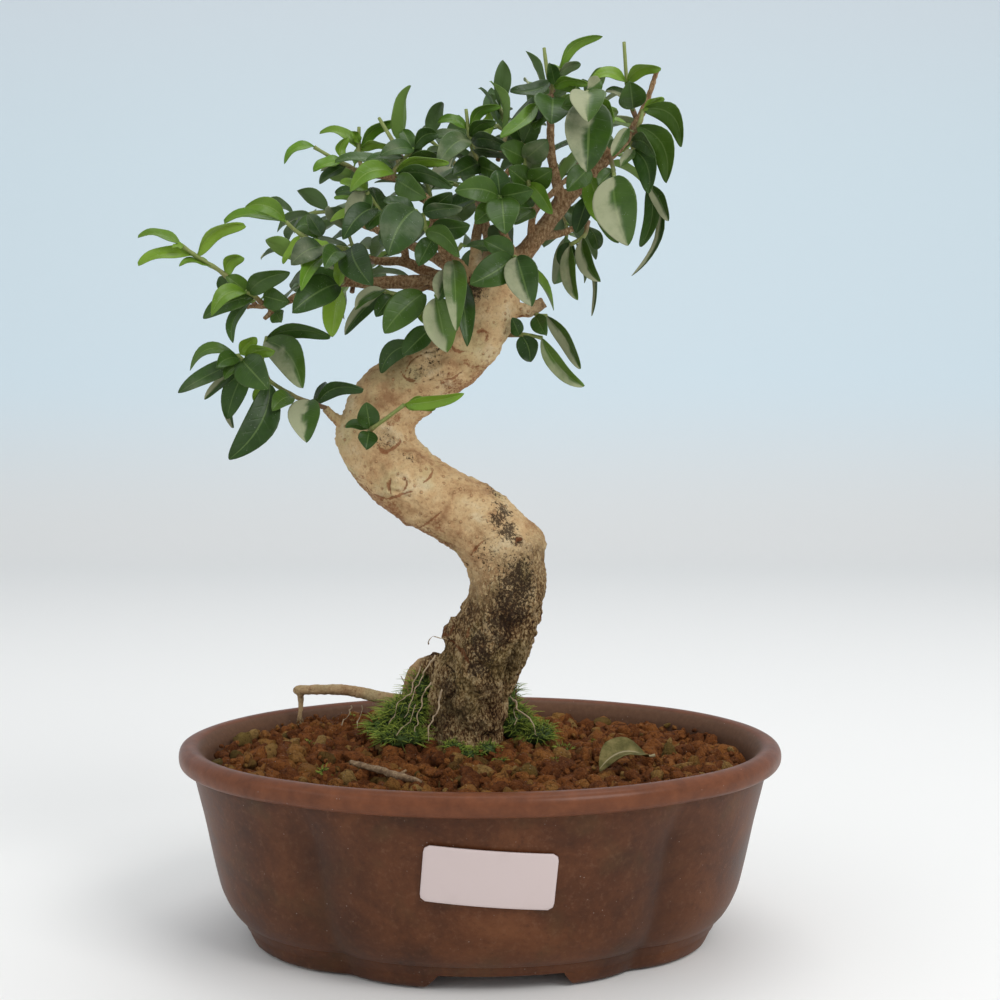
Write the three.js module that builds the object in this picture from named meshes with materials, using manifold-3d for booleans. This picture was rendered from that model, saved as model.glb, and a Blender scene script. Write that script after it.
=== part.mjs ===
// A privet trained as a bonsai, growing in its glazed stoneware pot.
// Millimetres, +Z up. The pot's middle is the origin while the tree is built, with -Y towards
// the side that it is looked at from. At the end the whole is moved so that it stands on z = 0
// with the middle of its plan at the origin.

import * as THREE from 'three';
import { mergeVertices } from 'three/addons/utils/BufferGeometryUtils.js';
import Module from 'manifold-3d';

const wasm = await Module();
wasm.setup();
const { Manifold, Mesh: SolidMesh } = wasm;

// Driving dimensions of the pot.
const POT_HALF_LENGTH = 105;
const POT_HALF_WIDTH = 83.5;
const POT_HEIGHT = 68;
const CREASE_ANGLE = THREE.MathUtils.degToRad(53);
const CREASE_TURN = THREE.MathUtils.degToRad(3.5);
const CREASE_REACH = 0.15;
const INNER_CREASE = 0.6;
const FOOT_HEIGHT = 5;
const CREASE_LEAST = 0.6;
const CREASE_MOST = 4;
const FLOOR_TOP = 12;
const DRAIN_RADIUS = 6;
const DRAIN_OFFSET = 38;
const DRAIN_MESH_WIDTH = 22;
const DRAIN_MESH_THICKNESS = 1;
const DRAIN_MESH_HOLE = 5.6;
const DRAIN_MESH_PITCH = 8.8;

// Driving dimensions of the soil, the label and the loose pieces.
const SOIL_LEVEL = 60.5;
const GRANULE_PITCH = 16;
const GRANULE_RISE = 2.2;
const GAP = 0.3;
const LABEL_SIZE = { width: 41, height: 18.5, thickness: 0.8, tilt: -5 };
const LABEL_CENTRE = { x: 3.6, z: 40.5 };

// Driving dimensions of the leaves.
const BLADE_THICKNESS = 0.7;
const BROAD_WIDTH = 11;
const BROAD_STATIONS = [0.26, 0.6, 0.87];
const SMALL_STATIONS = [0.34, 0.78];
const MERGE_WITHIN = 0.12;
const WOOD_MERGE = 0.2;
const CLAY_MERGE = 0.03;
const SEED = 20417;

// The place that the tree is looked at from. Hand-read places on the tree are given as the column
// and row of a picture 1000 units square seen from there, with a depth in mm behind the pot's middle.
const VIEW = { x: 6.9, y: -506.3, z: 174.3, pitch: THREE.MathUtils.degToRad(2.56), focal: 1450, middle: 500 };

const V = (x, y, z) => new THREE.Vector3(x, y, z);

// Turns a column, a row and a depth into a point in mm.
function seen([column, row, depth]) {
  const across = (column - VIEW.middle) / VIEW.focal;
  const up = (VIEW.middle - row) / VIEW.focal;
  const cos = Math.cos(VIEW.pitch);
  const sin = Math.sin(VIEW.pitch);
  const reach = (depth - VIEW.y) / (cos + up * sin);
  return V(VIEW.x + across * reach, depth, VIEW.z + (up * cos - sin) * reach);
}

// A repeatable row of numbers from 0 to 1.
function draws(seed) {
  let state = seed >>> 0;
  return () => {
    state = (state + 0x6d2b79f5) >>> 0;
    let mixed = Math.imul(state ^ (state >>> 15), state | 1);
    mixed ^= mixed + Math.imul(mixed ^ (mixed >>> 7), mixed | 61);
    return ((mixed ^ (mixed >>> 14)) >>> 0) / 4294967296;
  };
}

// Solids: closed geometry in, closed geometry out.
function solidOf(geometry) {
  const bare = geometry.clone();
  bare.deleteAttribute('normal');
  bare.deleteAttribute('uv');
  const merged = mergeVertices(bare, 1e-4);
  return new Manifold(new SolidMesh({
    numProp: 3,
    vertProperties: Float32Array.from(merged.attributes.position.array),
    triVerts: Uint32Array.from(merged.index.array),
  }));
}

function geometryOf(solid) {
  const mesh = solid.getMesh();
  const geometry = new THREE.BufferGeometry();
  const places = mesh.vertProperties;
  geometry.setAttribute('position', new THREE.BufferAttribute(Float32Array.from(places), 3));
  geometry.setIndex(Array.from(mesh.triVerts));
  return geometry;
}

function joined(solids) {
  return solids.reduce((whole, solid) => whole.add(solid));
}

function largestPiece(solid) {
  const pieces = solid.decompose();
  return pieces.reduce((best, piece) => (piece.volume() > best.volume() ? piece : best));
}

// A closed surface from rings of points that all have the same count. The first and last
// ring are closed by a fan to their middle.
function ringsToGeometry(rings) {
  const count = rings[0].length;
  const places = rings.flat();
  const faces = [];
  for (let row = 0; row + 1 < rings.length; row += 1) {
    for (let step = 0; step < count; step += 1) {
      const next = (step + 1) % count;
      const a = row * count + step;
      const b = row * count + next;
      faces.push(a, b, b + count, a, b + count, a + count);
    }
  }
  for (const [ring, start, outward] of [[rings[0], 0, false], [rings.at(-1), places.length - count, true]]) {
    const middle = ring.reduce((sum, point) => sum.add(point), V(0, 0, 0)).divideScalar(count);
    const hub = places.length;
    places.push(middle);
    for (let step = 0; step < count; step += 1) {
      const next = (step + 1) % count;
      faces.push(...(outward ? [start + step, start + next, hub] : [start + next, start + step, hub]));
    }
  }
  const geometry = new THREE.BufferGeometry().setFromPoints(places);
  geometry.setIndex(faces);
  return geometry;
}

// The pot's plan is an oval of four lobes. The creases between them deepen below the lip. The
// lobes are turned a little on the oval, as the pot was pressed.
function creaseDepth(z) {
  const below = THREE.MathUtils.clamp((62 - z) / 14, 0, 1);
  return THREE.MathUtils.lerp(CREASE_LEAST, CREASE_MOST, below);
}

function creaseShape(angle) {
  const turn = (angle - CREASE_TURN + Math.PI / 2) % Math.PI;
  const fromEnd = Math.abs((turn + Math.PI) % Math.PI - Math.PI / 2);
  return Math.exp(-Math.pow(Math.abs(fromEnd - CREASE_ANGLE) / CREASE_REACH, 1.2));
}

function potPoint(angle, inset, z, crease = 1) {
  const dent = creaseDepth(z) * creaseShape(angle) * crease;
  const x = Math.cos(angle) * (POT_HALF_LENGTH - inset);
  const y = Math.sin(angle) * (POT_HALF_WIDTH - inset * 1.04);
  const shrink = 1 - dent / Math.hypot(x, y);
  return V(x * shrink, y * shrink, z);
}

// Angles round the pot: close together across each crease, and even between two creases. The one
// nearest to each axis is put on it, so that the pot comes out at its full length and width.
function potAngles() {
  const across = [-13, -6.5, -2.8, 0, 2.8, 6.5, 13].map(THREE.MathUtils.degToRad);
  const evenStep = THREE.MathUtils.degToRad(13.5);
  const creases = [CREASE_ANGLE, Math.PI - CREASE_ANGLE, Math.PI + CREASE_ANGLE, 2 * Math.PI - CREASE_ANGLE];
  return creases.flatMap((crease, index) => {
    const next = index < 3 ? creases[index + 1] : creases[0] + 2 * Math.PI;
    const start = crease + across.at(-1);
    const span = next + across[0] - start;
    const steps = Math.round(span / evenStep);
    const between = Array.from({ length: steps - 1 }, (_, step) => start + span * (step + 1) / steps);
    return [...across.map((offset) => crease + offset), ...between];
  }).map((angle) => {
    const turned = angle + CREASE_TURN;
    const axis = Math.round(turned / (Math.PI / 2)) * Math.PI / 2;
    return Math.abs(turned - axis) < evenStep / 2 ? axis : turned;
  });
}

const POT_ANGLES = potAngles();

function potRing(inset, z, crease = 1) {
  return POT_ANGLES.map((angle) => potPoint(angle, inset, z, crease));
}

// Outside and inside of the wall, each as inset from the lip's edge and height.
const POT_OUTSIDE = [
  [24.2, FOOT_HEIGHT], [20.4, 8.4], [16.2, 14.5], [12.8, 25], [8.9, 43], [5.4, 57.5], [4.6, 60.4],
  [1.0, 61.3], [0, 64], [0.8, 66.8], [3.2, POT_HEIGHT],
];
const POT_INSIDE = [[7.4, 66.8], [9.6, 62], [15, 34], [21, 17], [28, FLOOR_TOP]];
const FOOT_OUTSIDE = [[25.4, 0], [24.2, 1.4], [21.0, 8.6]];
const FOOT_INSET = 38;

// The arches between the feet: their low and high edges in x, then in y.
const ARCHES = [
  { low: [-17.5, 30.5], high: [-12.5, 27], lowDepth: [-90, -30], highDepth: [-90, -30] },
  { low: [-24.5, 23.5], high: [-20, 19], lowDepth: [30, 90], highDepth: [30, 90] },
  { low: [-110, -50], high: [-110, -50], lowDepth: [-22, 22], highDepth: [-18, 18] },
  { low: [50, 110], high: [50, 110], lowDepth: [-22, 22], highDepth: [-18, 18] },
];

function makeArch({ low, high, lowDepth, highDepth }) {
  const corners = (x, y, z) => [V(x[0], y[0], z), V(x[1], y[0], z), V(x[1], y[1], z), V(x[0], y[1], z)];
  return solidOf(ringsToGeometry([corners(low, lowDepth, -1), corners(high, highDepth, FOOT_HEIGHT)]));
}

function makePot() {
  const wall = [
    ...POT_OUTSIDE.map(([inset, z]) => potRing(inset, z)),
    ...POT_INSIDE.map(([inset, z]) => potRing(inset, z, INNER_CREASE)),
  ];
  const shell = solidOf(ringsToGeometry(wall));
  const footRing = solidOf(ringsToGeometry(FOOT_OUTSIDE.map(([inset, z]) => potRing(inset, z))));
  const hollow = solidOf(ringsToGeometry([potRing(FOOT_INSET, -1), potRing(FOOT_INSET, FOOT_HEIGHT)]));
  const feet = ARCHES.reduce((ring, arch) => ring.subtract(makeArch(arch)), footRing.subtract(hollow));
  const drains = [-DRAIN_OFFSET, DRAIN_OFFSET].map((x) => {
    const drain = new THREE.CylinderGeometry(DRAIN_RADIUS, DRAIN_RADIUS, FLOOR_TOP + 10, 12);
    drain.rotateX(Math.PI / 2);
    drain.translate(x, 0, FLOOR_TOP / 2);
    return solidOf(drain);
  });
  const pot = drains.reduce((whole, drain) => whole.subtract(drain), shell.add(feet));
  return pot.asOriginal().simplify(CLAY_MERGE);
}

// A plastic mesh that keeps the soil in over a drain hole.
function makeDrainMesh(x) {
  const fromMiddle = DRAIN_MESH_PITCH / 2;
  const block = (width, height, across, along) => {
    const box = new THREE.BoxGeometry(width, width, height);
    box.translate(x + across, along, FLOOR_TOP + GAP + DRAIN_MESH_THICKNESS / 2);
    return solidOf(box);
  };
  let mesh = block(DRAIN_MESH_WIDTH, DRAIN_MESH_THICKNESS, 0, 0);
  for (const column of [-fromMiddle, fromMiddle]) {
    for (const row of [-fromMiddle, fromMiddle]) {
      mesh = mesh.subtract(block(DRAIN_MESH_HOLE, 3 * DRAIN_MESH_THICKNESS, column, row));
    }
  }
  return mesh;
}

// The soil's height before its granules: higher round the trunk and at the back on the left.
function soilHeight(x, y) {
  const round = 2.5 * Math.exp(-((x + 6) ** 2 + (y - 8) ** 2) / 30 ** 2);
  const left = 3.4 * Math.exp(-((x + 42) ** 2 + (y - 34) ** 2) / 42 ** 2);
  return SOIL_LEVEL + round + left;
}

// A bed of granules: a slab whose top has a peak on every point of a shaken six-sided lattice
// and a dip at every corner between three of them.
function makeGranuleSlab() {
  const draw = draws(SEED);
  const rowStep = GRANULE_PITCH * Math.sqrt(3) / 2;
  const rows = Math.ceil(172 / rowStep);
  const columns = Math.ceil(212 / GRANULE_PITCH);
  const places = [];
  const peaks = [];
  const halfDepth = rows * rowStep / 2;
  const halfLength = columns * GRANULE_PITCH / 2;
  for (let row = 0; row <= rows; row += 1) {
    peaks.push([]);
    for (let column = 0; column <= columns; column += 1) {
      const rim = row === 0 || row === rows || column === 0 || column === columns;
      const shift = (row % 2) * GRANULE_PITCH / 2;
      const x = column * GRANULE_PITCH - halfLength + shift + (rim ? 0 : (draw() - 0.5) * 3);
      const y = row * rowStep - halfDepth + (rim ? 0 : (draw() - 0.5) * 3);
      peaks[row].push(places.length);
      places.push(V(x, y, soilHeight(x, y) + (rim ? 0 : 0.3 + draw() * 1.4)));
    }
  }
  const faces = [];
  const dip = (a, b, c) => {
    const middle = V(0, 0, 0).add(places[a]).add(places[b]).add(places[c]).divideScalar(3);
    middle.z = soilHeight(middle.x, middle.y) - GRANULE_RISE + draw() * 0.8;
    const hub = places.push(middle) - 1;
    faces.push(a, b, hub, b, c, hub, c, a, hub);
  };
  for (let row = 0; row < rows; row += 1) {
    for (let column = 0; column < columns; column += 1) {
      const [a, b] = [peaks[row][column], peaks[row][column + 1]];
      const [c, d] = [peaks[row + 1][column], peaks[row + 1][column + 1]];
      if (row % 2 === 0) {
        dip(a, b, c);
        dip(b, d, c);
      } else {
        dip(a, d, c);
        dip(a, b, d);
      }
    }
  }
  const rim = [
    ...peaks[0],
    ...peaks.slice(1).map((line) => line.at(-1)),
    ...peaks.at(-1).slice(0, -1).reverse(),
    ...peaks.slice(1, -1).map((line) => line[0]).reverse(),
  ];
  const lower = rim.map((index) => places.push(V(places[index].x, places[index].y, 0)) - 1);
  const hub = places.push(V(0, 0, 0)) - 1;
  rim.forEach((upper, step) => {
    const next = (step + 1) % rim.length;
    faces.push(upper, lower[step], lower[next], upper, lower[next], rim[next]);
    faces.push(lower[next], lower[step], hub);
  });
  const geometry = new THREE.BufferGeometry().setFromPoints(places);
  geometry.setIndex(faces);
  return geometry;
}

function makeSoil(woodWithGap) {
  const slack = 0.5;
  const plug = solidOf(ringsToGeometry([
    potRing(29.5, FLOOR_TOP + GAP, INNER_CREASE),
    potRing(21 + slack, 17 + GAP, INNER_CREASE),
    potRing(15 + slack, 34, INNER_CREASE),
    potRing(9.6 + slack, 62, INNER_CREASE),
    potRing(7.4 + slack, 76, INNER_CREASE),
  ]));
  let soil = plug.intersect(solidOf(makeGranuleSlab()));
  for (const x of [-DRAIN_OFFSET, DRAIN_OFFSET]) {
    const room = DRAIN_MESH_WIDTH + 2 * GAP;
    const pocket = new THREE.BoxGeometry(room, room, 4);
    pocket.translate(x, 0, FLOOR_TOP + 2 * GAP + 1 - 2);
    soil = soil.subtract(solidOf(pocket));
  }
  return largestPiece(soil.subtract(woodWithGap)).asOriginal().simplify(CLAY_MERGE);
}

// Carries a ring along a smooth route. radii holds one radius for each route point, and relief
// may push a point of the skin in or out along its own radius.
function limb(route, radii, sides, ringsPerSpan, grow = 0, relief = null) {
  const curve = new THREE.CatmullRomCurve3(route, false, 'catmullrom', 0.5);
  const spans = route.length - 1;
  const count = Math.max(2, Math.round(spans * ringsPerSpan));
  const rings = [];
  let side = null;
  for (let ring = 0; ring <= count; ring += 1) {
    const t = ring / count;
    const centre = curve.getPoint(t);
    const ahead = curve.getTangent(t);
    if (side === null) {
      side = Math.abs(ahead.z) < 0.9 ? V(0, 0, 1) : V(1, 0, 0);
    }
    side = side.clone().addScaledVector(ahead, -side.dot(ahead)).normalize();
    const other = ahead.clone().cross(side);
    const place = t * spans;
    const index = Math.min(Math.floor(place), spans - 1);
    const radius = THREE.MathUtils.lerp(radii[index], radii[index + 1], place - index) + grow;
    const points = [];
    for (let step = 0; step < sides; step += 1) {
      const angle = (step / sides) * Math.PI * 2;
      const out = side.clone().multiplyScalar(Math.cos(angle)).addScaledVector(other, Math.sin(angle));
      const skin = centre.clone().addScaledVector(out, radius);
      const push = relief ? relief(skin, out) : 0;
      points.push(skin.addScaledVector(out, push));
    }
    rings.push(points);
  }
  return solidOf(ringsToGeometry(rings));
}

const TRUNK_SIDES = 12;
const TRUNK_RINGS = 1.6;

// The trunk's route and its width across, from below the soil to the cut top.
const TRUNK = [
  [459, 838, 9, 96], [460, 790, 9, 90], [460, 752, 9, 82], [464, 722, 8, 77], [472, 688, 5, 76],
  [487, 650, 2, 77], [502, 615, -1, 78], [508, 580, -4, 75], [500, 548, -4, 74], [476, 521, -2, 71],
  [443, 503, 0, 70], [408, 481, 2, 72], [383, 455, 4, 75], [378, 425, 5, 74], [393, 397, 4, 69],
  [425, 376, 2, 65], [458, 353, 0, 63], [478, 328, -1, 62], [486, 302, 0, 62], [484, 280, 1, 54],
  [483, 272, 1, 40],
];

// Swellings, knots and old wounds of the trunk: place, how far they stand out, and how wide.
const KNOTS = [
  [[414, 461, -8], 1.6, 5], [[536, 540, -6], 2.6, 6], [[385, 440, -8], -1.4, 5], [[422, 367, -10], -1.5, 7],
  [[449, 628, 2], 2.2, 5], [[512, 555, -14], 1.1, 4], [[404, 527, 0], 1.2, 3], [[482, 336, -12], 0.9, 4],
  [[546, 618, 0], 1.2, 3], [[345, 440, 4], 1.6, 8], [[505, 300, 4], 1.6, 7], [[397, 484, -10], 1.2, 6],
  [[428, 672, 8], 2.4, 7], [[520, 650, 0], 1.0, 5], [[470, 560, 0], 1.0, 6],
];

function trunkRelief() {
  const knots = KNOTS.map(([place, rise, reach]) => ({ place: seen(place), rise, reach }));
  return (skin, out) => {
    const low = THREE.MathUtils.clamp((112 - skin.z) / 50, 0, 1);
    const angle = Math.atan2(out.y, out.x);
    const flutes = Math.sin(angle * 5 + skin.z * 0.05) * (0.25 + 0.9 * low);
    const lumps = Math.sin(skin.x * 0.35 + skin.z * 0.22) * Math.sin(skin.y * 0.4 - skin.z * 0.17);
    const swell = knots.reduce((sum, knot) => {
      const near = skin.distanceTo(knot.place) / knot.reach;
      return sum + knot.rise * Math.exp(-near * near);
    }, 0);
    return flutes + lumps * (0.35 + 0.5 * low) + swell;
  };
}

// Branches, twigs and roots: route, first and last radius, sides.
const WOOD = [
  // The main branch to the right, its cut end and its side twigs.
  [[[498, 288, 0], [518, 262, -1], [541, 232, 0], [562, 205, 2], [585, 180, 2], [606, 159, 0], [625, 140, -2],
    [639, 120, -4]], 3.6, 1.5, 6],
  [[[541, 236, 2], [562, 233, 8], [586, 222, 14]], 1.6, 1.0, 5],
  [[[530, 246, 0], [534, 214, -4], [552, 193, -5], [574, 173, -6]], 1.3, 0.9, 5],
  [[[606, 160, 0], [601, 136, -8], [593, 108, -17]], 1.5, 1.0, 5],
  [[[562, 205, 2], [552, 160, -2], [550, 118, -6], [550, 98, -8]], 1.8, 1.1, 5],
  [[[638, 122, -4], [648, 98, -4], [658, 67, -4]], 1.2, 0.9, 5],
  // The level branches to the left.
  [[[468, 292, 0], [432, 283, -3], [400, 282, -5], [370, 283, -6], [342, 282, -7], [308, 291, -8],
    [280, 304, -8], [246, 307, -9]], 3.0, 0.8, 6],
  [[[464, 285, 3], [432, 274, 5], [405, 262, 5], [378, 261, 5], [352, 254, 1], [330, 248, -2]], 2.4, 0.9, 5],
  [[[405, 262, 5], [404, 242, -2], [392, 226, -8]], 1.2, 0.9, 5],
  [[[278, 304, -8], [270, 314, -8], [264, 319, -9]], 1.3, 0.8, 5],
  // The branches that climb from the cut top.
  [[[468, 282, -2], [448, 256, -9], [440, 232, -13], [430, 203, -14], [408, 190, -13],
    [396, 176, -13]], 3.0, 1.1, 5],
  [[[476, 278, 2], [476, 240, 8], [482, 207, 8], [487, 182, 6]], 2.2, 1.2, 5],
  [[[500, 280, -2], [512, 256, -8], [504, 235, -14], [497, 205, -22]], 2.0, 1.1, 5],
  [[[396, 178, -13], [378, 176, -8], [362, 176, -2]], 1.1, 0.9, 5],
  // The branches behind.
  [[[484, 282, 5], [490, 246, 20], [480, 212, 32], [466, 186, 38]], 2.8, 1.2, 5],
  [[[490, 284, 4], [528, 243, 21], [556, 206, 33], [580, 178, 38]], 2.6, 1.1, 5],
  [[[478, 286, 5], [436, 258, 22], [396, 238, 33], [356, 222, 38]], 2.6, 1.1, 5],
  [[[482, 210, 32], [510, 168, 34], [530, 128, 32]], 1.4, 1.0, 5],
  // The low branch on the left and the knob on the right.
  [[[374, 436, 5], [356, 433, 3], [340, 422, 1], [325, 408, -2]], 3.0, 1.5, 6],
  [[[490, 304, 2], [514, 310, 1], [532, 309, 0], [544, 302, 0]], 3.0, 1.9, 6],
  // The arched root with its leg, the flare beside it, and the roots below the soil.
  [[[462, 712, 8], [432, 704, 14], [408, 702, 18], [384, 698, 24], [345, 690, 33], [302, 690, 41],
    [296, 690, 42]], 3.2, 1.5, 6],
  [[[300, 690, 41], [301, 702, 42], [300, 722, 42], [300, 738, 42]], 1.2, 0.8, 5],
  [[[462, 664, 5], [436, 664, 9], [418, 672, 12], [411, 690, 14], [406, 722, 15],
    [400, 762, 16]], 4.2, 2.4, 6],
  [[[478, 775, 9], [520, 792, 12], [560, 820, 18]], 5.0, 2.0, 5],
  [[[460, 790, 2], [450, 812, -12], [440, 848, -26]], 5.0, 2.0, 5],
  [[[462, 790, 16], [470, 800, 30], [478, 815, 44]], 5.0, 2.0, 5],
  [[[446, 790, 6], [412, 808, 4], [380, 828, 2]], 5.0, 2.2, 5],
];

function trunkSolid(grow) {
  const route = TRUNK.map(([column, row, depth]) => seen([column, row, depth]));
  const radii = TRUNK.map(([, , depth, width]) => width / 2 * (depth - VIEW.y) / VIEW.focal);
  return limb(route, radii, TRUNK_SIDES, TRUNK_RINGS, grow, trunkRelief());
}

function woodRadii(route, first, last) {
  return route.map((_, index) => THREE.MathUtils.lerp(first, last, index / (route.length - 1)));
}

function makeWood(grow) {
  const limbs = WOOD.map(([route, first, last, sides]) => {
    return limb(route.map(seen), woodRadii(route, first, last), sides, 1, grow);
  });
  return joined([trunkSolid(grow), ...limbs]).asOriginal().simplify(WOOD_MERGE);
}

// How a leaf of each kind looks: y is young and bright, d is dark, g is dark with a grey bloom,
// p is dusted pale. fold is how far its halves are raised, in degrees.
const KINDS = {
  y: { fold: 22, wave: 0.5 },
  d: { fold: 14, wave: 0.35 },
  g: { fold: 16, wave: 0.35 },
  p: { fold: 18, wave: 0.4 },
};

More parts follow.
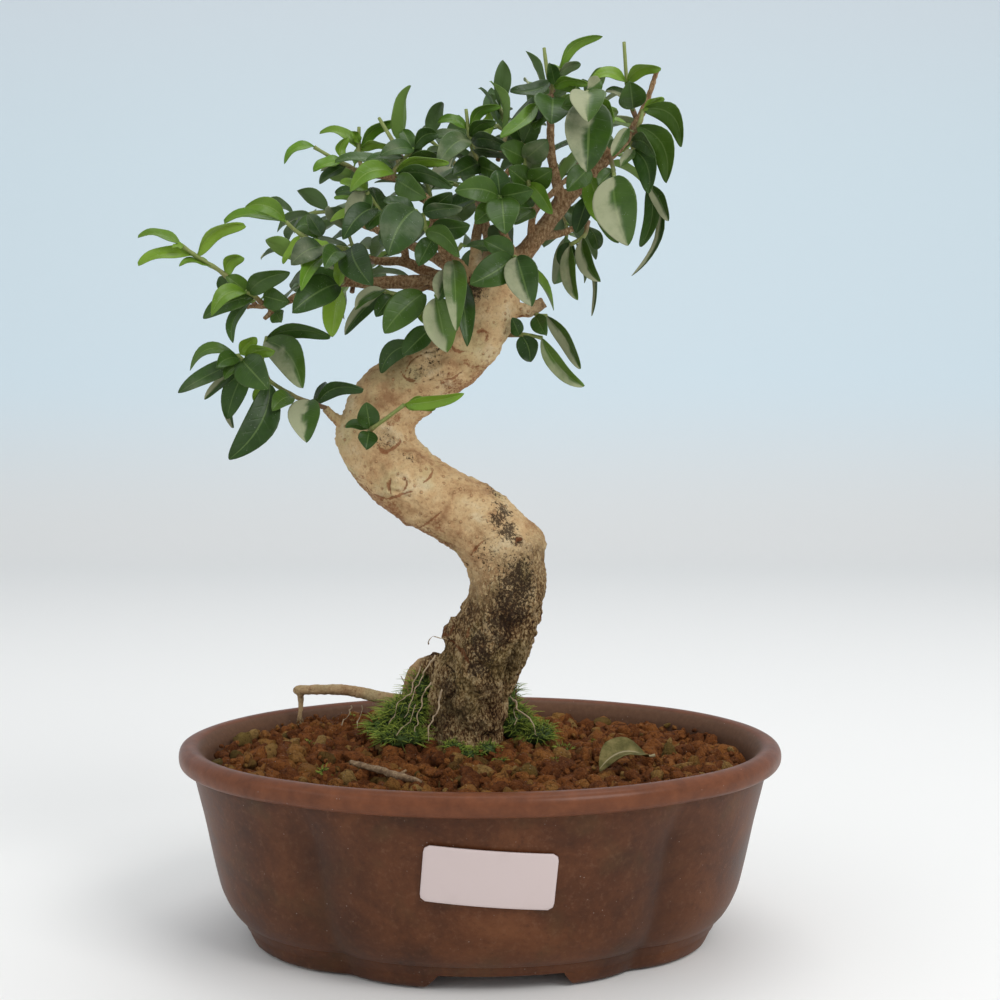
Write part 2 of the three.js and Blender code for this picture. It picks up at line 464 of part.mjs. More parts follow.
// Leafy shoots that show from the front. Each has its stems, as routes, and its leaves: base,
// tip, width in mm, turn out of the view in degrees, bow towards the eye, sideways bend, kind.
const SPRAYS = {
  shoot_far_left: {
    stems: [[[256, 305, -9], [240, 289, -11], [220, 271, -13], [199, 258, -15], [181, 245, -17]]],
    leaves: [
      [181, 246, -17, 138, 236, -20, 5, 50, 0, 0.15, 'y'],
      [194, 256, -15, 138, 265, -19, 6, 45, 0, 0.11, 'y'],
      [212, 268, -13, 179, 266, -18, 5.5, 60, 0, 0.15, 'y'],
      [197, 256, -15, 245, 225, -12, 6.5, 45, 0, -0.18, 'y'],
      [225, 275, -12, 243, 257, -10, 6, 35, 0, -0.25, 'y'],
      [230, 278, -11, 221, 292, -9, 7, 30, 0, 0, 'd'],
      [183, 246, -17, 172, 247, -17, 3, 40, 0, 0, 'y'],
    ],
  },
  shoot_mid_left: {
    stems: [[[262, 303, -11], [254, 296, -14], [246, 291, -17]]],
    leaves: [
      [249, 293, -16, 290, 272, -24, 8, 25, 0.12, -0.1, 'g'],
      [247, 292, -15, 227, 276, -20, 6.5, 30, 0.1, 0, 'd'],
      [246, 293, -17, 211, 315, -24, 6.5, 20, 0.12, 0.2, 'y'],
      [254, 297, -13, 203, 318, -19, 7.5, 25, 0.1, 0.08, 'd'],
      [250, 303, -10, 232, 342, -12, 5.5, 40, 0, 0.16, 'd'],
      [264, 296, -13, 289, 303, -18, 8, 15, 0.1, 0, 'd'],
      [276, 312, -11, 281, 323, -15, 6, 20, 0, 0, 'd'],
    ],
  },
  shoot_left_upper: {
    stems: [[[338, 252, -4], [318, 243, -6], [300, 234, -8], [286, 222, -10]]],
    leaves: [
      [285, 221, -10, 245, 207, -14, 6.5, 10, 0.08, 0.2, 'y'],
      [286, 223, -10, 224, 222, -11, 6, 50, 0.05, 0.13, 'y'],
      [300, 236, -8, 283, 264, -9, 3.5, 30, 0, 0, 'y'],
      [318, 238, -6, 294, 231, 0, 8, 30, 0.1, 0.3, 'd'],
      [322, 236, -6, 308, 214, -2, 7, 30, 0.05, 0, 'g'],
    ],
  },
  shoot_upper_left: {
    stems: [[[366, 178, -3], [352, 168, -4], [336, 160, -5], [314, 147, -7]]],
    leaves: [
      [315, 147, -7, 284, 163, -10, 4.5, 40, 0.1, 0.2, 'y'],
      [343, 161, -5, 348, 138, -4, 5, 35, 0, -0.25, 'y'],
      [342, 161, -5, 313, 170, -9, 5.5, 45, 0.1, 0.05, 'y'],
      [346, 166, -4, 319, 183, -6, 6, 45, 0.1, 0.05, 'g'],
    ],
  },
  shoot_upright_left: {
    stems: [[[364, 178, 1], [359, 155, 2], [359, 127, 2]]],
    leaves: [
      [358, 150, 2, 320, 132, 1, 5, 45, 0.05, 0.2, 'y'],
      [360, 148, 2, 397, 122, 4, 5.5, 40, 0, -0.15, 'y'],
      [359, 142, 2, 352, 131, 1, 3.5, 20, 0, 0, 'y'],
      [361, 149, 2, 391, 148, -1, 4.5, 40, 0, -0.15, 'y'],
    ],
  },
  crown_left_top: {
    stems: [
      [[396, 181, -15], [394, 172, -16], [403, 160, -14], [412, 150, -13]],
      [[403, 160, -14], [392, 140, -9], [379, 118, -6]],
    ],
    leaves: [
      [403, 158, -15, 366, 160, -18, 6, 55, 0.1, 0.05, 'g'],
      [413, 150, -14, 380, 155, -22, 6.5, 30, 0.12, 0.1, 'g'],
      [394, 173, -17, 350, 191, -23, 7.5, 20, 0.1, 0.2, 'y'],
      [396, 171, -16, 449, 163, -22, 5.5, 40, 0.1, -0.12, 'y'],
      [398, 175, -17, 452, 188, -25, 6.5, 30, 0.12, -0.12, 'g'],
      [397, 180, -17, 426, 198, -27, 9, 15, 0.1, 0, 'd'],
      [413, 150, -12, 403, 130, -6, 6, 25, 0.05, 0, 'd'],
      [414, 148, -12, 438, 134, -10, 6.5, 30, 0.1, -0.2, 'd'],
      [410, 156, -12, 440, 160, -8, 7, 30, 0.1, 0, 'd'],
    ],
  },
  crown_left_mid: {
    stems: [[[394, 228, -9], [380, 212, -14], [367, 192, -18]]],
    leaves: [
      [367, 190, -19, 350, 227, -27, 9.5, 15, 0.1, 0, 'p'],
      [376, 208, -18, 343, 239, -29, 8.5, 15, 0.12, 0.1, 'd'],
      [366, 192, -17, 335, 193, -14, 4.5, 40, 0, 0.05, 'g'],
      [371, 198, -15, 334, 198, -9, 4, 40, 0, 0, 'y'],
      [368, 190, -16, 340, 181, -10, 5, 40, 0, 0, 'y'],
      [384, 212, -18, 367, 230, -22, 7, 25, 0, 0.1, 'd'],
      [384, 216, -13, 330, 221, -10, 6, 35, 0.05, 0.1, 'y'],
      [382, 214, -12, 372, 188, -5, 7, 30, 0.1, 0, 'd'],
    ],
  },
  crown_front_left: {
    stems: [[[404, 244, -4], [411, 228, -17], [416, 211, -30]]],
    leaves: [
      [415, 210, -31, 388, 255, -42, 15, 0, 0.1, 0.08, 'g'],
      [414, 208, -30, 383, 201, -34, 6.5, 45, 0.1, 0, 'd'],
      [411, 226, -16, 378, 240, -8, 9, 20, 0.1, 0, 'd'],
      [412, 226, -18, 430, 222, -22, 5, 30, 0.1, 0, 'y'],
    ],
  },
  crown_low_left: {
    stems: [[[372, 262, 3], [358, 252, -10], [342, 248, -18], [324, 247, -22]]],
    leaves: [
      [352, 247, -19, 371, 285, -33, 11.5, 10, 0.1, 0.06, 'd'],
      [342, 252, -20, 324, 269, -29, 7.5, 15, 0.1, 0.1, 'd'],
      [322, 247, -23, 291, 264, -30, 9, 15, 0.12, 0.1, 'g'],
      [326, 256, -20, 301, 290, -34, 5.5, 10, 0.05, 0.1, 'y'],
      [330, 248, -20, 309, 242, -16, 4, 40, 0, 0, 'y'],
      [344, 256, -19, 339, 286, -25, 5.5, 20, 0, 0, 'y'],
      [352, 250, -13, 330, 262, -8, 8, 20, 0.1, 0, 'd'],
    ],
  },
  crown_left_under: {
    stems: [[[344, 281, -8], [339, 284, -18]]],
    leaves: [
      [338, 284, -19, 292, 312, -36, 11.5, 15, 0.1, 0.05, 'd'],
      [338, 287, -14, 332, 337, -17, 9, 20, 0.05, 0, 'y'],
      [341, 283, -12, 300, 272, -12, 8, 30, 0.1, 0, 'd'],
    ],
  },
  trunk_left_under: {
    stems: [[[428, 287, -5], [412, 293, -12], [396, 294, -13], [384, 291, -12]]],
    leaves: [
      [424, 293, -13, 384, 333, -20, 11.5, 10, 0.08, 0.05, 'd'],
      [385, 291, -11, 345, 335, -9, 6.5, 25, 0.05, 0.05, 'p'],
      [392, 295, -12, 376, 317, -12, 6.5, 20, 0.1, 0, 'd'],
      [384, 290, -10, 355, 309, -5, 5.5, 30, 0, 0.1, 'p'],
    ],
  },
  trunk_left_low: {
    stems: [[[462, 318, -6], [440, 324, -11], [430, 330, -12], [420, 343, -10]]],
    leaves: [
      [431, 328, -13, 403, 355, -16, 8.5, 20, 0.1, 0, 'd'],
      [418, 345, -9, 381, 373, -3, 7.5, 10, 0.05, 0.2, 'd'],
      [436, 325, -12, 420, 312, -6, 6, 20, 0.1, 0, 'y'],
    ],
  },
  trunk_top_front: {
    stems: [[[452, 278, -6], [448, 274, -14], [441, 284, -20], [436, 296, -23]]],
    leaves: [
      [450, 272, -17, 438, 300, -27, 8.5, 15, 0.05, 0, 'p'],
      [436, 298, -23, 447, 352, -29, 12, 5, 0.08, 0, 'p'],
    ],
  },
  crown_mid_left: {
    stems: [[[440, 238, -15], [428, 233, -21], [423, 214, -27]]],
    leaves: [
      [426, 232, -24, 459, 257, -32, 7, 20, 0.1, -0.15, 'd'],
      [424, 213, -28, 462, 209, -34, 6.5, 35, 0.12, -0.05, 'g'],
      [433, 238, -19, 418, 265, -24, 7.5, 15, 0.05, 0, 'd'],
      [432, 230, -20, 470, 226, -26, 8.5, 25, 0.1, 0, 'd'],
      [424, 214, -26, 452, 192, -30, 8, 25, 0.1, 0, 'g'],
    ],
  },
  crown_mid: {
    stems: [[[497, 207, -21], [500, 197, -27]]],
    leaves: [
      [498, 196, -27, 455, 191, -34, 9, 10, 0.1, 0.1, 'd'],
      [502, 199, -28, 505, 234, -40, 11.5, 0, 0.1, 0, 'd'],
      [502, 196, -26, 533, 190, -32, 8.5, 15, 0.1, 0, 'd'],
      [499, 203, -23, 475, 222, -24, 8, 20, 0.1, 0, 'd'],
      [500, 196, -27, 497, 170, -30, 8, 25, 0.1, 0, 'd'],
    ],
  },
  trunk_top_right: {
    stems: [[[512, 262, -6], [515, 257, -19]]],
    leaves: [
      [513, 257, -18, 470, 284, -27, 11.5, 10, 0.08, -0.05, 'd'],
      [517, 257, -19, 531, 306, -29, 12, 5, 0.08, 0, 'p'],
      [513, 256, -15, 484, 240, -20, 9, 25, 0.1, 0, 'd'],
    ],
  },
  crown_mid_right: {
    stems: [[[535, 212, -5], [532, 200, -12], [529, 184, -16], [524, 160, -15], [522, 142, -13]]],
    leaves: [
      [533, 210, -9, 514, 224, -14, 8, 45, 0.05, 0, 'd'],
      [530, 184, -16, 552, 214, -23, 6.5, 20, 0.05, -0.05, 'y'],
      [528, 184, -15, 508, 168, -22, 9, 20, 0.1, 0, 'd'],
      [530, 183, -15, 552, 170, -21, 9, 20, 0.1, 0, 'd'],
      [532, 198, -13, 512, 206, -20, 7, 25, 0.1, 0, 'd'],
      [524, 158, -15, 500, 146, -22, 9, 20, 0.1, 0, 'd'],
      [525, 159, -15, 548, 140, -21, 9, 20, 0.1, 0, 'g'],
      [522, 143, -13, 512, 118, -12, 8, 30, 0.1, 0, 'd'],
      [523, 143, -13, 534, 120, -8, 8, 30, 0.1, 0, 'd'],
    ],
  },
  crown_right_mid: {
    stems: [
      [[580, 186, 2], [584, 184, -6], [588, 170, -12]],
      [[584, 184, -6], [592, 196, -8], [598, 206, -8]],
    ],
    leaves: [
      [588, 169, -13, 567, 190, -20, 8.5, 10, 0.08, 0, 'd'],
      [590, 178, -9, 606, 226, -14, 9.5, 15, 0.05, 0, 'y'],
      [598, 206, -8, 619, 243, -9, 6.5, 25, 0, 0, 'd'],
      [588, 197, -7, 576, 233, -8, 7, 20, 0.05, 0, 'd'],
    ],
  },
  crown_top_mid: {
    stems: [[[488, 184, 5], [478, 162, 3], [470, 140, 1], [466, 109, 0]]],
    leaves: [
      [467, 130, 1, 438, 121, -2, 5, 45, 0, 0.15, 'y'],
      [470, 132, 1, 500, 106, 0, 5, 35, 0, -0.25, 'y'],
      [470, 136, 0, 496, 122, -7, 5, 30, 0.05, -0.15, 'd'],
      [470, 135, 3, 489, 112, 7, 6.5, 20, 0, 0.2, 'y'],
      [472, 141, -1, 511, 149, -10, 6.5, 35, 0.15, -0.1, 'g'],
      [473, 150, 0, 517, 155, -5, 5.5, 60, 0.1, 0, 'g'],
      [469, 140, -1, 437, 166, -13, 9, 20, 0.12, 0.1, 'g'],
      [468, 139, 1, 433, 134, -3, 6, 45, 0.1, 0, 'g'],
      [478, 163, 2, 452, 176, -9, 9, 25, 0.1, 0, 'd'],
      [480, 166, 2, 508, 176, -12, 9, 25, 0.1, 0, 'd'],
    ],
  },
  crown_top_right: {
    stems: [[[550, 101, -8], [553, 85, -10], [559, 68, -11]], [[553, 92, -9], [548, 76, -8], [544, 48, -7]],
      [[552, 96, -9], [544, 98, -12], [536, 104, -14]]],
    leaves: [
      [540, 98, -12, 510, 126, -16, 8, 15, 0.1, -0.1, 'd'],
      [537, 104, -14, 500, 138, -17, 6, 30, 0.05, -0.05, 'y'],
      [550, 82, -10, 510, 91, -16, 6, 40, 0.1, -0.1, 'g'],
      [553, 98, -15, 551, 125, -27, 14, -10, 0.1, 0, 'g'],
      [559, 69, -11, 602, 36, -10, 5.5, 40, 0, -0.18, 'y'],
      [555, 84, -12, 550, 63, -17, 5, 20, 0, 0, 'd'],
      [559, 74, -11, 581, 64, -10, 4.5, 35, 0, -0.1, 'g'],
      [554, 87, -13, 588, 84, -19, 5, 40, 0.1, -0.15, 'y'],
      [556, 85, -12, 580, 97, -20, 5, 30, 0, -0.2, 'y'],
      [548, 98, -9, 534, 128, -14, 10, 20, 0.1, 0, 'd'],
    ],
  },
  crown_front_right: {
    stems: [[[596, 112, -15], [592, 102, -20], [587, 92, -26]]],
    leaves: [
      [588, 92, -27, 588, 121, -42, 12.5, 0, 0.1, 0, 'p'],
      [587, 90, -24, 600, 80, -22, 6.5, 20, 0.05, 0, 'p'],
      [590, 102, -24, 587, 172, -40, 16.5, 0, 0.06, 0, 'p'],
      [594, 102, -18, 612, 122, -17, 5.5, 20, 0, -0.15, 'y'],
      [592, 103, -19, 562, 106, -19, 8.5, 25, 0.1, 0, 'd'],
    ],
  },
  crown_tip: {
    stems: [[[636, 118, -2], [631, 104, -2], [627, 84, -3], [624, 42, -3]]],
    leaves: [
      [626, 83, -4, 590, 80, -8, 5.5, 35, 0.05, 0.2, 'y'],
      [627, 82, -3, 661, 69, -4, 6, 35, 0.05, -0.2, 'y'],
      [633, 108, -7, 630, 81, -15, 10, 10, 0.08, 0, 'd'],
      [630, 100, -3, 606, 90, -4, 4, 40, 0, 0.1, 'p'],
    ],
  },
  crown_far_right: {
    stems: [
      [[634, 128, -4], [634, 136, -11], [633, 148, -13], [642, 168, -9], [650, 184, -8]],
      [[634, 136, -11], [640, 122, -13], [643, 110, -12]],
    ],
    leaves: [
      [643, 109, -12, 681, 147, -16, 8, 25, 0.1, -0.28, 'd'],
      [638, 126, -13, 667, 183, -18, 9.5, 20, 0.1, -0.2, 'd'],
      [632, 142, -13, 654, 157, -24, 6.5, 30, 0.1, -0.15, 'g'],
      [634, 150, -13, 648, 193, -17, 8, 20, 0.08, -0.15, 'd'],
      [628, 128, -14, 612, 157, -20, 5, 20, 0, 0, 'p'],
      [633, 150, -14, 621, 167, -18, 4.5, 20, 0, 0, 'p'],
      [650, 185, -8, 668, 221, -11, 5.5, 25, 0, -0.05, 'p'],
      [649, 186, -7, 641, 247, -7, 6, 25, 0, -0.12, 'd'],
      [648, 182, -6, 632, 276, -2, 4, 35, 0, -0.22, 'p'],
      [643, 110, -12, 664, 98, -11, 3.5, 30, 0, -0.1, 'y'],
    ],
  },
  crown_right_low: {
    stems: [[[610, 156, -2], [613, 168, -14], [614, 176, -22]]],
    leaves: [
      [614, 177, -23, 628, 245, -35, 15.5, 5, 0.06, 0.05, 'p'],
      [613, 170, -16, 598, 186, -20, 6, 20, 0.05, 0, 'd'],
    ],
  },
  hanging_right: {
    stems: [[[588, 221, 14], [584, 236, 12], [570, 245, 11]]],
    leaves: [
      [583, 238, 11, 600, 282, 8, 7, 25, 0.05, 0.12, 'p'],
      [570, 246, 10, 577, 300, 6, 6.5, 25, 0, 0.08, 'p'],
      [576, 243, 12, 592, 316, 12, 3.5, 45, 0, -0.15, 'p'],
      [572, 243, 11, 560, 265, 8, 7, 15, 0.05, 0, 'd'],
      [588, 226, 14, 597, 250, 15, 6, 20, 0, -0.1, 'd'],
      [586, 230, 13, 566, 208, 14, 7, 20, 0, 0, 'd'],
    ],
  },
  shoot_right_stub: {
    stems: [[[532, 308, 0], [537, 315, -1], [547, 316, -2]]],
    leaves: [
      [547, 316, -2, 580, 369, -5, 6, 30, 0, -0.05, 'p'],
      [536, 316, -2, 545, 335, -6, 6.5, 15, 0.05, 0, 'd'],
    ],
  },
  shoot_trunk_right: {
    stems: [[[500, 335, 0], [518, 335, -3], [528, 335, -5], [542, 338, -7]]],
    leaves: [
      [542, 338, -7, 583, 387, -10, 6.5, 30, 0, 0.08, 'p'],
      [522, 336, -5, 530, 362, -9, 8, 15, 0.05, -0.1, 'd'],
      [519, 335, -3, 512, 318, 1, 5.5, 20, 0, 0, 'd'],
    ],
  },
  shoot_on_trunk: {
    stems: [[[372, 432, -4], [370, 430, -12], [384, 420, -16], [404, 405, -20]]],
    leaves: [
      [405, 404, -20, 464, 394, -24, 5.5, 25, 0.08, 0.03, 'y'],
      [406, 406, -20, 436, 408, -23, 5.5, 20, 0.05, -0.15, 'y'],
      [370, 428, -13, 366, 402, -17, 8, 0, 0.08, 0, 'd'],
      [369, 432, -13, 366, 449, -18, 7, 0, 0.08, 0, 'd'],
      [368, 429, -12, 345, 427, -13, 4.5, 35, 0, 0.15, 'd'],
    ],
  },
  shoots_low_left: {
    stems: [
      [[326, 408, -2], [308, 402, -4], [290, 394, -6], [268, 380, -9], [252, 368, -12], [237, 355, -14]],
      [[268, 380, -9], [262, 360, -4], [267, 337, -1]],
    ],
    leaves: [
      [310, 400, -6, 306, 442, -18, 11.5, 5, 0.08, 0.08, 'p'],
      [292, 397, -8, 272, 410, -15, 7, 20, 0.1, 0.1, 'd'],
      [270, 384, -11, 229, 459, -22, 11.5, 5, 0.08, -0.12, 'd'],
      [268, 383, -8, 254, 402, -8, 5.5, 20, 0, 0, 'y'],
      [318, 402, -2, 363, 391, 0, 6, 30, 0.05, -0.18, 'd'],
      [243, 361, -15, 268, 389, -30, 12, 5, 0.08, 0, 'd'],
      [246, 358, -14, 275, 352, -19, 6, 25, 0.05, -0.15, 'y'],
      [240, 354, -13, 257, 338, -13, 6, 25, 0.05, -0.1, 'y'],
      [236, 355, -14, 190, 371, -17, 5.5, 35, 0.05, 0.3, 'd'],
      [241, 361, -13, 178, 393, -16, 7, 25, 0.08, 0.03, 'g'],
      [238, 358, -15, 216, 367, -24, 6, 15, 0.05, 0.1, 'd'],
      [243, 364, -14, 224, 379, -24, 5, 30, 0, 0.1, 'd'],
      [248, 366, -11, 227, 419, -12, 8.5, 10, 0.06, 0.05, 'd'],
      [250, 368, -9, 233, 428, -7, 5, 20, 0, 0.2, 'p'],
      [244, 362, -11, 204, 399, -9, 5, 30, 0, 0, 'p'],
      [267, 338, -1, 330, 338, -6, 6, 30, 0.05, -0.12, 'd'],
      [266, 341, -2, 302, 388, -13, 12, 10, 0.1, -0.14, 'p'],
      [312, 403, -3, 330, 384, 4, 6, 30, 0.05, 0, 'd'],
    ],
  },
};

// Shoots round the back and on top, which a rule gives their leaves: stem, leaf pairs, leaf length.
const GROWN = {
  back_left_outer: [[[362, 224, 38], [330, 212, 44], [296, 216, 48]], 4, 15],
  back_left_upper: [[[384, 233, 35], [366, 200, 42], [352, 168, 40]], 4, 14],
  back_left_low: [[[404, 242, 32], [378, 262, 40], [346, 282, 42]], 4, 15],
  back_mid: [[[470, 190, 37], [452, 160, 44], [430, 140, 40]], 4, 15],
  back_mid_low: [[[488, 236, 24], [478, 254, 38], [462, 266, 48]], 4, 16],
  back_mid_upper: [[[516, 158, 33], [505, 132, 42], [488, 122, 44]], 4, 14],
  back_top: [[[530, 130, 31], [540, 104, 32], [552, 82, 28]], 4, 14],
  back_right: [[[578, 180, 37], [604, 160, 42], [628, 148, 40]], 4, 15],
  back_right_low: [[[556, 206, 33], [566, 222, 42], [566, 246, 48]], 4, 16],
  back_right_top: [[[574, 176, 37], [586, 146, 40], [590, 112, 32]], 4, 15],
  inner_left: [[[405, 262, 5], [400, 236, 14], [390, 214, 18]], 3, 16],
  inner_mid: [[[482, 207, 8], [470, 192, 18], [454, 184, 20]], 3, 16],
  inner_right: [[[552, 160, -2], [538, 146, 8], [520, 138, 14]], 3, 16],
};

// The outline of a leaf, as the share of its full width at each share of its length.
function outline(share) {
  const rise = Math.sin(Math.PI * Math.pow(share, 0.92));
  return Math.pow(Math.max(rise, 0), 0.62);
}

const LIFT = V(0, 0, 1);

// Works out a leaf's own frame. facing is the way that its upper face looks, as near as it can.
function leafFrame(stalk, base, tip, width, facing, turn, bow, sweep, kind) {
  const along = tip.clone().sub(base);
  const length = along.length();
  along.divideScalar(length);
  const front = facing.clone().addScaledVector(along, -facing.dot(along)).normalize();
  const right = along.clone().cross(front);
  const swing = THREE.MathUtils.degToRad(turn);
  const face = front.clone().multiplyScalar(Math.cos(swing)).addScaledVector(right, Math.sin(swing));
  const side = along.clone().cross(face);
  return { stalk, base, along, length, front, right, face, side, width, bow, sweep, kind };
}

// A point of the blade: share runs from base to tip, across from -1 to 1 over its width.
function bladePoint(leaf, share, across, halfWidth) {
  const arch = 4 * share * (1 - share) * leaf.length;
  const { fold, wave } = KINDS[leaf.kind];
  const raised = THREE.MathUtils.degToRad(fold);
  const ripple = wave * Math.sin(share * 9 + (across > 0 ? 0 : 1.7)) * Math.abs(across);
  return leaf.base.clone()
    .addScaledVector(leaf.along, share * leaf.length)
    .addScaledVector(leaf.front, leaf.bow * arch)
    .addScaledVector(leaf.right, leaf.sweep * arch)
    .addScaledVector(leaf.side, across * halfWidth * Math.cos(raised))
    .addScaledVector(leaf.face, Math.abs(across) * halfWidth * Math.sin(raised) + ripple);
}

// A leaf's solid: a blade that starts from a point in its stem and is folded at its midrib,
// the same triangles on both faces and a thin wall between them. A broad leaf has one station more.
function leafGeometry(leaf) {
  const shares = leaf.width > BROAD_WIDTH ? BROAD_STATIONS : SMALL_STATIONS;
  const stations = shares.map((share) => {
    return [-1, 0, 1].map((across) => bladePoint(leaf, share, across, outline(share) * leaf.width / 2));
  });
  const sheet = [leaf.stalk.clone(), ...stations.flat(), bladePoint(leaf, 1, 0, 0)];
  const faces = [[0, 2, 1], [0, 3, 2]];
  for (let a = 1; a + 6 < sheet.length; a += 3) {
    faces.push([a, a + 1, a + 4], [a, a + 4, a + 3], [a + 1, a + 2, a + 5], [a + 1, a + 5, a + 4]);
  }
  const last = sheet.length - 4;
  faces.push([last, last + 1, last + 3], [last + 1, last + 2, last + 3]);
  const rightEdge = shares.map((_, row) => 3 + row * 3);
  const loop = [0, ...rightEdge, last + 3, ...rightEdge.map((right) => right - 2).reverse()];
  const count = sheet.length;
  const lift = leaf.face.clone().multiplyScalar(BLADE_THICKNESS / 2);
  const upper = sheet.map((point) => point.clone().add(lift));
  const lower = sheet.map((point) => point.clone().sub(lift));
  const places = [...upper, ...lower];
  const index = [];
  faces.forEach(([p, q, r]) => index.push(p, q, r, r + count, q + count, p + count));
  loop.forEach((from, step) => {
    const to = loop[(step + 1) % loop.length];
    index.push(to, from, from + count, to, from + count, to + count);
  });
  const geometry = new THREE.BufferGeometry().setFromPoints(places);
  geometry.setIndex(index);
  return geometry;
}

// Points spread over a leaf, and along a route, by which crossings are told.
function leafProbes(leaf) {
  const probes = [];
  for (const share of [0.12, 0.3, 0.48, 0.66, 0.84, 1]) {
    for (const across of [-0.9, -0.45, 0, 0.45, 0.9]) {
      const halfWidth = Math.max(outline(share), 0.1) * leaf.width / 2;
      probes.push({ place: bladePoint(leaf, share, across, halfWidth), outer: share > 0.25 });
    }
  }
  return probes;
}

function routeProbes(route, first, last) {
  const curve = new THREE.CatmullRomCurve3(route, false, 'catmullrom', 0.5);
  const count = Math.ceil(curve.getLength() / 1.5);
  return Array.from({ length: count + 1 }, (_, step) => {
    return { place: curve.getPoint(step / count), radius: THREE.MathUtils.lerp(first, last, step / count) };
  });
}

const CLEARANCE = 2.5;
const OWN_CLEARANCE = 1.7;

// How deep a leaf's worst probe lies inside the room that others need. Leaves of one shoot
// may meet at their stalks, and keep a smaller distance beyond them.
function crowding(leaf, owner, taken) {
  let worst = 0;
  for (const { place: probe, outer } of leafProbes(leaf)) {
    for (const { place, radius, node, far } of taken) {
      const own = node === owner;
      if (own && !(outer && far)) continue;
      worst = Math.max(worst, (own ? OWN_CLEARANCE : CLEARANCE) + radius - probe.distanceTo(place));
    }
  }
  return worst;
}

function nearestOnStems(point, stems) {
  let best = null;
  let bestDistance = Infinity;
  for (const { place } of stems) {
    const distance = point.distanceTo(place);
    if (distance < bestDistance) {
      bestDistance = distance;
      best = place;
    }
  }
  return best;
}

// Moves in depth that a crowded leaf tries, tip first, until it hangs free.
const DEPTH_TRIES = [0, -3, 3, -6, 6, -9, 9, -12, 12, -16, 16, -20, 20];
const TIGHT = 0.2;

function settle(make, owner, taken) {
  let best = null;
  let least = Infinity;
  for (const shift of DEPTH_TRIES) {
    const leaf = make(shift);
    const crowd = crowding(leaf, owner, taken);
    if (crowd < least - 1e-6) {
      least = crowd;
      best = leaf;
    }
    if (crowd <= TIGHT) break;
  }
  return { leaf: best, crowd: least };
}

function handLeaf(row, stemPlaces, shift) {
  const [c0, r0, d0, c1, r1, d1, width, turn, bow, sweep, kind] = row;
  const base = seen([c0, r0, d0 + shift * 0.25]);
  const tip = seen([c1, r1, d1 + shift]);
  const facing = V(VIEW.x, VIEW.y, VIEW.z).sub(base).normalize();
  return leafFrame(nearestOnStems(base, stemPlaces), base, tip, width, facing, turn, bow, sweep, kind);
}

const STEM_RADIUS = [1.05, 0.8];
const STEM_SIDES = 3;
const GROWN_WIDTH = 0.56;
const CROWN_MIDDLE = seen([450, 210, 6]);

// Leaf pairs of a grown shoot: each pair stands a quarter turn from the one before, leans
// forward along the stem, and droops away from the middle of the crown.
function grownLeaves(route, pairs, size, draw) {
  const curve = new THREE.CatmullRomCurve3(route, false, 'catmullrom', 0.5);
  const makers = [];
  for (let pair = 0; pair < pairs; pair += 1) {
    const share = 0.22 + 0.76 * (pair / (pairs - 1));
    const spot = curve.getPoint(share);
    const ahead = curve.getTangent(share);
    const level = ahead.clone().cross(LIFT).normalize();
    const high = level.clone().cross(ahead).normalize();
    const quarter = (pair % 2) * Math.PI / 2 + 0.5;
    for (const way of [0, Math.PI]) {
      const angle = quarter + way + (draw() - 0.5) * 0.8;
      const length = size * (0.8 + 0.35 * draw()) * (pair === pairs - 1 ? 0.8 : 1);
      const sideways = level.clone().multiplyScalar(Math.cos(angle)).addScaledVector(high, Math.sin(angle));
      const outwards = spot.clone().sub(CROWN_MIDDLE).normalize();
      const reach = sideways.addScaledVector(ahead, 0.55).addScaledVector(outwards, 0.35);
      reach.addScaledVector(LIFT, -0.25 - 0.3 * draw()).normalize();
      const base = spot.clone().addScaledVector(reach, 2);
      const facing = outwards.clone().multiplyScalar(0.7).add(LIFT);
      const turn = (draw() - 0.5) * 50;
      const bow = 0.06 + 0.1 * draw();
      const kind = draw() < 0.2 ? 'y' : (draw() < 0.3 ? 'p' : 'd');
      makers.push((shift) => {
        const tip = base.clone().addScaledVector(reach, length);
        tip.addScaledVector(outwards, shift);
        return leafFrame(spot, base, tip, length * GROWN_WIDTH, facing, turn, bow, 0, kind);
      });
    }
  }
  return makers;
}

const DROP_LIMIT = 0.9;

// Every shoot with its settled leaves, in the order that they take their room.
function layOutShoots() {
  const draw = draws(SEED + 1);
  const taken = [];
  for (const [route, first, last] of WOOD) {
    routeProbes(route.map(seen), first, last).forEach((probe) => taken.push({ ...probe, node: 'wood' }));
  }
  const trunkRoute = TRUNK.map(([column, row, depth]) => seen([column, row, depth]));
  routeProbes(trunkRoute, 15.5, 10).forEach((probe) => taken.push({ ...probe, node: 'wood' }));
  const plans = [];
  for (const [name, { stems, leaves }] of Object.entries(SPRAYS)) {
    const routes = stems.map((stem) => stem.map(seen));
    const makers = (places) => leaves.map((row) => (shift) => handLeaf(row, places, shift));
    plans.push({ name, routes, makers, keep: true });
  }
  for (const [name, [stem, pairs, size]] of Object.entries(GROWN)) {
    const route = stem.map(seen);
    plans.push({ name, routes: [route], makers: () => grownLeaves(route, pairs, size, draw), keep: false });
  }
  for (const plan of plans) {
    plan.probes = plan.routes.flatMap((route) => routeProbes(route, ...STEM_RADIUS));
    plan.probes.forEach(({ place }) => taken.push({ place, radius: -0.6, node: plan.name }));
  }
  for (const plan of plans) {
    plan.leaves = [];
    for (const make of plan.makers(plan.probes)) {
      const { leaf, crowd } = settle(make, plan.name, taken);
      if (crowd > DROP_LIMIT && !plan.keep) continue;
      plan.leaves.push(leaf);
      leaf.crowd = crowd;
      leafProbes(leaf).forEach(({ place, outer }) => {
        taken.push({ place, radius: 0, node: plan.name, far: outer });
      });
    }
  }
  return plans;
}

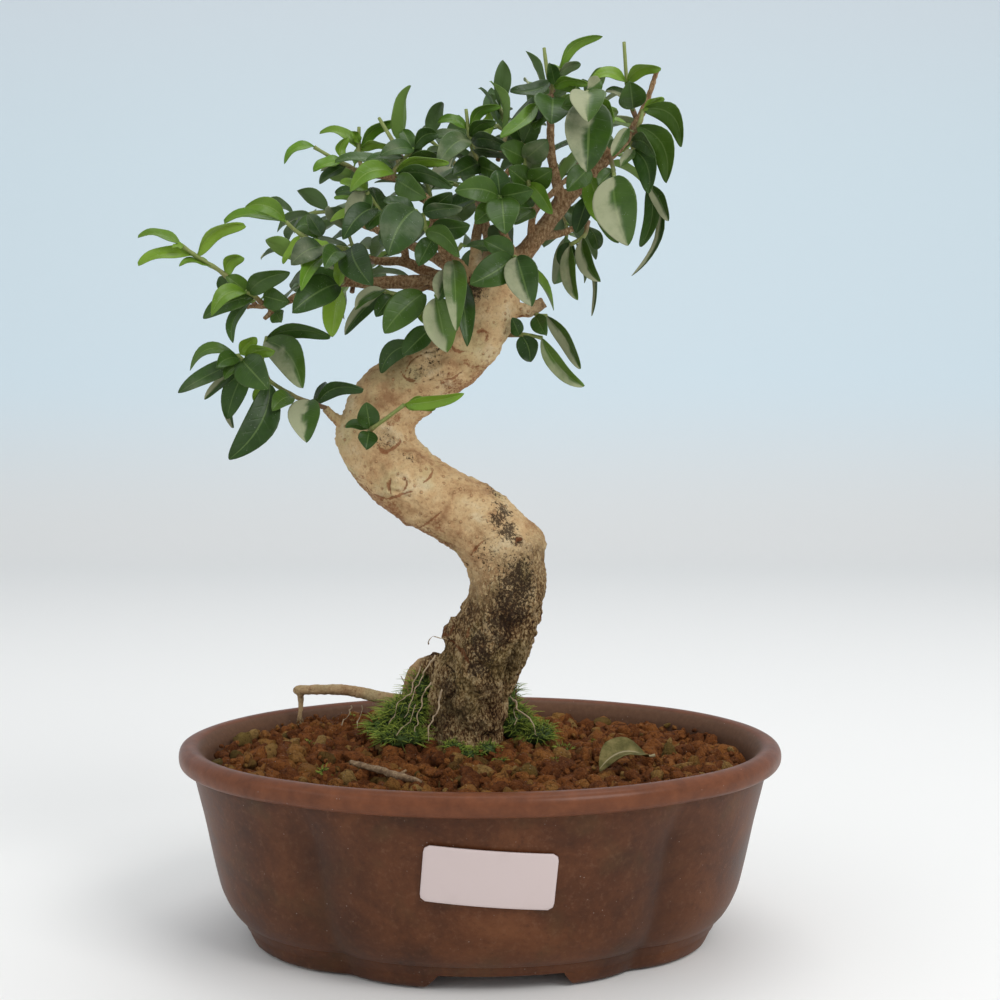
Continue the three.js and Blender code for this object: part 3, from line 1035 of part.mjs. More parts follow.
function makeShoot(plan, woodWithGap) {
  const stems = plan.routes.map((route) => {
    return limb(route, woodRadii(route, ...STEM_RADIUS), STEM_SIDES, 1);
  });
  const blades = plan.leaves.map((leaf) => solidOf(leafGeometry(leaf)));
  const shoot = largestPiece(joined([...stems, ...blades]).subtract(woodWithGap));
  return largestPiece(shoot.asOriginal().simplify(MERGE_WITHIN));
}

// The label is a blank card held to the front wall. This finds the wall behind it.
function wallBehind(x, z) {
  const rows = POT_OUTSIDE;
  const above = rows.findIndex(([, height]) => height > z);
  const [lowInset, lowZ] = rows[above - 1];
  const [highInset, highZ] = rows[above];
  const inset = THREE.MathUtils.lerp(lowInset, highInset, (z - lowZ) / (highZ - lowZ));
  let [near, far] = [-Math.PI, 0];
  for (let turn = 0; turn < 40; turn += 1) {
    const middle = (near + far) / 2;
    if (potPoint(middle, inset, z).x < x) near = middle;
    else far = middle;
  }
  return potPoint(near, inset, z).y;
}

function makeLabel() {
  const { width, height, thickness, tilt } = LABEL_SIZE;
  const corner = 2;
  const angle = THREE.MathUtils.degToRad(tilt);
  const columns = 9;
  const rings = Array.from({ length: columns }, (_, column) => {
    const u = (column / (columns - 1) - 0.5) * width;
    const fromEnd = width / 2 - Math.abs(u);
    const trim = fromEnd < corner ? corner * 0.6 : 0;
    const half = height / 2 - trim;
    return [half, -half].map((v) => {
      const x = LABEL_CENTRE.x + u * Math.cos(angle) - v * Math.sin(angle);
      const z = LABEL_CENTRE.z + u * Math.sin(angle) + v * Math.cos(angle);
      const back = wallBehind(x, z) - GAP - 0.5;
      return [V(x, back, z), V(x, back - thickness, z)];
    });
  }).map(([[topBack, topFront], [lowBack, lowFront]]) => [topBack, topFront, lowFront, lowBack]);
  return solidOf(ringsToGeometry(rings));
}

// A dead twig and a dry folded leaf lie on the granules.
function makeFallenTwig() {
  const clear = GRANULE_RISE + 1.6;
  const places = [[-43, -26], [-34, -34], [-26, -43], [-18, -51]];
  const route = places.map(([x, y]) => V(x, y, soilHeight(x, y) + clear));
  return limb(route, [1.2, 1.5, 1.6, 0.9], 6, 1);
}

function makeFallenLeaf() {
  const lift = soilHeight(49, -22) + GRANULE_RISE + 1.4;
  const tip = V(40, -28, lift - 0.2);
  const base = V(57, -18, lift + 1.5);
  const stalk = base.clone().add(V(2.5, 1, 0.4));
  const facing = V(-0.2, -0.5, 1);
  return leafGeometry(leafFrame(stalk, base, tip, 13, facing, 0, 0.16, 0.08, 'p'));
}

// The tree on its pot.
const tree = new THREE.Group();

function add(name, geometry, color, roughness, metalness = 0) {
  const material = new THREE.MeshStandardMaterial({ color, roughness, metalness });
  const mesh = new THREE.Mesh(geometry, material);
  mesh.name = name;
  tree.add(mesh);
}

const wood = makeWood(0);
const woodWithGap = makeWood(GAP + WOOD_MERGE);

add('pot', geometryOf(makePot()), 0x5a3322, 0.35);
add('drain_mesh_left', geometryOf(makeDrainMesh(-DRAIN_OFFSET)), 0x22252a, 0.6);
add('drain_mesh_right', geometryOf(makeDrainMesh(DRAIN_OFFSET)), 0x22252a, 0.6);
add('soil', geometryOf(makeSoil(woodWithGap)), 0x7a4526, 0.95);
add('label', geometryOf(makeLabel()), 0xf2ece8, 0.5);
add('fallen_twig', geometryOf(makeFallenTwig()), 0x8a6a4c, 0.9);
add('fallen_leaf', makeFallenLeaf(), 0x6b6a48, 0.8);
add('trunk', geometryOf(wood), 0xb08d66, 0.8);

const plans = layOutShoots();
for (const plan of plans) {
  add(plan.name, geometryOf(makeShoot(plan, woodWithGap)), 0x3c6b2c, 0.45);
}

// Stands the whole on z = 0 with the middle of its plan at the origin.
const bounds = new THREE.Box3().setFromObject(tree);
const middle = bounds.getCenter(V(0, 0, 0));
tree.position.set(-middle.x, -middle.y, -bounds.min.z);

export default tree;
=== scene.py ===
# %% [markdown]
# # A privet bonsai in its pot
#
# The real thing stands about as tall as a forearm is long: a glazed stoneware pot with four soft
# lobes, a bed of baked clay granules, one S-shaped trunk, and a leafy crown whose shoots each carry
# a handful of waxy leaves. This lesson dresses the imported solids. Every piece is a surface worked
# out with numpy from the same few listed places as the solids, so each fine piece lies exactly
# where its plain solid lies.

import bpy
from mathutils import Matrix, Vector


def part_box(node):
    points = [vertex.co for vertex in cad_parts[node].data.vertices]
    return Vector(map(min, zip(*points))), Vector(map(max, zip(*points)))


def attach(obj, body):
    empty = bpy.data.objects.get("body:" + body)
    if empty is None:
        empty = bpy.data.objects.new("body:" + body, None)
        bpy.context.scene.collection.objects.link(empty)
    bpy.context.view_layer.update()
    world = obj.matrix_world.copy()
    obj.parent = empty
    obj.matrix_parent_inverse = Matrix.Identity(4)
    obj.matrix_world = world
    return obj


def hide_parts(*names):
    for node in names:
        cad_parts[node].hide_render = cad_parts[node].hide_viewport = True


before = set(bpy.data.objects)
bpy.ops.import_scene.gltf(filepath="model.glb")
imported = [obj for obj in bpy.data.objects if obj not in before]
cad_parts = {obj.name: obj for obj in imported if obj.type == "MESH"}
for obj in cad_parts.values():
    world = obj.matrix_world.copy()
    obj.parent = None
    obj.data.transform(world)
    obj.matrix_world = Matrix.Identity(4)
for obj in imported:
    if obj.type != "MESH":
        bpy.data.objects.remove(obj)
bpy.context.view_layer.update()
print("solids in the frame:", len(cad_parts))

# %% Libraries
import math

import bpy
import numpy as np
from mathutils import Vector
from mathutils.bvhtree import BVHTree

# %% [markdown]
# ## Where things are
#
# The tree was measured from one picture. A place on it is given as a column and a row of that
# picture, 1000 units square, with a depth in millimetres behind the pot's middle. One small function
# turns such a triple into millimetres, and a second one turns millimetres from the pot's middle into
# metres in the frame. The pot's solid says where its middle is.

# %% Places
MM = 0.001
pot_low, pot_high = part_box("pot")
POT_MIDDLE = np.array([(pot_low.x + pot_high.x) / 2, (pot_low.y + pot_high.y) / 2, 0.0]) / MM
EYE = np.array([6.9, -506.3, 174.3])
PITCH = math.radians(2.56)
FOCAL = 1450.0
PICTURE_MIDDLE = 500.0


def seen(place):
    """A column, a row and a depth as mm: the sight line through that column and row, followed from
    the eye until it is that deep. Works on one place or on an array of them."""
    column, row, depth = np.moveaxis(np.asarray(place, float), -1, 0)
    across = (column - PICTURE_MIDDLE) / FOCAL
    up = (PICTURE_MIDDLE - row) / FOCAL
    reach = (depth - EYE[1]) / (math.cos(PITCH) + up * math.sin(PITCH))
    height = EYE[2] + (up * math.cos(PITCH) - math.sin(PITCH)) * reach
    return np.stack([EYE[0] + across * reach, depth, height], axis=-1)


def to_frame(points):
    """Points in mm from the pot's middle, as metres in the frame."""
    return (np.asarray(points) + POT_MIDDLE) * MM


def show(name, data):
    """A new object in the scene."""
    item = bpy.data.objects.new(name, data)
    bpy.context.scene.collection.objects.link(item)
    return item


print("the pot's middle is", POT_MIDDLE.round(2), "mm from the frame's origin")

# %% [markdown]
# ## The camera
#
# The eye stands half a metre in front of the tree, at the height of the trunk's upper bend, and
# looks down by less than three degrees. A lens of 1450 units for a picture 1000 units wide is
# 52 mm on a 36 mm sensor.

# %% Camera
SENSOR = 36.0
camera_data = bpy.data.cameras.new("camera")
camera_data.sensor_width = SENSOR
camera_data.lens = FOCAL / (2 * PICTURE_MIDDLE) * SENSOR
camera = show("camera", camera_data)
camera.location = Vector(to_frame(EYE))
camera.rotation_euler = (math.pi / 2 - PITCH, 0.0, 0.0)
bpy.context.scene.camera = camera
print("lens:", round(camera_data.lens, 1), "mm")

# %% [markdown]
# ## Noise and chance
#
# Nothing in a plant or in fired clay is regular, so most pieces need noise. A whole-number cell is
# turned into a number that looks random by mixing its coordinates, and the numbers of the eight
# corners round a point are blended. A repeatable row of draws gives everything else.

# %% Noise and draws
WORD = 0xFFFFFFFF


def cell_number(x, y, z, seed):
    """A number from 0 to 1 for each whole-number cell: the coordinates are multiplied by large odd
    numbers, joined bit by bit, and the high bits are folded over the low ones twice."""
    mixed = (x * 73856093) ^ (y * 19349663) ^ (z * 83492791) ^ (seed * 2654435761)
    mixed = mixed & WORD
    mixed = ((mixed ^ (mixed >> 15)) * 0x2C1B3C6D) & WORD
    mixed = ((mixed ^ (mixed >> 12)) * 0x297A2D39) & WORD
    return (mixed ^ (mixed >> 15)) / WORD


def noise(points, size, seed=0, octaves=1):
    """Smooth noise from about -1 to 1 whose lumps are size mm wide: the numbers of a cell's eight
    corners, blended by 3t^2 - 2t^3 along each axis. Each octave adds half as much at half the size."""
    total = 0.0
    for octave in range(octaves):
        place = np.asarray(points) / size * 2 ** octave
        cell = np.floor(place).astype(np.int64)
        t = place - cell
        t = t * t * (3 - 2 * t)
        value = 0.0
        for corner in np.ndindex(2, 2, 2):
            x, y, z = np.moveaxis(cell + corner, -1, 0)
            near_x, near_y, near_z = np.moveaxis(np.abs(1 - np.array(corner) - t), -1, 0)
            value = value + near_x * near_y * near_z * cell_number(x, y, z, seed + octave)
        total = total + (2 * value - 1) / 2 ** octave
    return total


def draws(seed):
    """A repeatable row of numbers from 0 to 1: a counter steps by a fixed odd number, and each
    count is scrambled by two multiplications modulo 2^32. The solids were made with the same row."""
    state = seed & WORD
    while True:
        state = (state + 0x6D2B79F5) & WORD
        mixed = ((state ^ (state >> 15)) * (state | 1)) & WORD
        mixed ^= (mixed + (mixed ^ (mixed >> 7)) * (mixed | 61)) & WORD
        yield (mixed ^ (mixed >> 14)) / (WORD + 1)


def ease(low, high, value):
    """0 below low, 1 above high, and 3t^2 - 2t^3 between."""
    t = np.clip((value - low) / (high - low), 0, 1)
    return t * t * (3 - 2 * t)


def unit(vectors):
    """The vectors at length 1."""
    return vectors / np.linalg.norm(vectors, axis=-1, keepdims=True)


sample = noise(np.random.default_rng(1).uniform(0, 90, (4000, 3)), 5.0)
print("noise runs from", round(float(sample.min()), 2), "to", round(float(sample.max()), 2))

# %% [markdown]
# ## Meshes from arrays
#
# A piece is often many closed shells, such as one for each leaf. A batch collects their points and
# faces and then makes one mesh. Beside its place, each point may carry two things that the finishes
# read: a pair of numbers for where it lies on the blade (the UV map), and four numbers called marks.

# %% Grids and arrays of a mesh
def grid_quads(rows, columns, closed=False):
    """The quads of a grid of points. A closed one joins its last column to its first."""
    row, column = np.meshgrid(np.arange(rows - 1), np.arange(columns - (not closed)), indexing="ij")
    after = (column + 1) % columns
    corners = [row * columns + column, row * columns + after]
    corners += [(row + 1) * columns + after, (row + 1) * columns + column]
    return np.stack(corners, axis=-1).reshape(-1, 4)


def volume_of(points, quads):
    """The signed volume inside closed quads: a sixth of the sum of a . (b x c) over their triangles."""
    a, b, c, d = (points[quads[:, side]] for side in range(4))
    first = np.einsum("ij,ij->i", a, np.cross(b, c))
    second = np.einsum("ij,ij->i", a, np.cross(c, d))
    return (first + second).sum() / 6


def read_array(items, what, width, kind=np.float32):
    """One value of every vertex or edge of a mesh, as rows of width numbers."""
    values = np.zeros(len(items) * width, kind)
    items.foreach_get(what, values)
    return values.reshape(-1, width)


def points_of(mesh):
    """A mesh's points in mm."""
    return read_array(mesh.vertices, "co", 3).astype(float) / MM - POT_MIDDLE


def move_points(mesh, points):
    """Puts a mesh's points at places in mm."""
    mesh.vertices.foreach_set("co", to_frame(points).astype(np.float32).ravel())
    mesh.update()


def mark_points(mesh, marks):
    """Gives a mesh its marks, or others in their place."""
    layer = mesh.color_attributes.get("marks") or mesh.color_attributes.new("marks", "FLOAT_COLOR", "POINT")
    layer.data.foreach_set("color", np.asarray(marks, np.float32).ravel())


def baked(item, *helpers):
    """The mesh that an object's modifiers make of it. The object and its helpers are taken away."""
    bpy.context.view_layer.update()
    mesh = bpy.data.meshes.new_from_object(item.evaluated_get(bpy.context.evaluated_depsgraph_get()))
    for used in (item, *helpers):
        bpy.data.objects.remove(used)
    return mesh


# %% Batches of shells
class Batch:
    """Closed shells on their way to one mesh."""

    def __init__(self):
        self.points, self.quads, self.caps, self.maps, self.marks, self.finishes = [], [], [], [], [], []
        self.count = 0

    def add(self, points, quads, caps=(), uv=None, marks=(0, 0, 0, 0), finish=0):
        """Adds one shell. Its faces are turned round where its volume comes out below zero."""
        points = np.asarray(points, float).reshape(-1, 3)
        fans = [np.stack(np.broadcast_arrays(cap[0], cap[1:-1], cap[2:], cap[0]), axis=1) for cap in caps]
        if volume_of(points - points.mean(axis=0), np.concatenate([quads, *fans])) < 0:
            quads = quads[:, ::-1]
            caps = [cap[::-1] for cap in caps]
        marks = np.asarray(marks, float).reshape(-1, 4)
        self.points.append(points)
        self.quads.append(quads + self.count)
        self.caps += [tuple((cap + self.count).tolist()) for cap in caps]
        self.maps.append(np.zeros((len(points), 2)) if uv is None else uv.reshape(-1, 2))
        self.marks.append(np.broadcast_to(marks, (len(points), 4)))
        self.finishes.append((len(quads), len(caps), finish))
        self.count += len(points)

    def mesh(self, name):
        """One mesh, with a UV map, the marks, and each face on the finish that its shell asks for."""
        mesh = bpy.data.meshes.new(name)
        quads = np.concatenate(self.quads).tolist()
        mesh.from_pydata(to_frame(np.concatenate(self.points)).tolist(), [], quads + self.caps)
        corner_point = read_array(mesh.loops, "vertex_index", 1, np.int32).ravel()
        uv_map = mesh.uv_layers.new(name="blade")
        uv_map.data.foreach_set("uv", np.concatenate(self.maps)[corner_point].astype(np.float32).ravel())
        mark_points(mesh, np.concatenate(self.marks))
        of_quads = [finish for quads_here, _, finish in self.finishes for _ in range(quads_here)]
        of_caps = [finish for _, caps_here, finish in self.finishes for _ in range(caps_here)]
        mesh.polygons.foreach_set("material_index", np.array(of_quads + of_caps, np.int32))
        mesh.shade_smooth()
        mesh.update()
        return mesh


def put(name, shape, finishes, slot, *nodes):
    """Puts a mesh or a batch in the scene as a finished piece: it rides on the tree's one body, wears
    its finishes and stands for the plain solids that are named."""
    mesh = shape.mesh(name) if isinstance(shape, Batch) else shape
    piece = show(name, mesh)
    for finish in finishes:
        mesh.materials.append(finish)
    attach(piece, "root")
    if nodes:
        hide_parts(*nodes)


# %% [markdown]
# ## Tubes along a smooth route
#
# Trunk, branches, stems, roots and leaf stalks are all rings carried along a route. The route is a
# smooth curve through its hand-read places: between two of them it is a cubic whose slope at each
# place is half the step from the place before to the place after.

# %% Routes and tubes
def on_route(route, t):
    """Points of a smooth curve at shares t from 0 to 1: with a and b the ends of a span, s and e
    their slopes and u from 0 to 1 in it, a + s u + (3(b-a) - 2s - e) u^2 + (2(a-b) + s + e) u^3."""
    route = np.asarray(route, float)
    padded = np.concatenate([[2 * route[0] - route[1]], route, [2 * route[-1] - route[-2]]])
    spans = len(route) - 1
    place = np.clip(np.asarray(t, float), 0, 1) * spans
    index = np.minimum(np.floor(place).astype(int), spans - 1)
    u = (place - index)[..., None]
    before, a, b, after = (padded[index + step] for step in range(4))
    start, end = (b - before) / 2, (after - a) / 2
    return a + start * u + (3 * (b - a) - 2 * start - end) * u ** 2 + (2 * (a - b) + start + end) * u ** 3


def heading(route, t):
    """Unit vectors along the route at shares t, from points a ten-thousandth before and after."""
    t = np.asarray(t, float)
    return unit(on_route(route, np.clip(t + 1e-4, 0, 1)) - on_route(route, np.clip(t - 1e-4, 0, 1)))


def length_of(route):
    """The sum of the straight steps of a route."""
    return np.linalg.norm(np.diff(route, axis=0), axis=1).sum()


def spread(values, share):
    """Values spaced evenly over shares from 0 to 1, looked up with straight lines between them."""
    return np.interp(share * (len(values) - 1), np.arange(len(values)), values)


def ring_angles(count):
    return np.linspace(0, 2 * math.pi, count, endpoint=False)


def tube(route, radii, sides, rings, relief=None):
    """Rings of points round a route: centre + radius (side cos a + other sin a). The side is carried
    from ring to ring by taking off its part along the new heading, so the tube never twists."""
    share = np.linspace(0, 1, rings)
    centre, ahead = on_route(route, share), heading(route, share)
    side = np.array([0.0, 0.0, 1.0]) if abs(ahead[0][2]) < 0.9 else np.array([1.0, 0.0, 0.0])
    sides_of_rings = []
    for direction in ahead:
        side = unit(side - direction * side.dot(direction))
        sides_of_rings.append(side)
    first = np.array(sides_of_rings)[:, None]
    second = np.cross(ahead, np.array(sides_of_rings))[:, None]
    angle = ring_angles(sides)[None, :, None]
    out = first * np.cos(angle) + second * np.sin(angle)
    skin = centre[:, None] + out * spread(radii, share)[:, None, None]
    if relief is not None:
        skin = skin + out * relief(skin, out)[..., None]
    return skin


def add_tube(batch, skin, uv=None, marks=(0, 0, 0, 0), finish=0):
    """Adds a tube's rings as a shell with a flat cap at each end."""
    rings, sides = skin.shape[:2]
    ends = [np.arange(sides)[::-1], np.arange(sides) + (rings - 1) * sides]
    batch.add(skin, grid_quads(rings, sides, closed=True), ends, uv, marks, finish)


def tubes(*skins):
    """A batch of several tubes."""
    batch = Batch()
    for skin in skins:
        add_tube(batch, skin)
    return batch

# %% [markdown]
# ## The finishes
#
# A finish is a small tree of shader nodes. Written node by node it is long, so a wire stands for a
# socket, and sums and products of wires add the Math nodes. Every other node comes from one method.
# Only what varies over a surface is wired. A number that is the same everywhere is set straight on
# the shader.

# %% Shader values as expressions
class Wire:
    """The output of a node, in arithmetic."""

    def __init__(self, finish, socket):
        self.finish, self.socket = finish, socket

    def math(self, operation, *values):
        return self.finish.node("ShaderNodeMath", {"operation": operation}, dict(enumerate(values)))

    def __add__(self, other):
        return self.math("ADD", self, other)

    def __radd__(self, other):
        return self.math("ADD", other, self)

    def __sub__(self, other):
        return self.math("SUBTRACT", self, other)

    def __rsub__(self, other):
        return self.math("SUBTRACT", other, self)

    def __mul__(self, other):
        return self.math("MULTIPLY", self, other)

    def __rmul__(self, other):
        return self.math("MULTIPLY", other, self)

    def __abs__(self):
        return self.math("ABSOLUTE", self)

    def fraction(self):
        """What is left of the value after its last whole number."""
        return self.math("FRACT", self)

    def vivid(self, gain):
        """The value's distance from a half, gain times as large."""
        return (self - 0.5) * gain + 0.5

    def ease(self, low, high, start=0.0, end=1.0):
        """start below low, end above high, and a smooth step between."""
        values = {"Value": self, "From Min": low, "From Max": high, "To Min": start, "To Max": end}
        return self.finish.node("ShaderNodeMapRange", {"interpolation_type": "SMOOTHSTEP"}, values)


class Finish:
    """A material being made. Its shader's plain numbers are set when it is made."""

    def __init__(self, name, **plain):
        self.material = bpy.data.materials.new(name)
        self.material.use_nodes = True
        self.tree = self.material.node_tree
        self.shader = self.tree.nodes["Principled BSDF"]
        for socket, value in plain.items():
            self.shader.inputs[socket.replace("_", " ")].default_value = value

    def node(self, kind, settings=None, values=None, out=0):
        """Any node: its settings first, then the values or links of its sockets."""
        node = self.tree.nodes.new(kind)
        for name, value in (settings or {}).items():
            if name == "stops":
                for spot, (place, color) in zip(self.stops_of(node, len(value)), value):
                    spot.position, spot.color = place, (*color, 1.0)
            else:
                setattr(node, name, value)
        for name, value in (values or {}).items():
            if isinstance(value, Wire):
                self.tree.links.new(value.socket, node.inputs[name])
            elif isinstance(value, tuple) and len(value) == 3 and node.inputs[name].type == "RGBA":
                node.inputs[name].default_value = (*value, 1.0)
            else:
                node.inputs[name].default_value = value
        return Wire(self, node.outputs[out])

    @staticmethod
    def stops_of(node, count):
        while len(node.color_ramp.elements) < count:
            node.color_ramp.elements.new(1.0)
        return list(node.color_ramp.elements)

    def place(self):
        """Where a point lies on the piece, in metres."""
        return self.node("ShaderNodeTexCoord", out="Object")

    def part(self, place, axis):
        """One of the three numbers of a place."""
        return self.node("ShaderNodeSeparateXYZ", None, {"Vector": place}, axis)

    def blade(self, axis):
        """Where a point lies on a blade from 0 to 1: along it for axis 0 and across it for axis 1."""
        return self.part(self.node("ShaderNodeUVMap", {"uv_map": "blade"}), axis)

    def rough(self, scale, detail=3.0, roughness=0.5, place=None, distortion=0.0):
        """Smooth noise from 0 to 1, with scale lumps to the metre."""
        values = {"Vector": place or self.place(), "Scale": scale, "Detail": detail}
        values.update({"Roughness": roughness, "Distortion": distortion})
        return self.node("ShaderNodeTexNoise", None, values)

    def cells(self, scale, place=None, out="Distance"):
        """Distance to the nearest of scattered points, scale of them to the metre."""
        return self.node("ShaderNodeTexVoronoi", None, {"Vector": place or self.place(), "Scale": scale}, out)

    def blend(self, factor, low, high):
        """The color low where the factor is 0 and high where it is 1."""
        return self.node("ShaderNodeMix", {"data_type": "RGBA"}, {0: factor, 6: low, 7: high}, 2)

    def ramp(self, value, stops):
        return self.node("ShaderNodeValToRGB", {"stops": stops}, {"Fac": value})

    def mark(self, channel):
        """One of the four marks that the mesh carries: three in a color and the last in its alpha."""
        if channel == 3:
            return self.node("ShaderNodeAttribute", {"attribute_name": "marks"}, out="Alpha")
        marks = self.node("ShaderNodeAttribute", {"attribute_name": "marks"}, out="Color")
        return self.node("ShaderNodeSeparateColor", None, {"Color": marks}, channel)

    def wear(self, color, roughness=None, height=None, distance=0.0, strength=1.0, coat=None):
        """Wires the shader's color, roughness, coat and a bump whose full height is distance metres."""
        for socket, wire in (("Base Color", color), ("Roughness", roughness), ("Coat Weight", coat)):
            if wire:
                self.tree.links.new(wire.socket, self.shader.inputs[socket])
        if height:
            bump = {"Height": height, "Distance": distance, "Strength": strength}
            bump = self.node("ShaderNodeBump", None, bump)
            self.tree.links.new(bump.socket, self.shader.inputs["Normal"])
        print(self.material.name, "has", len(self.tree.nodes), "nodes")
        return self.material


# %% [markdown]
# ### Bark
#
# Privet bark is smooth, pale and tan with a hint of green, dotted with raised corky pores. Round old
# cuts and cracks it is red-brown, and faces that look down get the same red-brown as painted shade.
# In the lowest third it turns rough, grey-brown and flaked, with black patches. The mesh marks how
# near the soil a point is, where the dark patches are, where the scars and the painted shade under
# the wood are, and where the wood is a thin twig, and the finish only has to color those marks.

# %% Bark finish
def bark_finish():
    bark = Finish("bark", Roughness=0.85, Specular_IOR_Level=0.12)
    low, dark, scar, twig = (bark.mark(channel) for channel in range(4))
    tone = bark.ramp(bark.rough(85, 6, 0.7).vivid(2.0), [
        (0.2, (0.36, 0.20, 0.095)), (0.42, (0.54, 0.35, 0.175)),
        (0.62, (0.62, 0.44, 0.235)), (0.85, (0.66, 0.52, 0.32))])
    green = bark.rough(60, 3).ease(0.5, 0.66)
    tone = bark.blend(green * 0.4, tone, (0.42, 0.40, 0.20))
    grain = bark.rough(1100, 5, 0.75).vivid(1.8)
    tone = bark.blend(grain.ease(0.5, 0.1) * 0.65, tone, (0.23, 0.115, 0.050))
    pore_place = bark.place()
    pores = bark.cells(520, place=pore_place)
    cell_color = bark.cells(520, place=pore_place, out="Color")
    chosen = bark.node("ShaderNodeSeparateColor", None, {"Color": cell_color}, 0)
    pick = chosen.ease(0.66, 0.70) * (1 - low)
    ring = pores.ease(0.45, 0.28) * pick
    pore = pores.ease(0.34, 0.10) * pick
    tone = bark.blend(ring * 0.35, tone, (0.24, 0.11, 0.045))
    tone = bark.blend(pore * 0.75, tone, (0.60, 0.35, 0.17))
    upright = bark.node("ShaderNodeMapping", None, {"Vector": bark.place(), "Scale": (1.0, 1.0, 0.55)})
    flaky = bark.rough(1250, 4, 0.65, place=upright, distortion=0.4).vivid(2.8)
    broad = bark.rough(190, 5, 0.65, place=upright).vivid(2.4)
    deep = low.ease(0.55, 1.0)
    rough_tone = bark.ramp(flaky * 0.6 + broad * 0.4 + deep * 0.03, [
        (0.22, (0.034, 0.016, 0.008)), (0.40, (0.135, 0.068, 0.028)), (0.50, (0.30, 0.175, 0.077)),
        (0.60, (0.50, 0.34, 0.160)), (0.80, (0.68, 0.50, 0.28))])
    rough_tone = bark.blend(green * 0.35, rough_tone, (0.17, 0.145, 0.045))
    tone = bark.blend((low + (flaky - 0.5) * 0.35).ease(0.18, 0.5), tone, rough_tone)
    fleck = bark.rough(1050, 5, 0.72, distortion=0.5).vivid(2.6)
    black = (dark * 0.55 - (fleck - 0.5) * 0.7).ease(0.27, 0.45)
    tone = bark.blend(black * (0.9 - deep * 0.45), tone, (0.040, 0.023, 0.014))
    # The scar mark also holds painted shade on faces that look down.
    red = (scar - (grain - 0.5) * 0.8).ease(0.3, 0.75)
    tone = bark.blend(red * 0.75, tone, (0.22, 0.070, 0.026))
    branch_tone = bark.ramp(flaky * 0.5 + grain * 0.5, [
        (0.2, (0.080, 0.038, 0.017)), (0.45, (0.22, 0.120, 0.055)), (0.8, (0.46, 0.32, 0.18))])
    tone = bark.blend(twig * 0.9, tone, branch_tone)
    flakes = flaky * (low.ease(0.1, 0.5) * 1.3 + twig * 0.3 + 0.1)
    height = grain * 0.3 + pore * 0.8 + flakes - black * 0.25
    return bark.wear(tone, height * 0.06 + 0.72, height, 0.0007, 1.0)


BARK = bark_finish()

# %% [markdown]
# ### Leaves
#
# A privet leaf is waxy and dark green above and paler below, with a light midrib and faint side
# veins. Young leaves are a bright yellow green. Here many carry a grey bloom or a pale beige residue,
# and small white specks of hard water. On pale leaves one half of the blade is paled further by a
# painted sheen. The UV map says where a point lies on the blade, so the veins follow the leaf. The
# marks say how young the leaf is, how much residue and painted sheen this spot has, which way the
# leaf leans in chance, and which face is the underside.

# %% Leaf finish
VEIN_PAIRS = 6.0
VEIN_SLANT = 0.16


def leaf_finish():
    leaf = Finish("leaf", Specular_IOR_Level=0.24)
    young, dust_and_sheen, chance, under = (leaf.mark(channel) for channel in range(4))
    from_rib = abs(leaf.blade(1) - 0.5) * 2
    cloud = leaf.rough(170, 3)
    old = leaf.ramp(cloud * 0.6 + chance * 0.4, [
        (0.2, (0.012, 0.030, 0.004)), (0.5, (0.022, 0.056, 0.008)), (0.85, (0.045, 0.098, 0.015))])
    fresh = leaf.ramp(cloud * 0.5 + chance * 0.5, [(0.2, (0.085, 0.19, 0.013)), (0.8, (0.21, 0.34, 0.030))])
    tone = leaf.blend(young, old, fresh)
    rib = from_rib.ease(0.075, 0.03)
    lines = ((leaf.blade(0) - from_rib * VEIN_SLANT) * VEIN_PAIRS).fraction()
    vein = abs(lines - 0.5).ease(0.10, 0.02) * from_rib.ease(0.95, 0.5)
    light_green = leaf.blend(young, (0.13, 0.20, 0.055), (0.28, 0.38, 0.09))
    tone = leaf.blend(rib * 0.45, tone, light_green)
    tone = leaf.blend(vein * 0.04, tone, light_green)
    tone = leaf.blend(from_rib.ease(0.95, 1.0) * 0.3, tone, (0.14, 0.17, 0.05))
    pale = leaf.blend(young, (0.080, 0.135, 0.050), (0.16, 0.26, 0.055))
    tone = leaf.blend(under * 0.85, tone, pale)
    film = leaf.rough(420, 5, 0.65)
    # Residue, and on pale leaves the painted sheen of one half.
    dust_and_sheen_cover = (dust_and_sheen * 0.9 + (film - 0.5) * 0.5).ease(0.15, 0.9) * (1 - under * 0.4)
    residue_and_sheen = leaf.blend(dust_and_sheen.ease(0.25, 0.8), (0.062, 0.100, 0.060), (0.40, 0.40, 0.25))
    tone = leaf.blend(dust_and_sheen_cover * 0.75, tone, residue_and_sheen)
    specks = leaf.cells(1300).ease(0.17, 0.08) * leaf.rough(240, 2).ease(0.52, 0.62)
    tone = leaf.blend(specks * 0.55 * (1 - under), tone, (0.40, 0.43, 0.36))
    gloss = dust_and_sheen_cover * 0.30 + film * 0.14 + under * 0.12 + 0.28
    height = film * 0.15 - vein * 0.5 - rib * 0.6
    return leaf.wear(tone, gloss, height, 0.00012, 0.6)


LEAF = leaf_finish()

# %% [markdown]
# ### Young stems
#
# The stems that carry the leaves are brown where they leave the wood and yellow green at their tips.

# %% Stem finish
def stem_finish():
    stem = Finish("stem", Roughness=0.6)
    young, _, chance, _ = (stem.mark(channel) for channel in range(4))
    grain = stem.rough(900, 4, 0.6)
    brown = stem.blend(grain, (0.10, 0.045, 0.018), (0.25, 0.14, 0.062))
    green = stem.blend(grain, (0.13, 0.17, 0.032), (0.27, 0.31, 0.085))
    tone = stem.blend((young + (grain - 0.5) * 0.3).ease(0.2, 0.8), brown, green)
    tone = stem.blend(stem.cells(700).ease(0.2, 0.1) * 0.4, tone, (0.45, 0.36, 0.22))
    return stem.wear(tone, None, grain, 0.0002, 0.6)


STEM = stem_finish()
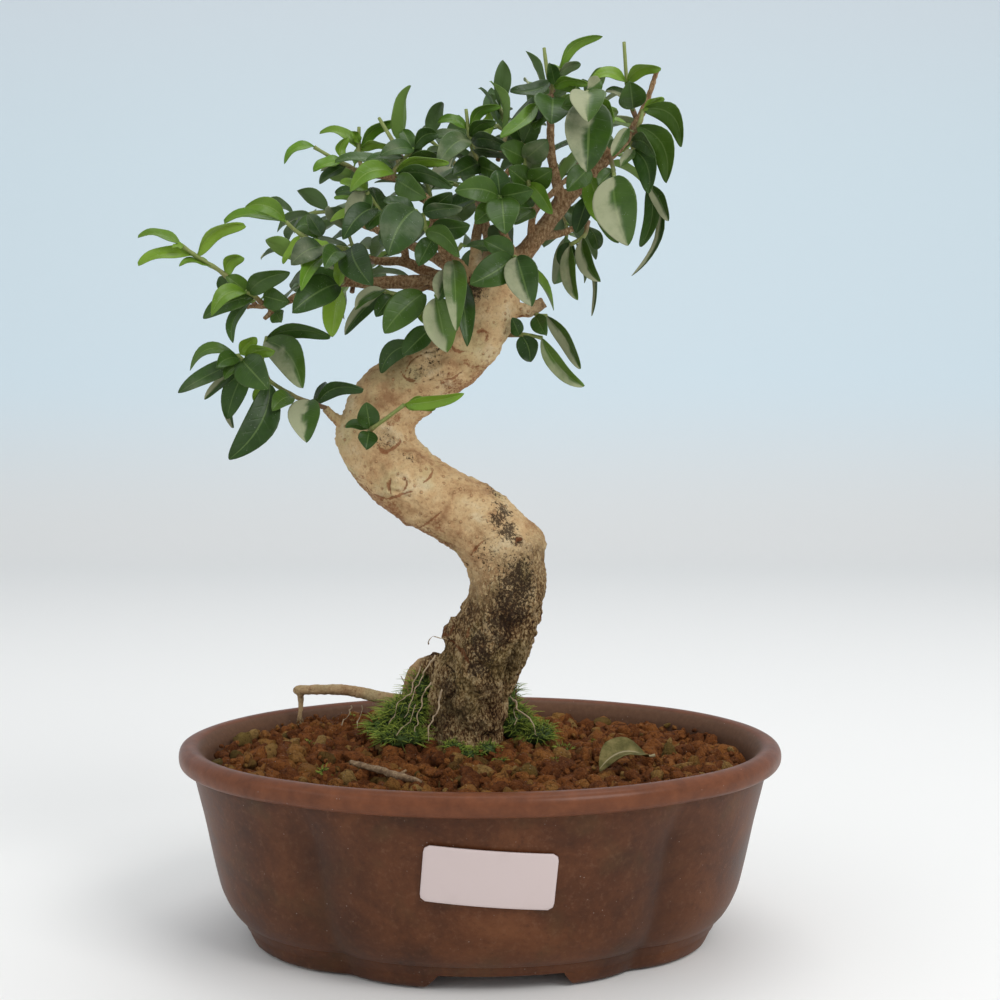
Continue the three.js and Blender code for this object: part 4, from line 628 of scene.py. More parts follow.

# %% [markdown]
# ### Glaze
#
# The pot's glaze is a dark, satin brown, mottled with red and olive, thin and redder on the rolled
# lip, with pale dust specks. Inside it is dull and brown with dirt. The mesh marks the lip, the
# inside, the creases between the lobes, which get painted shade, and the worn edges of lip and feet.

# %% Glaze finish
def glaze_finish():
    glaze = Finish("glaze", Coat_Roughness=0.22, Specular_IOR_Level=0.13)
    lip, inside, crease, worn = (glaze.mark(channel) for channel in range(4))
    mottle = glaze.rough(38, 7, 0.66, distortion=0.4)
    tone = glaze.ramp(mottle, [
        (0.3, (0.052, 0.019, 0.009)), (0.45, (0.084, 0.029, 0.012)),
        (0.57, (0.112, 0.039, 0.0155)), (0.72, (0.150, 0.055, 0.022))])
    fine = glaze.rough(520, 5, 0.7)
    tone = glaze.blend(fine.ease(0.5, 0.8) * 0.45, tone, (0.20, 0.098, 0.055))
    tone = glaze.blend(fine.ease(0.48, 0.25) * 0.4, tone, (0.030, 0.014, 0.009))
    olive = glaze.rough(60, 3).ease(0.52, 0.72)
    tone = glaze.blend(olive * 0.22, tone, (0.080, 0.058, 0.024))
    red = glaze.blend(glaze.rough(160, 5, 0.7), (0.050, 0.016, 0.008), (0.245, 0.078, 0.030))
    tone = glaze.blend(lip * 0.9, tone, red)
    # Painted shade in the creases between the lobes.
    tone = glaze.blend(crease * 0.5, tone, (0.022, 0.011, 0.008))
    dirt = glaze.blend(fine, (0.075, 0.038, 0.022), (0.165, 0.085, 0.050))
    tone = glaze.blend((inside + (mottle - 0.5) * 0.5).ease(0.3, 0.8) * 0.9, tone, dirt)
    tone = glaze.blend((worn + (fine - 0.5) * 0.6).ease(0.35, 0.85) * 0.6, tone, (0.24, 0.14, 0.090))
    specks = glaze.cells(430).ease(0.10, 0.04) * glaze.rough(90, 3).ease(0.48, 0.62)
    tone = glaze.blend(specks * 0.7, tone, (0.33, 0.26, 0.22))
    gloss = mottle * 0.2 + fine * 0.12 + inside * 0.35 + worn * 0.2 + 0.26
    height = fine * 0.4 + mottle * 0.6 + specks * 0.5
    return glaze.wear(tone, gloss, height, 0.0003, 0.5, lip * 0.12 + 0.05)


GLAZE = glaze_finish()

# %% [markdown]
# ### Granules
#
# Baked clay granules are rusty red-brown, each a little different, and some are a golden olive. Their
# pits get painted shade, the raised parts of their crumb are a lighter tan, the highest with a painted
# highlight, and white salts fleck them. The marks give each granule its own chance, its own
# lightness, how mossy it is and how deep each point lies in the bed, which is painted as shade.

# %% Granule finish
def granule_finish():
    clay = Finish("granules", Roughness=0.95, Specular_IOR_Level=0.15)
    chance, light, mossy, depth = (clay.mark(channel) for channel in range(4))
    tone = clay.ramp(chance, [
        (0.0, (0.160, 0.048, 0.012)), (0.4, (0.270, 0.085, 0.020)), (0.75, (0.360, 0.125, 0.029)),
        (0.93, (0.380, 0.185, 0.046)), (1.0, (0.400, 0.245, 0.080))])
    crumb = clay.rough(620, 7, 0.8).vivid(1.3)
    # Painted shade in the pits of the crumb, where its bump is low.
    tone = clay.blend(crumb.ease(0.52, 0.3) * 0.9, tone, (0.045, 0.016, 0.007))
    # Lighter tan on the raised crumb, more on the lighter granules.
    tone = clay.blend(crumb.ease(0.55, 0.72) * (light * 0.5 + 0.2), tone, (0.46, 0.25, 0.11))
    tone = clay.blend((mossy + (crumb - 0.5) * 0.8).ease(0.5, 1.0) * 0.6, tone, (0.13, 0.12, 0.028))
    flecks = clay.cells(750).ease(0.15, 0.07) * clay.rough(130, 2).ease(0.54, 0.62)
    tone = clay.blend(flecks * 0.8, tone, (0.58, 0.47, 0.36))
    # Painted shade: the deeper a point lies in the bed, the darker it is.
    tone = clay.blend(depth * 0.95, tone, (0.016, 0.007, 0.004))
    # Painted highlights on the highest crumb.
    tone = clay.blend(crumb.ease(0.66, 0.85) * 0.4, tone, (0.60, 0.38, 0.22))
    return clay.wear(tone, None, crumb + clay.rough(1700, 3) * 0.7, 0.0022, 1.0)


GRANULES = granule_finish()

# %% [markdown]
# ### Small finishes
#
# Moss is bright at the tips of its blades. The dead twig is grey-brown, the dry leaf is olive and
# tan, fine roots are pale. The label is a plain white film with a soft sheen, and the nets over the
# drain holes are dark plastic.

# %% Moss, dead wood, dry leaf, film and net
def moss_finish():
    moss = Finish("moss", Roughness=0.8)
    tip, chance, _, _ = (moss.mark(channel) for channel in range(4))
    low = moss.blend(chance, (0.020, 0.040, 0.005), (0.055, 0.095, 0.010))
    high = moss.blend(chance, (0.11, 0.21, 0.012), (0.44, 0.50, 0.06))
    return moss.wear(moss.blend(tip, low, high), None, moss.rough(1500), 0.0002, 0.5)


def dead_wood_finish():
    wood = Finish("dead_wood", Roughness=0.9)
    grain = wood.rough(650, 5, 0.7)
    tone = wood.ramp(grain, [
        (0.3, (0.075, 0.040, 0.020)), (0.5, (0.22, 0.135, 0.068)), (0.7, (0.40, 0.29, 0.17))])
    return wood.wear(tone, None, grain, 0.0005, 1.0)


def dry_leaf_finish():
    leaf = Finish("dry_leaf", Roughness=0.8, Specular_IOR_Level=0.12)
    rib = abs(leaf.blade(1) - 0.5).ease(0.05, 0.015)
    cloud = leaf.rough(260, 5, 0.65)
    tone = leaf.ramp(cloud, [
        (0.3, (0.055, 0.048, 0.014)), (0.5, (0.115, 0.098, 0.032)), (0.7, (0.20, 0.16, 0.062))])
    tone = leaf.blend(rib * 0.7, tone, (0.34, 0.28, 0.17))
    return leaf.wear(tone, None, cloud, 0.0006, 0.8)


def film_finish():
    film = Finish("label_film", Coat_Weight=0.3, Coat_Roughness=0.3)
    grain = film.rough(900, 3)
    smudge = film.rough(60, 3).ease(0.5, 0.75)
    tone = film.blend(smudge * 0.3, (0.60, 0.49, 0.47), (0.50, 0.40, 0.37))
    return film.wear(tone, smudge * 0.15 + 0.38, grain, 0.00005, 0.4)


def grained_finish(name, roughness, scale, detail, low, high, strength):
    """Two colors blended by one noise, which is the bump too."""
    finish = Finish(name, Roughness=roughness)
    grain = finish.rough(scale, detail)
    return finish.wear(finish.blend(grain, low, high), None, grain, 0.0002, strength)


MOSS, DEAD_WOOD, DRY_LEAF, FILM = moss_finish(), dead_wood_finish(), dry_leaf_finish(), film_finish()
FINE_ROOT = grained_finish("fine_roots", 0.75, 800, 4, (0.20, 0.125, 0.06), (0.50, 0.39, 0.25), 0.6)
NET = grained_finish("net", 0.55, 600, 3, (0.012, 0.014, 0.016), (0.035, 0.038, 0.042), 0.4)

# %% [markdown]
# ## The places read from the picture
#
# The trunk has its column, row, depth and width across. Knots have a place, a rise and a reach. Each
# limb has its route and its radius in mm at both ends. Each front shoot has the routes of its stems,
# and for each leaf: base, tip, width in mm, turn in degrees, bow, sideways bend and kind. The kinds
# are y for young, d for dark, g for grey and p for pale on one half, where the pale half is painted
# sheen. Each shoot round the back has its stem, how many pairs of leaves it has and about how long
# they are.

# %% Places of the tree
TRUNK = [
    (459, 838, 9, 96), (460, 790, 9, 90), (460, 752, 9, 82), (464, 722, 8, 77), (472, 688, 5, 76),
    (487, 650, 2, 77), (502, 615, -1, 78), (508, 580, -4, 75), (500, 548, -4, 74), (476, 521, -2, 71),
    (443, 503, 0, 70), (408, 481, 2, 72), (383, 455, 4, 75), (378, 425, 5, 74), (393, 397, 4, 69),
    (425, 376, 2, 65), (458, 353, 0, 63), (478, 328, -1, 62), (486, 302, 0, 62), (484, 280, 1, 54),
    (483, 272, 1, 40),
]

KNOTS = [
    ((414, 461, -8), 1.6, 5), ((536, 540, -6), 2.6, 6), ((385, 440, -8), -1.4, 5),
    ((422, 367, -10), -1.5, 7), ((449, 628, 2), 2.2, 5), ((512, 555, -14), 1.1, 4),
    ((404, 527, 0), 1.2, 3), ((482, 336, -12), 0.9, 4), ((546, 618, 0), 1.2, 3), ((345, 440, 4), 1.6, 8),
    ((505, 300, 4), 1.6, 7), ((397, 484, -10), 1.2, 6), ((428, 672, 8), 2.4, 7), ((520, 650, 0), 1.0, 5),
    ((470, 560, 0), 1.0, 6),
]

WOOD = [
    # The main branch to the right, its cut end and its side twigs.
    ([(498, 288, 0), (518, 262, -1), (541, 232, 0), (562, 205, 2), (585, 180, 2), (606, 159, 0),
     (625, 140, -2), (639, 120, -4)], 3.6, 1.5),
    ([(541, 236, 2), (562, 233, 8), (586, 222, 14)], 1.6, 1.0),
    ([(530, 246, 0), (534, 214, -4), (552, 193, -5), (574, 173, -6)], 1.3, 0.9),
    ([(606, 160, 0), (601, 136, -8), (593, 108, -17)], 1.5, 1.0),
    ([(562, 205, 2), (552, 160, -2), (550, 118, -6), (550, 98, -8)], 1.8, 1.1),
    ([(638, 122, -4), (648, 98, -4), (658, 67, -4)], 1.2, 0.9),
    # The level branches to the left.
    ([(468, 292, 0), (432, 283, -3), (400, 282, -5), (370, 283, -6), (342, 282, -7), (308, 291, -8),
     (280, 304, -8), (246, 307, -9)], 3.0, 0.8),
    ([(464, 285, 3), (432, 274, 5), (405, 262, 5), (378, 261, 5), (352, 254, 1), (330, 248, -2)], 2.4, 0.9),
    ([(405, 262, 5), (404, 242, -2), (392, 226, -8)], 1.2, 0.9),
    ([(278, 304, -8), (270, 314, -8), (264, 319, -9)], 1.3, 0.8),
    # The branches that climb from the cut top.
    ([(468, 282, -2), (448, 256, -9), (440, 232, -13), (430, 203, -14), (408, 190, -13), (396, 176, -13)],
     3.0, 1.1),
    ([(476, 278, 2), (476, 240, 8), (482, 207, 8), (487, 182, 6)], 2.2, 1.2),
    ([(500, 280, -2), (512, 256, -8), (504, 235, -14), (497, 205, -22)], 2.0, 1.1),
    ([(396, 178, -13), (378, 176, -8), (362, 176, -2)], 1.1, 0.9),
    # The branches behind.
    ([(484, 282, 5), (490, 246, 20), (480, 212, 32), (466, 186, 38)], 2.8, 1.2),
    ([(490, 284, 4), (528, 243, 21), (556, 206, 33), (580, 178, 38)], 2.6, 1.1),
    ([(478, 286, 5), (436, 258, 22), (396, 238, 33), (356, 222, 38)], 2.6, 1.1),
    ([(482, 210, 32), (510, 168, 34), (530, 128, 32)], 1.4, 1.0),
    # The low branch on the left and the knob on the right.
    ([(374, 436, 5), (356, 433, 3), (340, 422, 1), (325, 408, -2)], 3.0, 1.5),
    ([(490, 304, 2), (514, 310, 1), (532, 309, 0), (544, 302, 0)], 3.0, 1.9),
    # The arched root with its leg, the flare beside it, and the roots below the soil.
    ([(462, 712, 8), (432, 704, 14), (408, 702, 18), (384, 698, 24), (345, 690, 33), (302, 690, 41),
     (296, 690, 42)], 3.2, 1.5),
    ([(300, 690, 41), (301, 702, 42), (300, 722, 42), (300, 738, 42)], 1.2, 0.8),
    ([(462, 664, 5), (436, 664, 9), (418, 672, 12), (411, 690, 14), (406, 722, 15), (400, 762, 16)], 4.2,
     2.4),
    ([(478, 775, 9), (520, 792, 12), (560, 820, 18)], 5.0, 2.0),
    ([(460, 790, 2), (450, 812, -12), (440, 848, -26)], 5.0, 2.0),
    ([(462, 790, 16), (470, 800, 30), (478, 815, 44)], 5.0, 2.0),
    ([(446, 790, 6), (412, 808, 4), (380, 828, 2)], 5.0, 2.2),
]

SPRAYS = {
    "shoot_far_left": ([
        [(256, 305, -9), (240, 289, -11), (220, 271, -13), (199, 258, -15), (181, 245, -17)]], [
        (181, 246, -17, 138, 236, -20, 5, 50, 0, 0.15, "y"),
        (194, 256, -15, 138, 265, -19, 6, 45, 0, 0.11, "y"),
        (212, 268, -13, 179, 266, -18, 5.5, 60, 0, 0.15, "y"),
        (197, 256, -15, 245, 225, -12, 6.5, 45, 0, -0.18, "y"),
        (225, 275, -12, 243, 257, -10, 6, 35, 0, -0.25, "y"),
        (230, 278, -11, 221, 292, -9, 7, 30, 0, 0, "d"),
        (183, 246, -17, 172, 247, -17, 3, 40, 0, 0, "y")]),
    "shoot_mid_left": ([[(262, 303, -11), (254, 296, -14), (246, 291, -17)]], [
        (249, 293, -16, 290, 272, -24, 8, 25, 0.12, -0.1, "g"),
        (247, 292, -15, 227, 276, -20, 6.5, 30, 0.1, 0, "d"),
        (246, 293, -17, 211, 315, -24, 6.5, 20, 0.12, 0.2, "y"),
        (254, 297, -13, 203, 318, -19, 7.5, 25, 0.1, 0.08, "d"),
        (250, 303, -10, 232, 342, -12, 5.5, 40, 0, 0.16, "d"),
        (264, 296, -13, 289, 303, -18, 8, 15, 0.1, 0, "d"),
        (276, 312, -11, 281, 323, -15, 6, 20, 0, 0, "d")]),
    "shoot_left_upper": ([[(338, 252, -4), (318, 243, -6), (300, 234, -8), (286, 222, -10)]], [
        (285, 221, -10, 245, 207, -14, 6.5, 10, 0.08, 0.2, "y"),
        (286, 223, -10, 224, 222, -11, 6, 50, 0.05, 0.13, "y"),
        (300, 236, -8, 283, 264, -9, 3.5, 30, 0, 0, "y"),
        (318, 238, -6, 294, 231, 0, 8, 30, 0.1, 0.3, "d"),
        (322, 236, -6, 308, 214, -2, 7, 30, 0.05, 0, "g")]),
    "shoot_upper_left": ([[(366, 178, -3), (352, 168, -4), (336, 160, -5), (314, 147, -7)]], [
        (315, 147, -7, 284, 163, -10, 4.5, 40, 0.1, 0.2, "y"),
        (343, 161, -5, 348, 138, -4, 5, 35, 0, -0.25, "y"),
        (342, 161, -5, 313, 170, -9, 5.5, 45, 0.1, 0.05, "y"),
        (346, 166, -4, 319, 183, -6, 6, 45, 0.1, 0.05, "g")]),
    "shoot_upright_left": ([[(364, 178, 1), (359, 155, 2), (359, 127, 2)]], [
        (358, 150, 2, 320, 132, 1, 5, 45, 0.05, 0.2, "y"),
        (360, 148, 2, 397, 122, 4, 5.5, 40, 0, -0.15, "y"), (359, 142, 2, 352, 131, 1, 3.5, 20, 0, 0, "y"),
        (361, 149, 2, 391, 148, -1, 4.5, 40, 0, -0.15, "y")]),
    "crown_left_top": ([
        [(396, 181, -15), (394, 172, -16), (403, 160, -14), (412, 150, -13)],
        [(403, 160, -14), (392, 140, -9), (379, 118, -6)]], [
        (403, 158, -15, 366, 160, -18, 6, 55, 0.1, 0.05, "g"),
        (413, 150, -14, 380, 155, -22, 6.5, 30, 0.12, 0.1, "g"),
        (394, 173, -17, 350, 191, -23, 7.5, 20, 0.1, 0.2, "y"),
        (396, 171, -16, 449, 163, -22, 5.5, 40, 0.1, -0.12, "y"),
        (398, 175, -17, 452, 188, -25, 6.5, 30, 0.12, -0.12, "g"),
        (397, 180, -17, 426, 198, -27, 9, 15, 0.1, 0, "d"),
        (413, 150, -12, 403, 130, -6, 6, 25, 0.05, 0, "d"),
        (414, 148, -12, 438, 134, -10, 6.5, 30, 0.1, -0.2, "d"),
        (410, 156, -12, 440, 160, -8, 7, 30, 0.1, 0, "d")]),
    "crown_left_mid": ([[(394, 228, -9), (380, 212, -14), (367, 192, -18)]], [
        (367, 190, -19, 350, 227, -27, 9.5, 15, 0.1, 0, "p"),
        (376, 208, -18, 343, 239, -29, 8.5, 15, 0.12, 0.1, "d"),
        (366, 192, -17, 335, 193, -14, 4.5, 40, 0, 0.05, "g"),
        (371, 198, -15, 334, 198, -9, 4, 40, 0, 0, "y"), (368, 190, -16, 340, 181, -10, 5, 40, 0, 0, "y"),
        (384, 212, -18, 367, 230, -22, 7, 25, 0, 0.1, "d"),
        (384, 216, -13, 330, 221, -10, 6, 35, 0.05, 0.1, "y"),
        (382, 214, -12, 372, 188, -5, 7, 30, 0.1, 0, "d")]),
    "crown_front_left": ([[(404, 244, -4), (411, 228, -17), (416, 211, -30)]], [
        (415, 210, -31, 388, 255, -42, 15, 0, 0.1, 0.08, "g"),
        (414, 208, -30, 383, 201, -34, 6.5, 45, 0.1, 0, "d"),
        (411, 226, -16, 378, 240, -8, 9, 20, 0.1, 0, "d"),
        (412, 226, -18, 430, 222, -22, 5, 30, 0.1, 0, "y")]),
    "crown_low_left": ([[(372, 262, 3), (358, 252, -10), (342, 248, -18), (324, 247, -22)]], [
        (352, 247, -19, 371, 285, -33, 11.5, 10, 0.1, 0.06, "d"),
        (342, 252, -20, 324, 269, -29, 7.5, 15, 0.1, 0.1, "d"),
        (322, 247, -23, 291, 264, -30, 9, 15, 0.12, 0.1, "g"),
        (326, 256, -20, 301, 290, -34, 5.5, 10, 0.05, 0.1, "y"),
        (330, 248, -20, 309, 242, -16, 4, 40, 0, 0, "y"),
        (344, 256, -19, 339, 286, -25, 5.5, 20, 0, 0, "y"),
        (352, 250, -13, 330, 262, -8, 8, 20, 0.1, 0, "d")]),
    "crown_left_under": ([[(344, 281, -8), (339, 284, -18)]], [
        (338, 284, -19, 292, 312, -36, 11.5, 15, 0.1, 0.05, "d"),
        (338, 287, -14, 332, 337, -17, 9, 20, 0.05, 0, "y"),
        (341, 283, -12, 300, 272, -12, 8, 30, 0.1, 0, "d")]),
    "trunk_left_under": ([[(428, 287, -5), (412, 293, -12), (396, 294, -13), (384, 291, -12)]], [
        (424, 293, -13, 384, 333, -20, 11.5, 10, 0.08, 0.05, "d"),
        (385, 291, -11, 345, 335, -9, 6.5, 25, 0.05, 0.05, "p"),
        (392, 295, -12, 376, 317, -12, 6.5, 20, 0.1, 0, "d"),
        (384, 290, -10, 355, 309, -5, 5.5, 30, 0, 0.1, "p")]),
    "trunk_left_low": ([[(462, 318, -6), (440, 324, -11), (430, 330, -12), (420, 343, -10)]], [
        (431, 328, -13, 403, 355, -16, 8.5, 20, 0.1, 0, "d"),
        (418, 345, -9, 381, 373, -3, 7.5, 10, 0.05, 0.2, "d"),
        (436, 325, -12, 420, 312, -6, 6, 20, 0.1, 0, "y")]),
    "trunk_top_front": ([[(452, 278, -6), (448, 274, -14), (441, 284, -20), (436, 296, -23)]], [
        (450, 272, -17, 438, 300, -27, 8.5, 15, 0.05, 0, "p"),
        (436, 298, -23, 447, 352, -29, 12, 5, 0.08, 0, "p")]),
    "crown_mid_left": ([[(440, 238, -15), (428, 233, -21), (423, 214, -27)]], [
        (426, 232, -24, 459, 257, -32, 7, 20, 0.1, -0.15, "d"),
        (424, 213, -28, 462, 209, -34, 6.5, 35, 0.12, -0.05, "g"),
        (433, 238, -19, 418, 265, -24, 7.5, 15, 0.05, 0, "d"),
        (432, 230, -20, 470, 226, -26, 8.5, 25, 0.1, 0, "d"),
        (424, 214, -26, 452, 192, -30, 8, 25, 0.1, 0, "g")]),
    "crown_mid": ([[(497, 207, -21), (500, 197, -27)]], [
        (498, 196, -27, 455, 191, -34, 9, 10, 0.1, 0.1, "d"),
        (502, 199, -28, 505, 234, -40, 11.5, 0, 0.1, 0, "d"),
        (502, 196, -26, 533, 190, -32, 8.5, 15, 0.1, 0, "d"),
        (499, 203, -23, 475, 222, -24, 8, 20, 0.1, 0, "d"),
        (500, 196, -27, 497, 170, -30, 8, 25, 0.1, 0, "d")]),
    "trunk_top_right": ([[(512, 262, -6), (515, 257, -19)]], [
        (513, 257, -18, 470, 284, -27, 11.5, 10, 0.08, -0.05, "d"),
        (517, 257, -19, 531, 306, -29, 12, 5, 0.08, 0, "p"),
        (513, 256, -15, 484, 240, -20, 9, 25, 0.1, 0, "d")]),
    "crown_mid_right": ([
        [(535, 212, -5), (532, 200, -12), (529, 184, -16), (524, 160, -15), (522, 142, -13)]], [
        (533, 210, -9, 514, 224, -14, 8, 45, 0.05, 0, "d"),
        (530, 184, -16, 552, 214, -23, 6.5, 20, 0.05, -0.05, "y"),
        (528, 184, -15, 508, 168, -22, 9, 20, 0.1, 0, "d"),
        (530, 183, -15, 552, 170, -21, 9, 20, 0.1, 0, "d"),
        (532, 198, -13, 512, 206, -20, 7, 25, 0.1, 0, "d"),
        (524, 158, -15, 500, 146, -22, 9, 20, 0.1, 0, "d"),
        (525, 159, -15, 548, 140, -21, 9, 20, 0.1, 0, "g"),
        (522, 143, -13, 512, 118, -12, 8, 30, 0.1, 0, "d"),
        (523, 143, -13, 534, 120, -8, 8, 30, 0.1, 0, "d")]),
    "crown_right_mid": ([
        [(580, 186, 2), (584, 184, -6), (588, 170, -12)],
        [(584, 184, -6), (592, 196, -8), (598, 206, -8)]], [
        (588, 169, -13, 567, 190, -20, 8.5, 10, 0.08, 0, "d"),
        (590, 178, -9, 606, 226, -14, 9.5, 15, 0.05, 0, "y"),
        (598, 206, -8, 619, 243, -9, 6.5, 25, 0, 0, "d"),
        (588, 197, -7, 576, 233, -8, 7, 20, 0.05, 0, "d")]),
    "crown_top_mid": ([[(488, 184, 5), (478, 162, 3), (470, 140, 1), (466, 109, 0)]], [
        (467, 130, 1, 438, 121, -2, 5, 45, 0, 0.15, "y"), (470, 132, 1, 500, 106, 0, 5, 35, 0, -0.25, "y"),
        (470, 136, 0, 496, 122, -7, 5, 30, 0.05, -0.15, "d"),
        (470, 135, 3, 489, 112, 7, 6.5, 20, 0, 0.2, "y"),
        (472, 141, -1, 511, 149, -10, 6.5, 35, 0.15, -0.1, "g"),
        (473, 150, 0, 517, 155, -5, 5.5, 60, 0.1, 0, "g"),
        (469, 140, -1, 437, 166, -13, 9, 20, 0.12, 0.1, "g"),
        (468, 139, 1, 433, 134, -3, 6, 45, 0.1, 0, "g"), (478, 163, 2, 452, 176, -9, 9, 25, 0.1, 0, "d"),
        (480, 166, 2, 508, 176, -12, 9, 25, 0.1, 0, "d")]),
    "crown_top_right": ([
        [(550, 101, -8), (553, 85, -10), (559, 68, -11)],
        [(553, 92, -9), (548, 76, -8), (544, 48, -7)],
        [(552, 96, -9), (544, 98, -12), (536, 104, -14)]], [
        (540, 98, -12, 510, 126, -16, 8, 15, 0.1, -0.1, "d"),
        (537, 104, -14, 500, 138, -17, 6, 30, 0.05, -0.05, "y"),
        (550, 82, -10, 510, 91, -16, 6, 40, 0.1, -0.1, "g"),
        (553, 98, -15, 551, 125, -27, 14, -10, 0.1, 0, "g"),
        (559, 69, -11, 602, 36, -10, 5.5, 40, 0, -0.18, "y"),
        (555, 84, -12, 550, 63, -17, 5, 20, 0, 0, "d"),
        (559, 74, -11, 581, 64, -10, 4.5, 35, 0, -0.1, "g"),
        (554, 87, -13, 588, 84, -19, 5, 40, 0.1, -0.15, "y"),
        (556, 85, -12, 580, 97, -20, 5, 30, 0, -0.2, "y"),
        (548, 98, -9, 534, 128, -14, 10, 20, 0.1, 0, "d")]),
    "crown_front_right": ([[(596, 112, -15), (592, 102, -20), (587, 92, -26)]], [
        (588, 92, -27, 588, 121, -42, 12.5, 0, 0.1, 0, "p"),
        (587, 90, -24, 600, 80, -22, 6.5, 20, 0.05, 0, "p"),
        (590, 102, -24, 587, 172, -40, 16.5, 0, 0.06, 0, "p"),
        (594, 102, -18, 612, 122, -17, 5.5, 20, 0, -0.15, "y"),
        (592, 103, -19, 562, 106, -19, 8.5, 25, 0.1, 0, "d")]),
    "crown_tip": ([[(636, 118, -2), (631, 104, -2), (627, 84, -3), (624, 42, -3)]], [
        (626, 83, -4, 590, 80, -8, 5.5, 35, 0.05, 0.2, "y"),
        (627, 82, -3, 661, 69, -4, 6, 35, 0.05, -0.2, "y"),
        (633, 108, -7, 630, 81, -15, 10, 10, 0.08, 0, "d"),
        (630, 100, -3, 606, 90, -4, 4, 40, 0, 0.1, "p")]),
    "crown_far_right": ([
        [(634, 128, -4), (634, 136, -11), (633, 148, -13), (642, 168, -9), (650, 184, -8)],
        [(634, 136, -11), (640, 122, -13), (643, 110, -12)]], [
        (643, 109, -12, 681, 147, -16, 8, 25, 0.1, -0.28, "d"),
        (638, 126, -13, 667, 183, -18, 9.5, 20, 0.1, -0.2, "d"),
        (632, 142, -13, 654, 157, -24, 6.5, 30, 0.1, -0.15, "g"),
        (634, 150, -13, 648, 193, -17, 8, 20, 0.08, -0.15, "d"),
        (628, 128, -14, 612, 157, -20, 5, 20, 0, 0, "p"),
        (633, 150, -14, 621, 167, -18, 4.5, 20, 0, 0, "p"),
        (650, 185, -8, 668, 221, -11, 5.5, 25, 0, -0.05, "p"),
        (649, 186, -7, 641, 247, -7, 6, 25, 0, -0.12, "d"),
        (648, 182, -6, 632, 276, -2, 4, 35, 0, -0.22, "p"),
        (643, 110, -12, 664, 98, -11, 3.5, 30, 0, -0.1, "y")]),
    "crown_right_low": ([[(610, 156, -2), (613, 168, -14), (614, 176, -22)]], [
        (614, 177, -23, 628, 245, -35, 15.5, 5, 0.06, 0.05, "p"),
        (613, 170, -16, 598, 186, -20, 6, 20, 0.05, 0, "d")]),
    "hanging_right": ([[(588, 221, 14), (584, 236, 12), (570, 245, 11)]], [
        (583, 238, 11, 600, 282, 8, 7, 25, 0.05, 0.12, "p"),
        (570, 246, 10, 577, 300, 6, 6.5, 25, 0, 0.08, "p"),
        (576, 243, 12, 592, 316, 12, 3.5, 45, 0, -0.15, "p"),
        (572, 243, 11, 560, 265, 8, 7, 15, 0.05, 0, "d"),
        (588, 226, 14, 597, 250, 15, 6, 20, 0, -0.1, "d"),
        (586, 230, 13, 566, 208, 14, 7, 20, 0, 0, "d")]),
    "shoot_right_stub": ([[(532, 308, 0), (537, 315, -1), (547, 316, -2)]], [
        (547, 316, -2, 580, 369, -5, 6, 30, 0, -0.05, "p"),
        (536, 316, -2, 545, 335, -6, 6.5, 15, 0.05, 0, "d")]),
    "shoot_trunk_right": ([[(500, 335, 0), (518, 335, -3), (528, 335, -5), (542, 338, -7)]], [
        (542, 338, -7, 583, 387, -10, 6.5, 30, 0, 0.08, "p"),
        (522, 336, -5, 530, 362, -9, 8, 15, 0.05, -0.1, "d"),
        (519, 335, -3, 512, 318, 1, 5.5, 20, 0, 0, "d")]),
    "shoot_on_trunk": ([[(372, 432, -4), (370, 430, -12), (384, 420, -16), (404, 405, -20)]], [
        (405, 404, -20, 464, 394, -24, 5.5, 25, 0.08, 0.03, "y"),
        (406, 406, -20, 436, 408, -23, 5.5, 20, 0.05, -0.15, "y"),
        (370, 428, -13, 366, 402, -17, 8, 0, 0.08, 0, "d"),
        (369, 432, -13, 366, 449, -18, 7, 0, 0.08, 0, "d"),
        (368, 429, -12, 345, 427, -13, 4.5, 35, 0, 0.15, "d")]),
    "shoots_low_left": ([
        [(326, 408, -2), (308, 402, -4), (290, 394, -6), (268, 380, -9), (252, 368, -12), (237, 355, -14)],
        [(268, 380, -9), (262, 360, -4), (267, 337, -1)]], [
        (310, 400, -6, 306, 442, -18, 11.5, 5, 0.08, 0.08, "p"),
        (292, 397, -8, 272, 410, -15, 7, 20, 0.1, 0.1, "d"),
        (270, 384, -11, 229, 459, -22, 11.5, 5, 0.08, -0.12, "d"),
        (268, 383, -8, 254, 402, -8, 5.5, 20, 0, 0, "y"),
        (318, 402, -2, 363, 391, 0, 6, 30, 0.05, -0.18, "d"),
        (243, 361, -15, 268, 389, -30, 12, 5, 0.08, 0, "d"),
        (246, 358, -14, 275, 352, -19, 6, 25, 0.05, -0.15, "y"),
        (240, 354, -13, 257, 338, -13, 6, 25, 0.05, -0.1, "y"),
        (236, 355, -14, 190, 371, -17, 5.5, 35, 0.05, 0.3, "d"),
        (241, 361, -13, 178, 393, -16, 7, 25, 0.08, 0.03, "g"),
        (238, 358, -15, 216, 367, -24, 6, 15, 0.05, 0.1, "d"),
        (243, 364, -14, 224, 379, -24, 5, 30, 0, 0.1, "d"),
        (248, 366, -11, 227, 419, -12, 8.5, 10, 0.06, 0.05, "d"),
        (250, 368, -9, 233, 428, -7, 5, 20, 0, 0.2, "p"), (244, 362, -11, 204, 399, -9, 5, 30, 0, 0, "p"),
        (267, 338, -1, 330, 338, -6, 6, 30, 0.05, -0.12, "d"),
        (266, 341, -2, 302, 388, -13, 12, 10, 0.1, -0.14, "p"),
        (312, 403, -3, 330, 384, 4, 6, 30, 0.05, 0, "d")]),
}

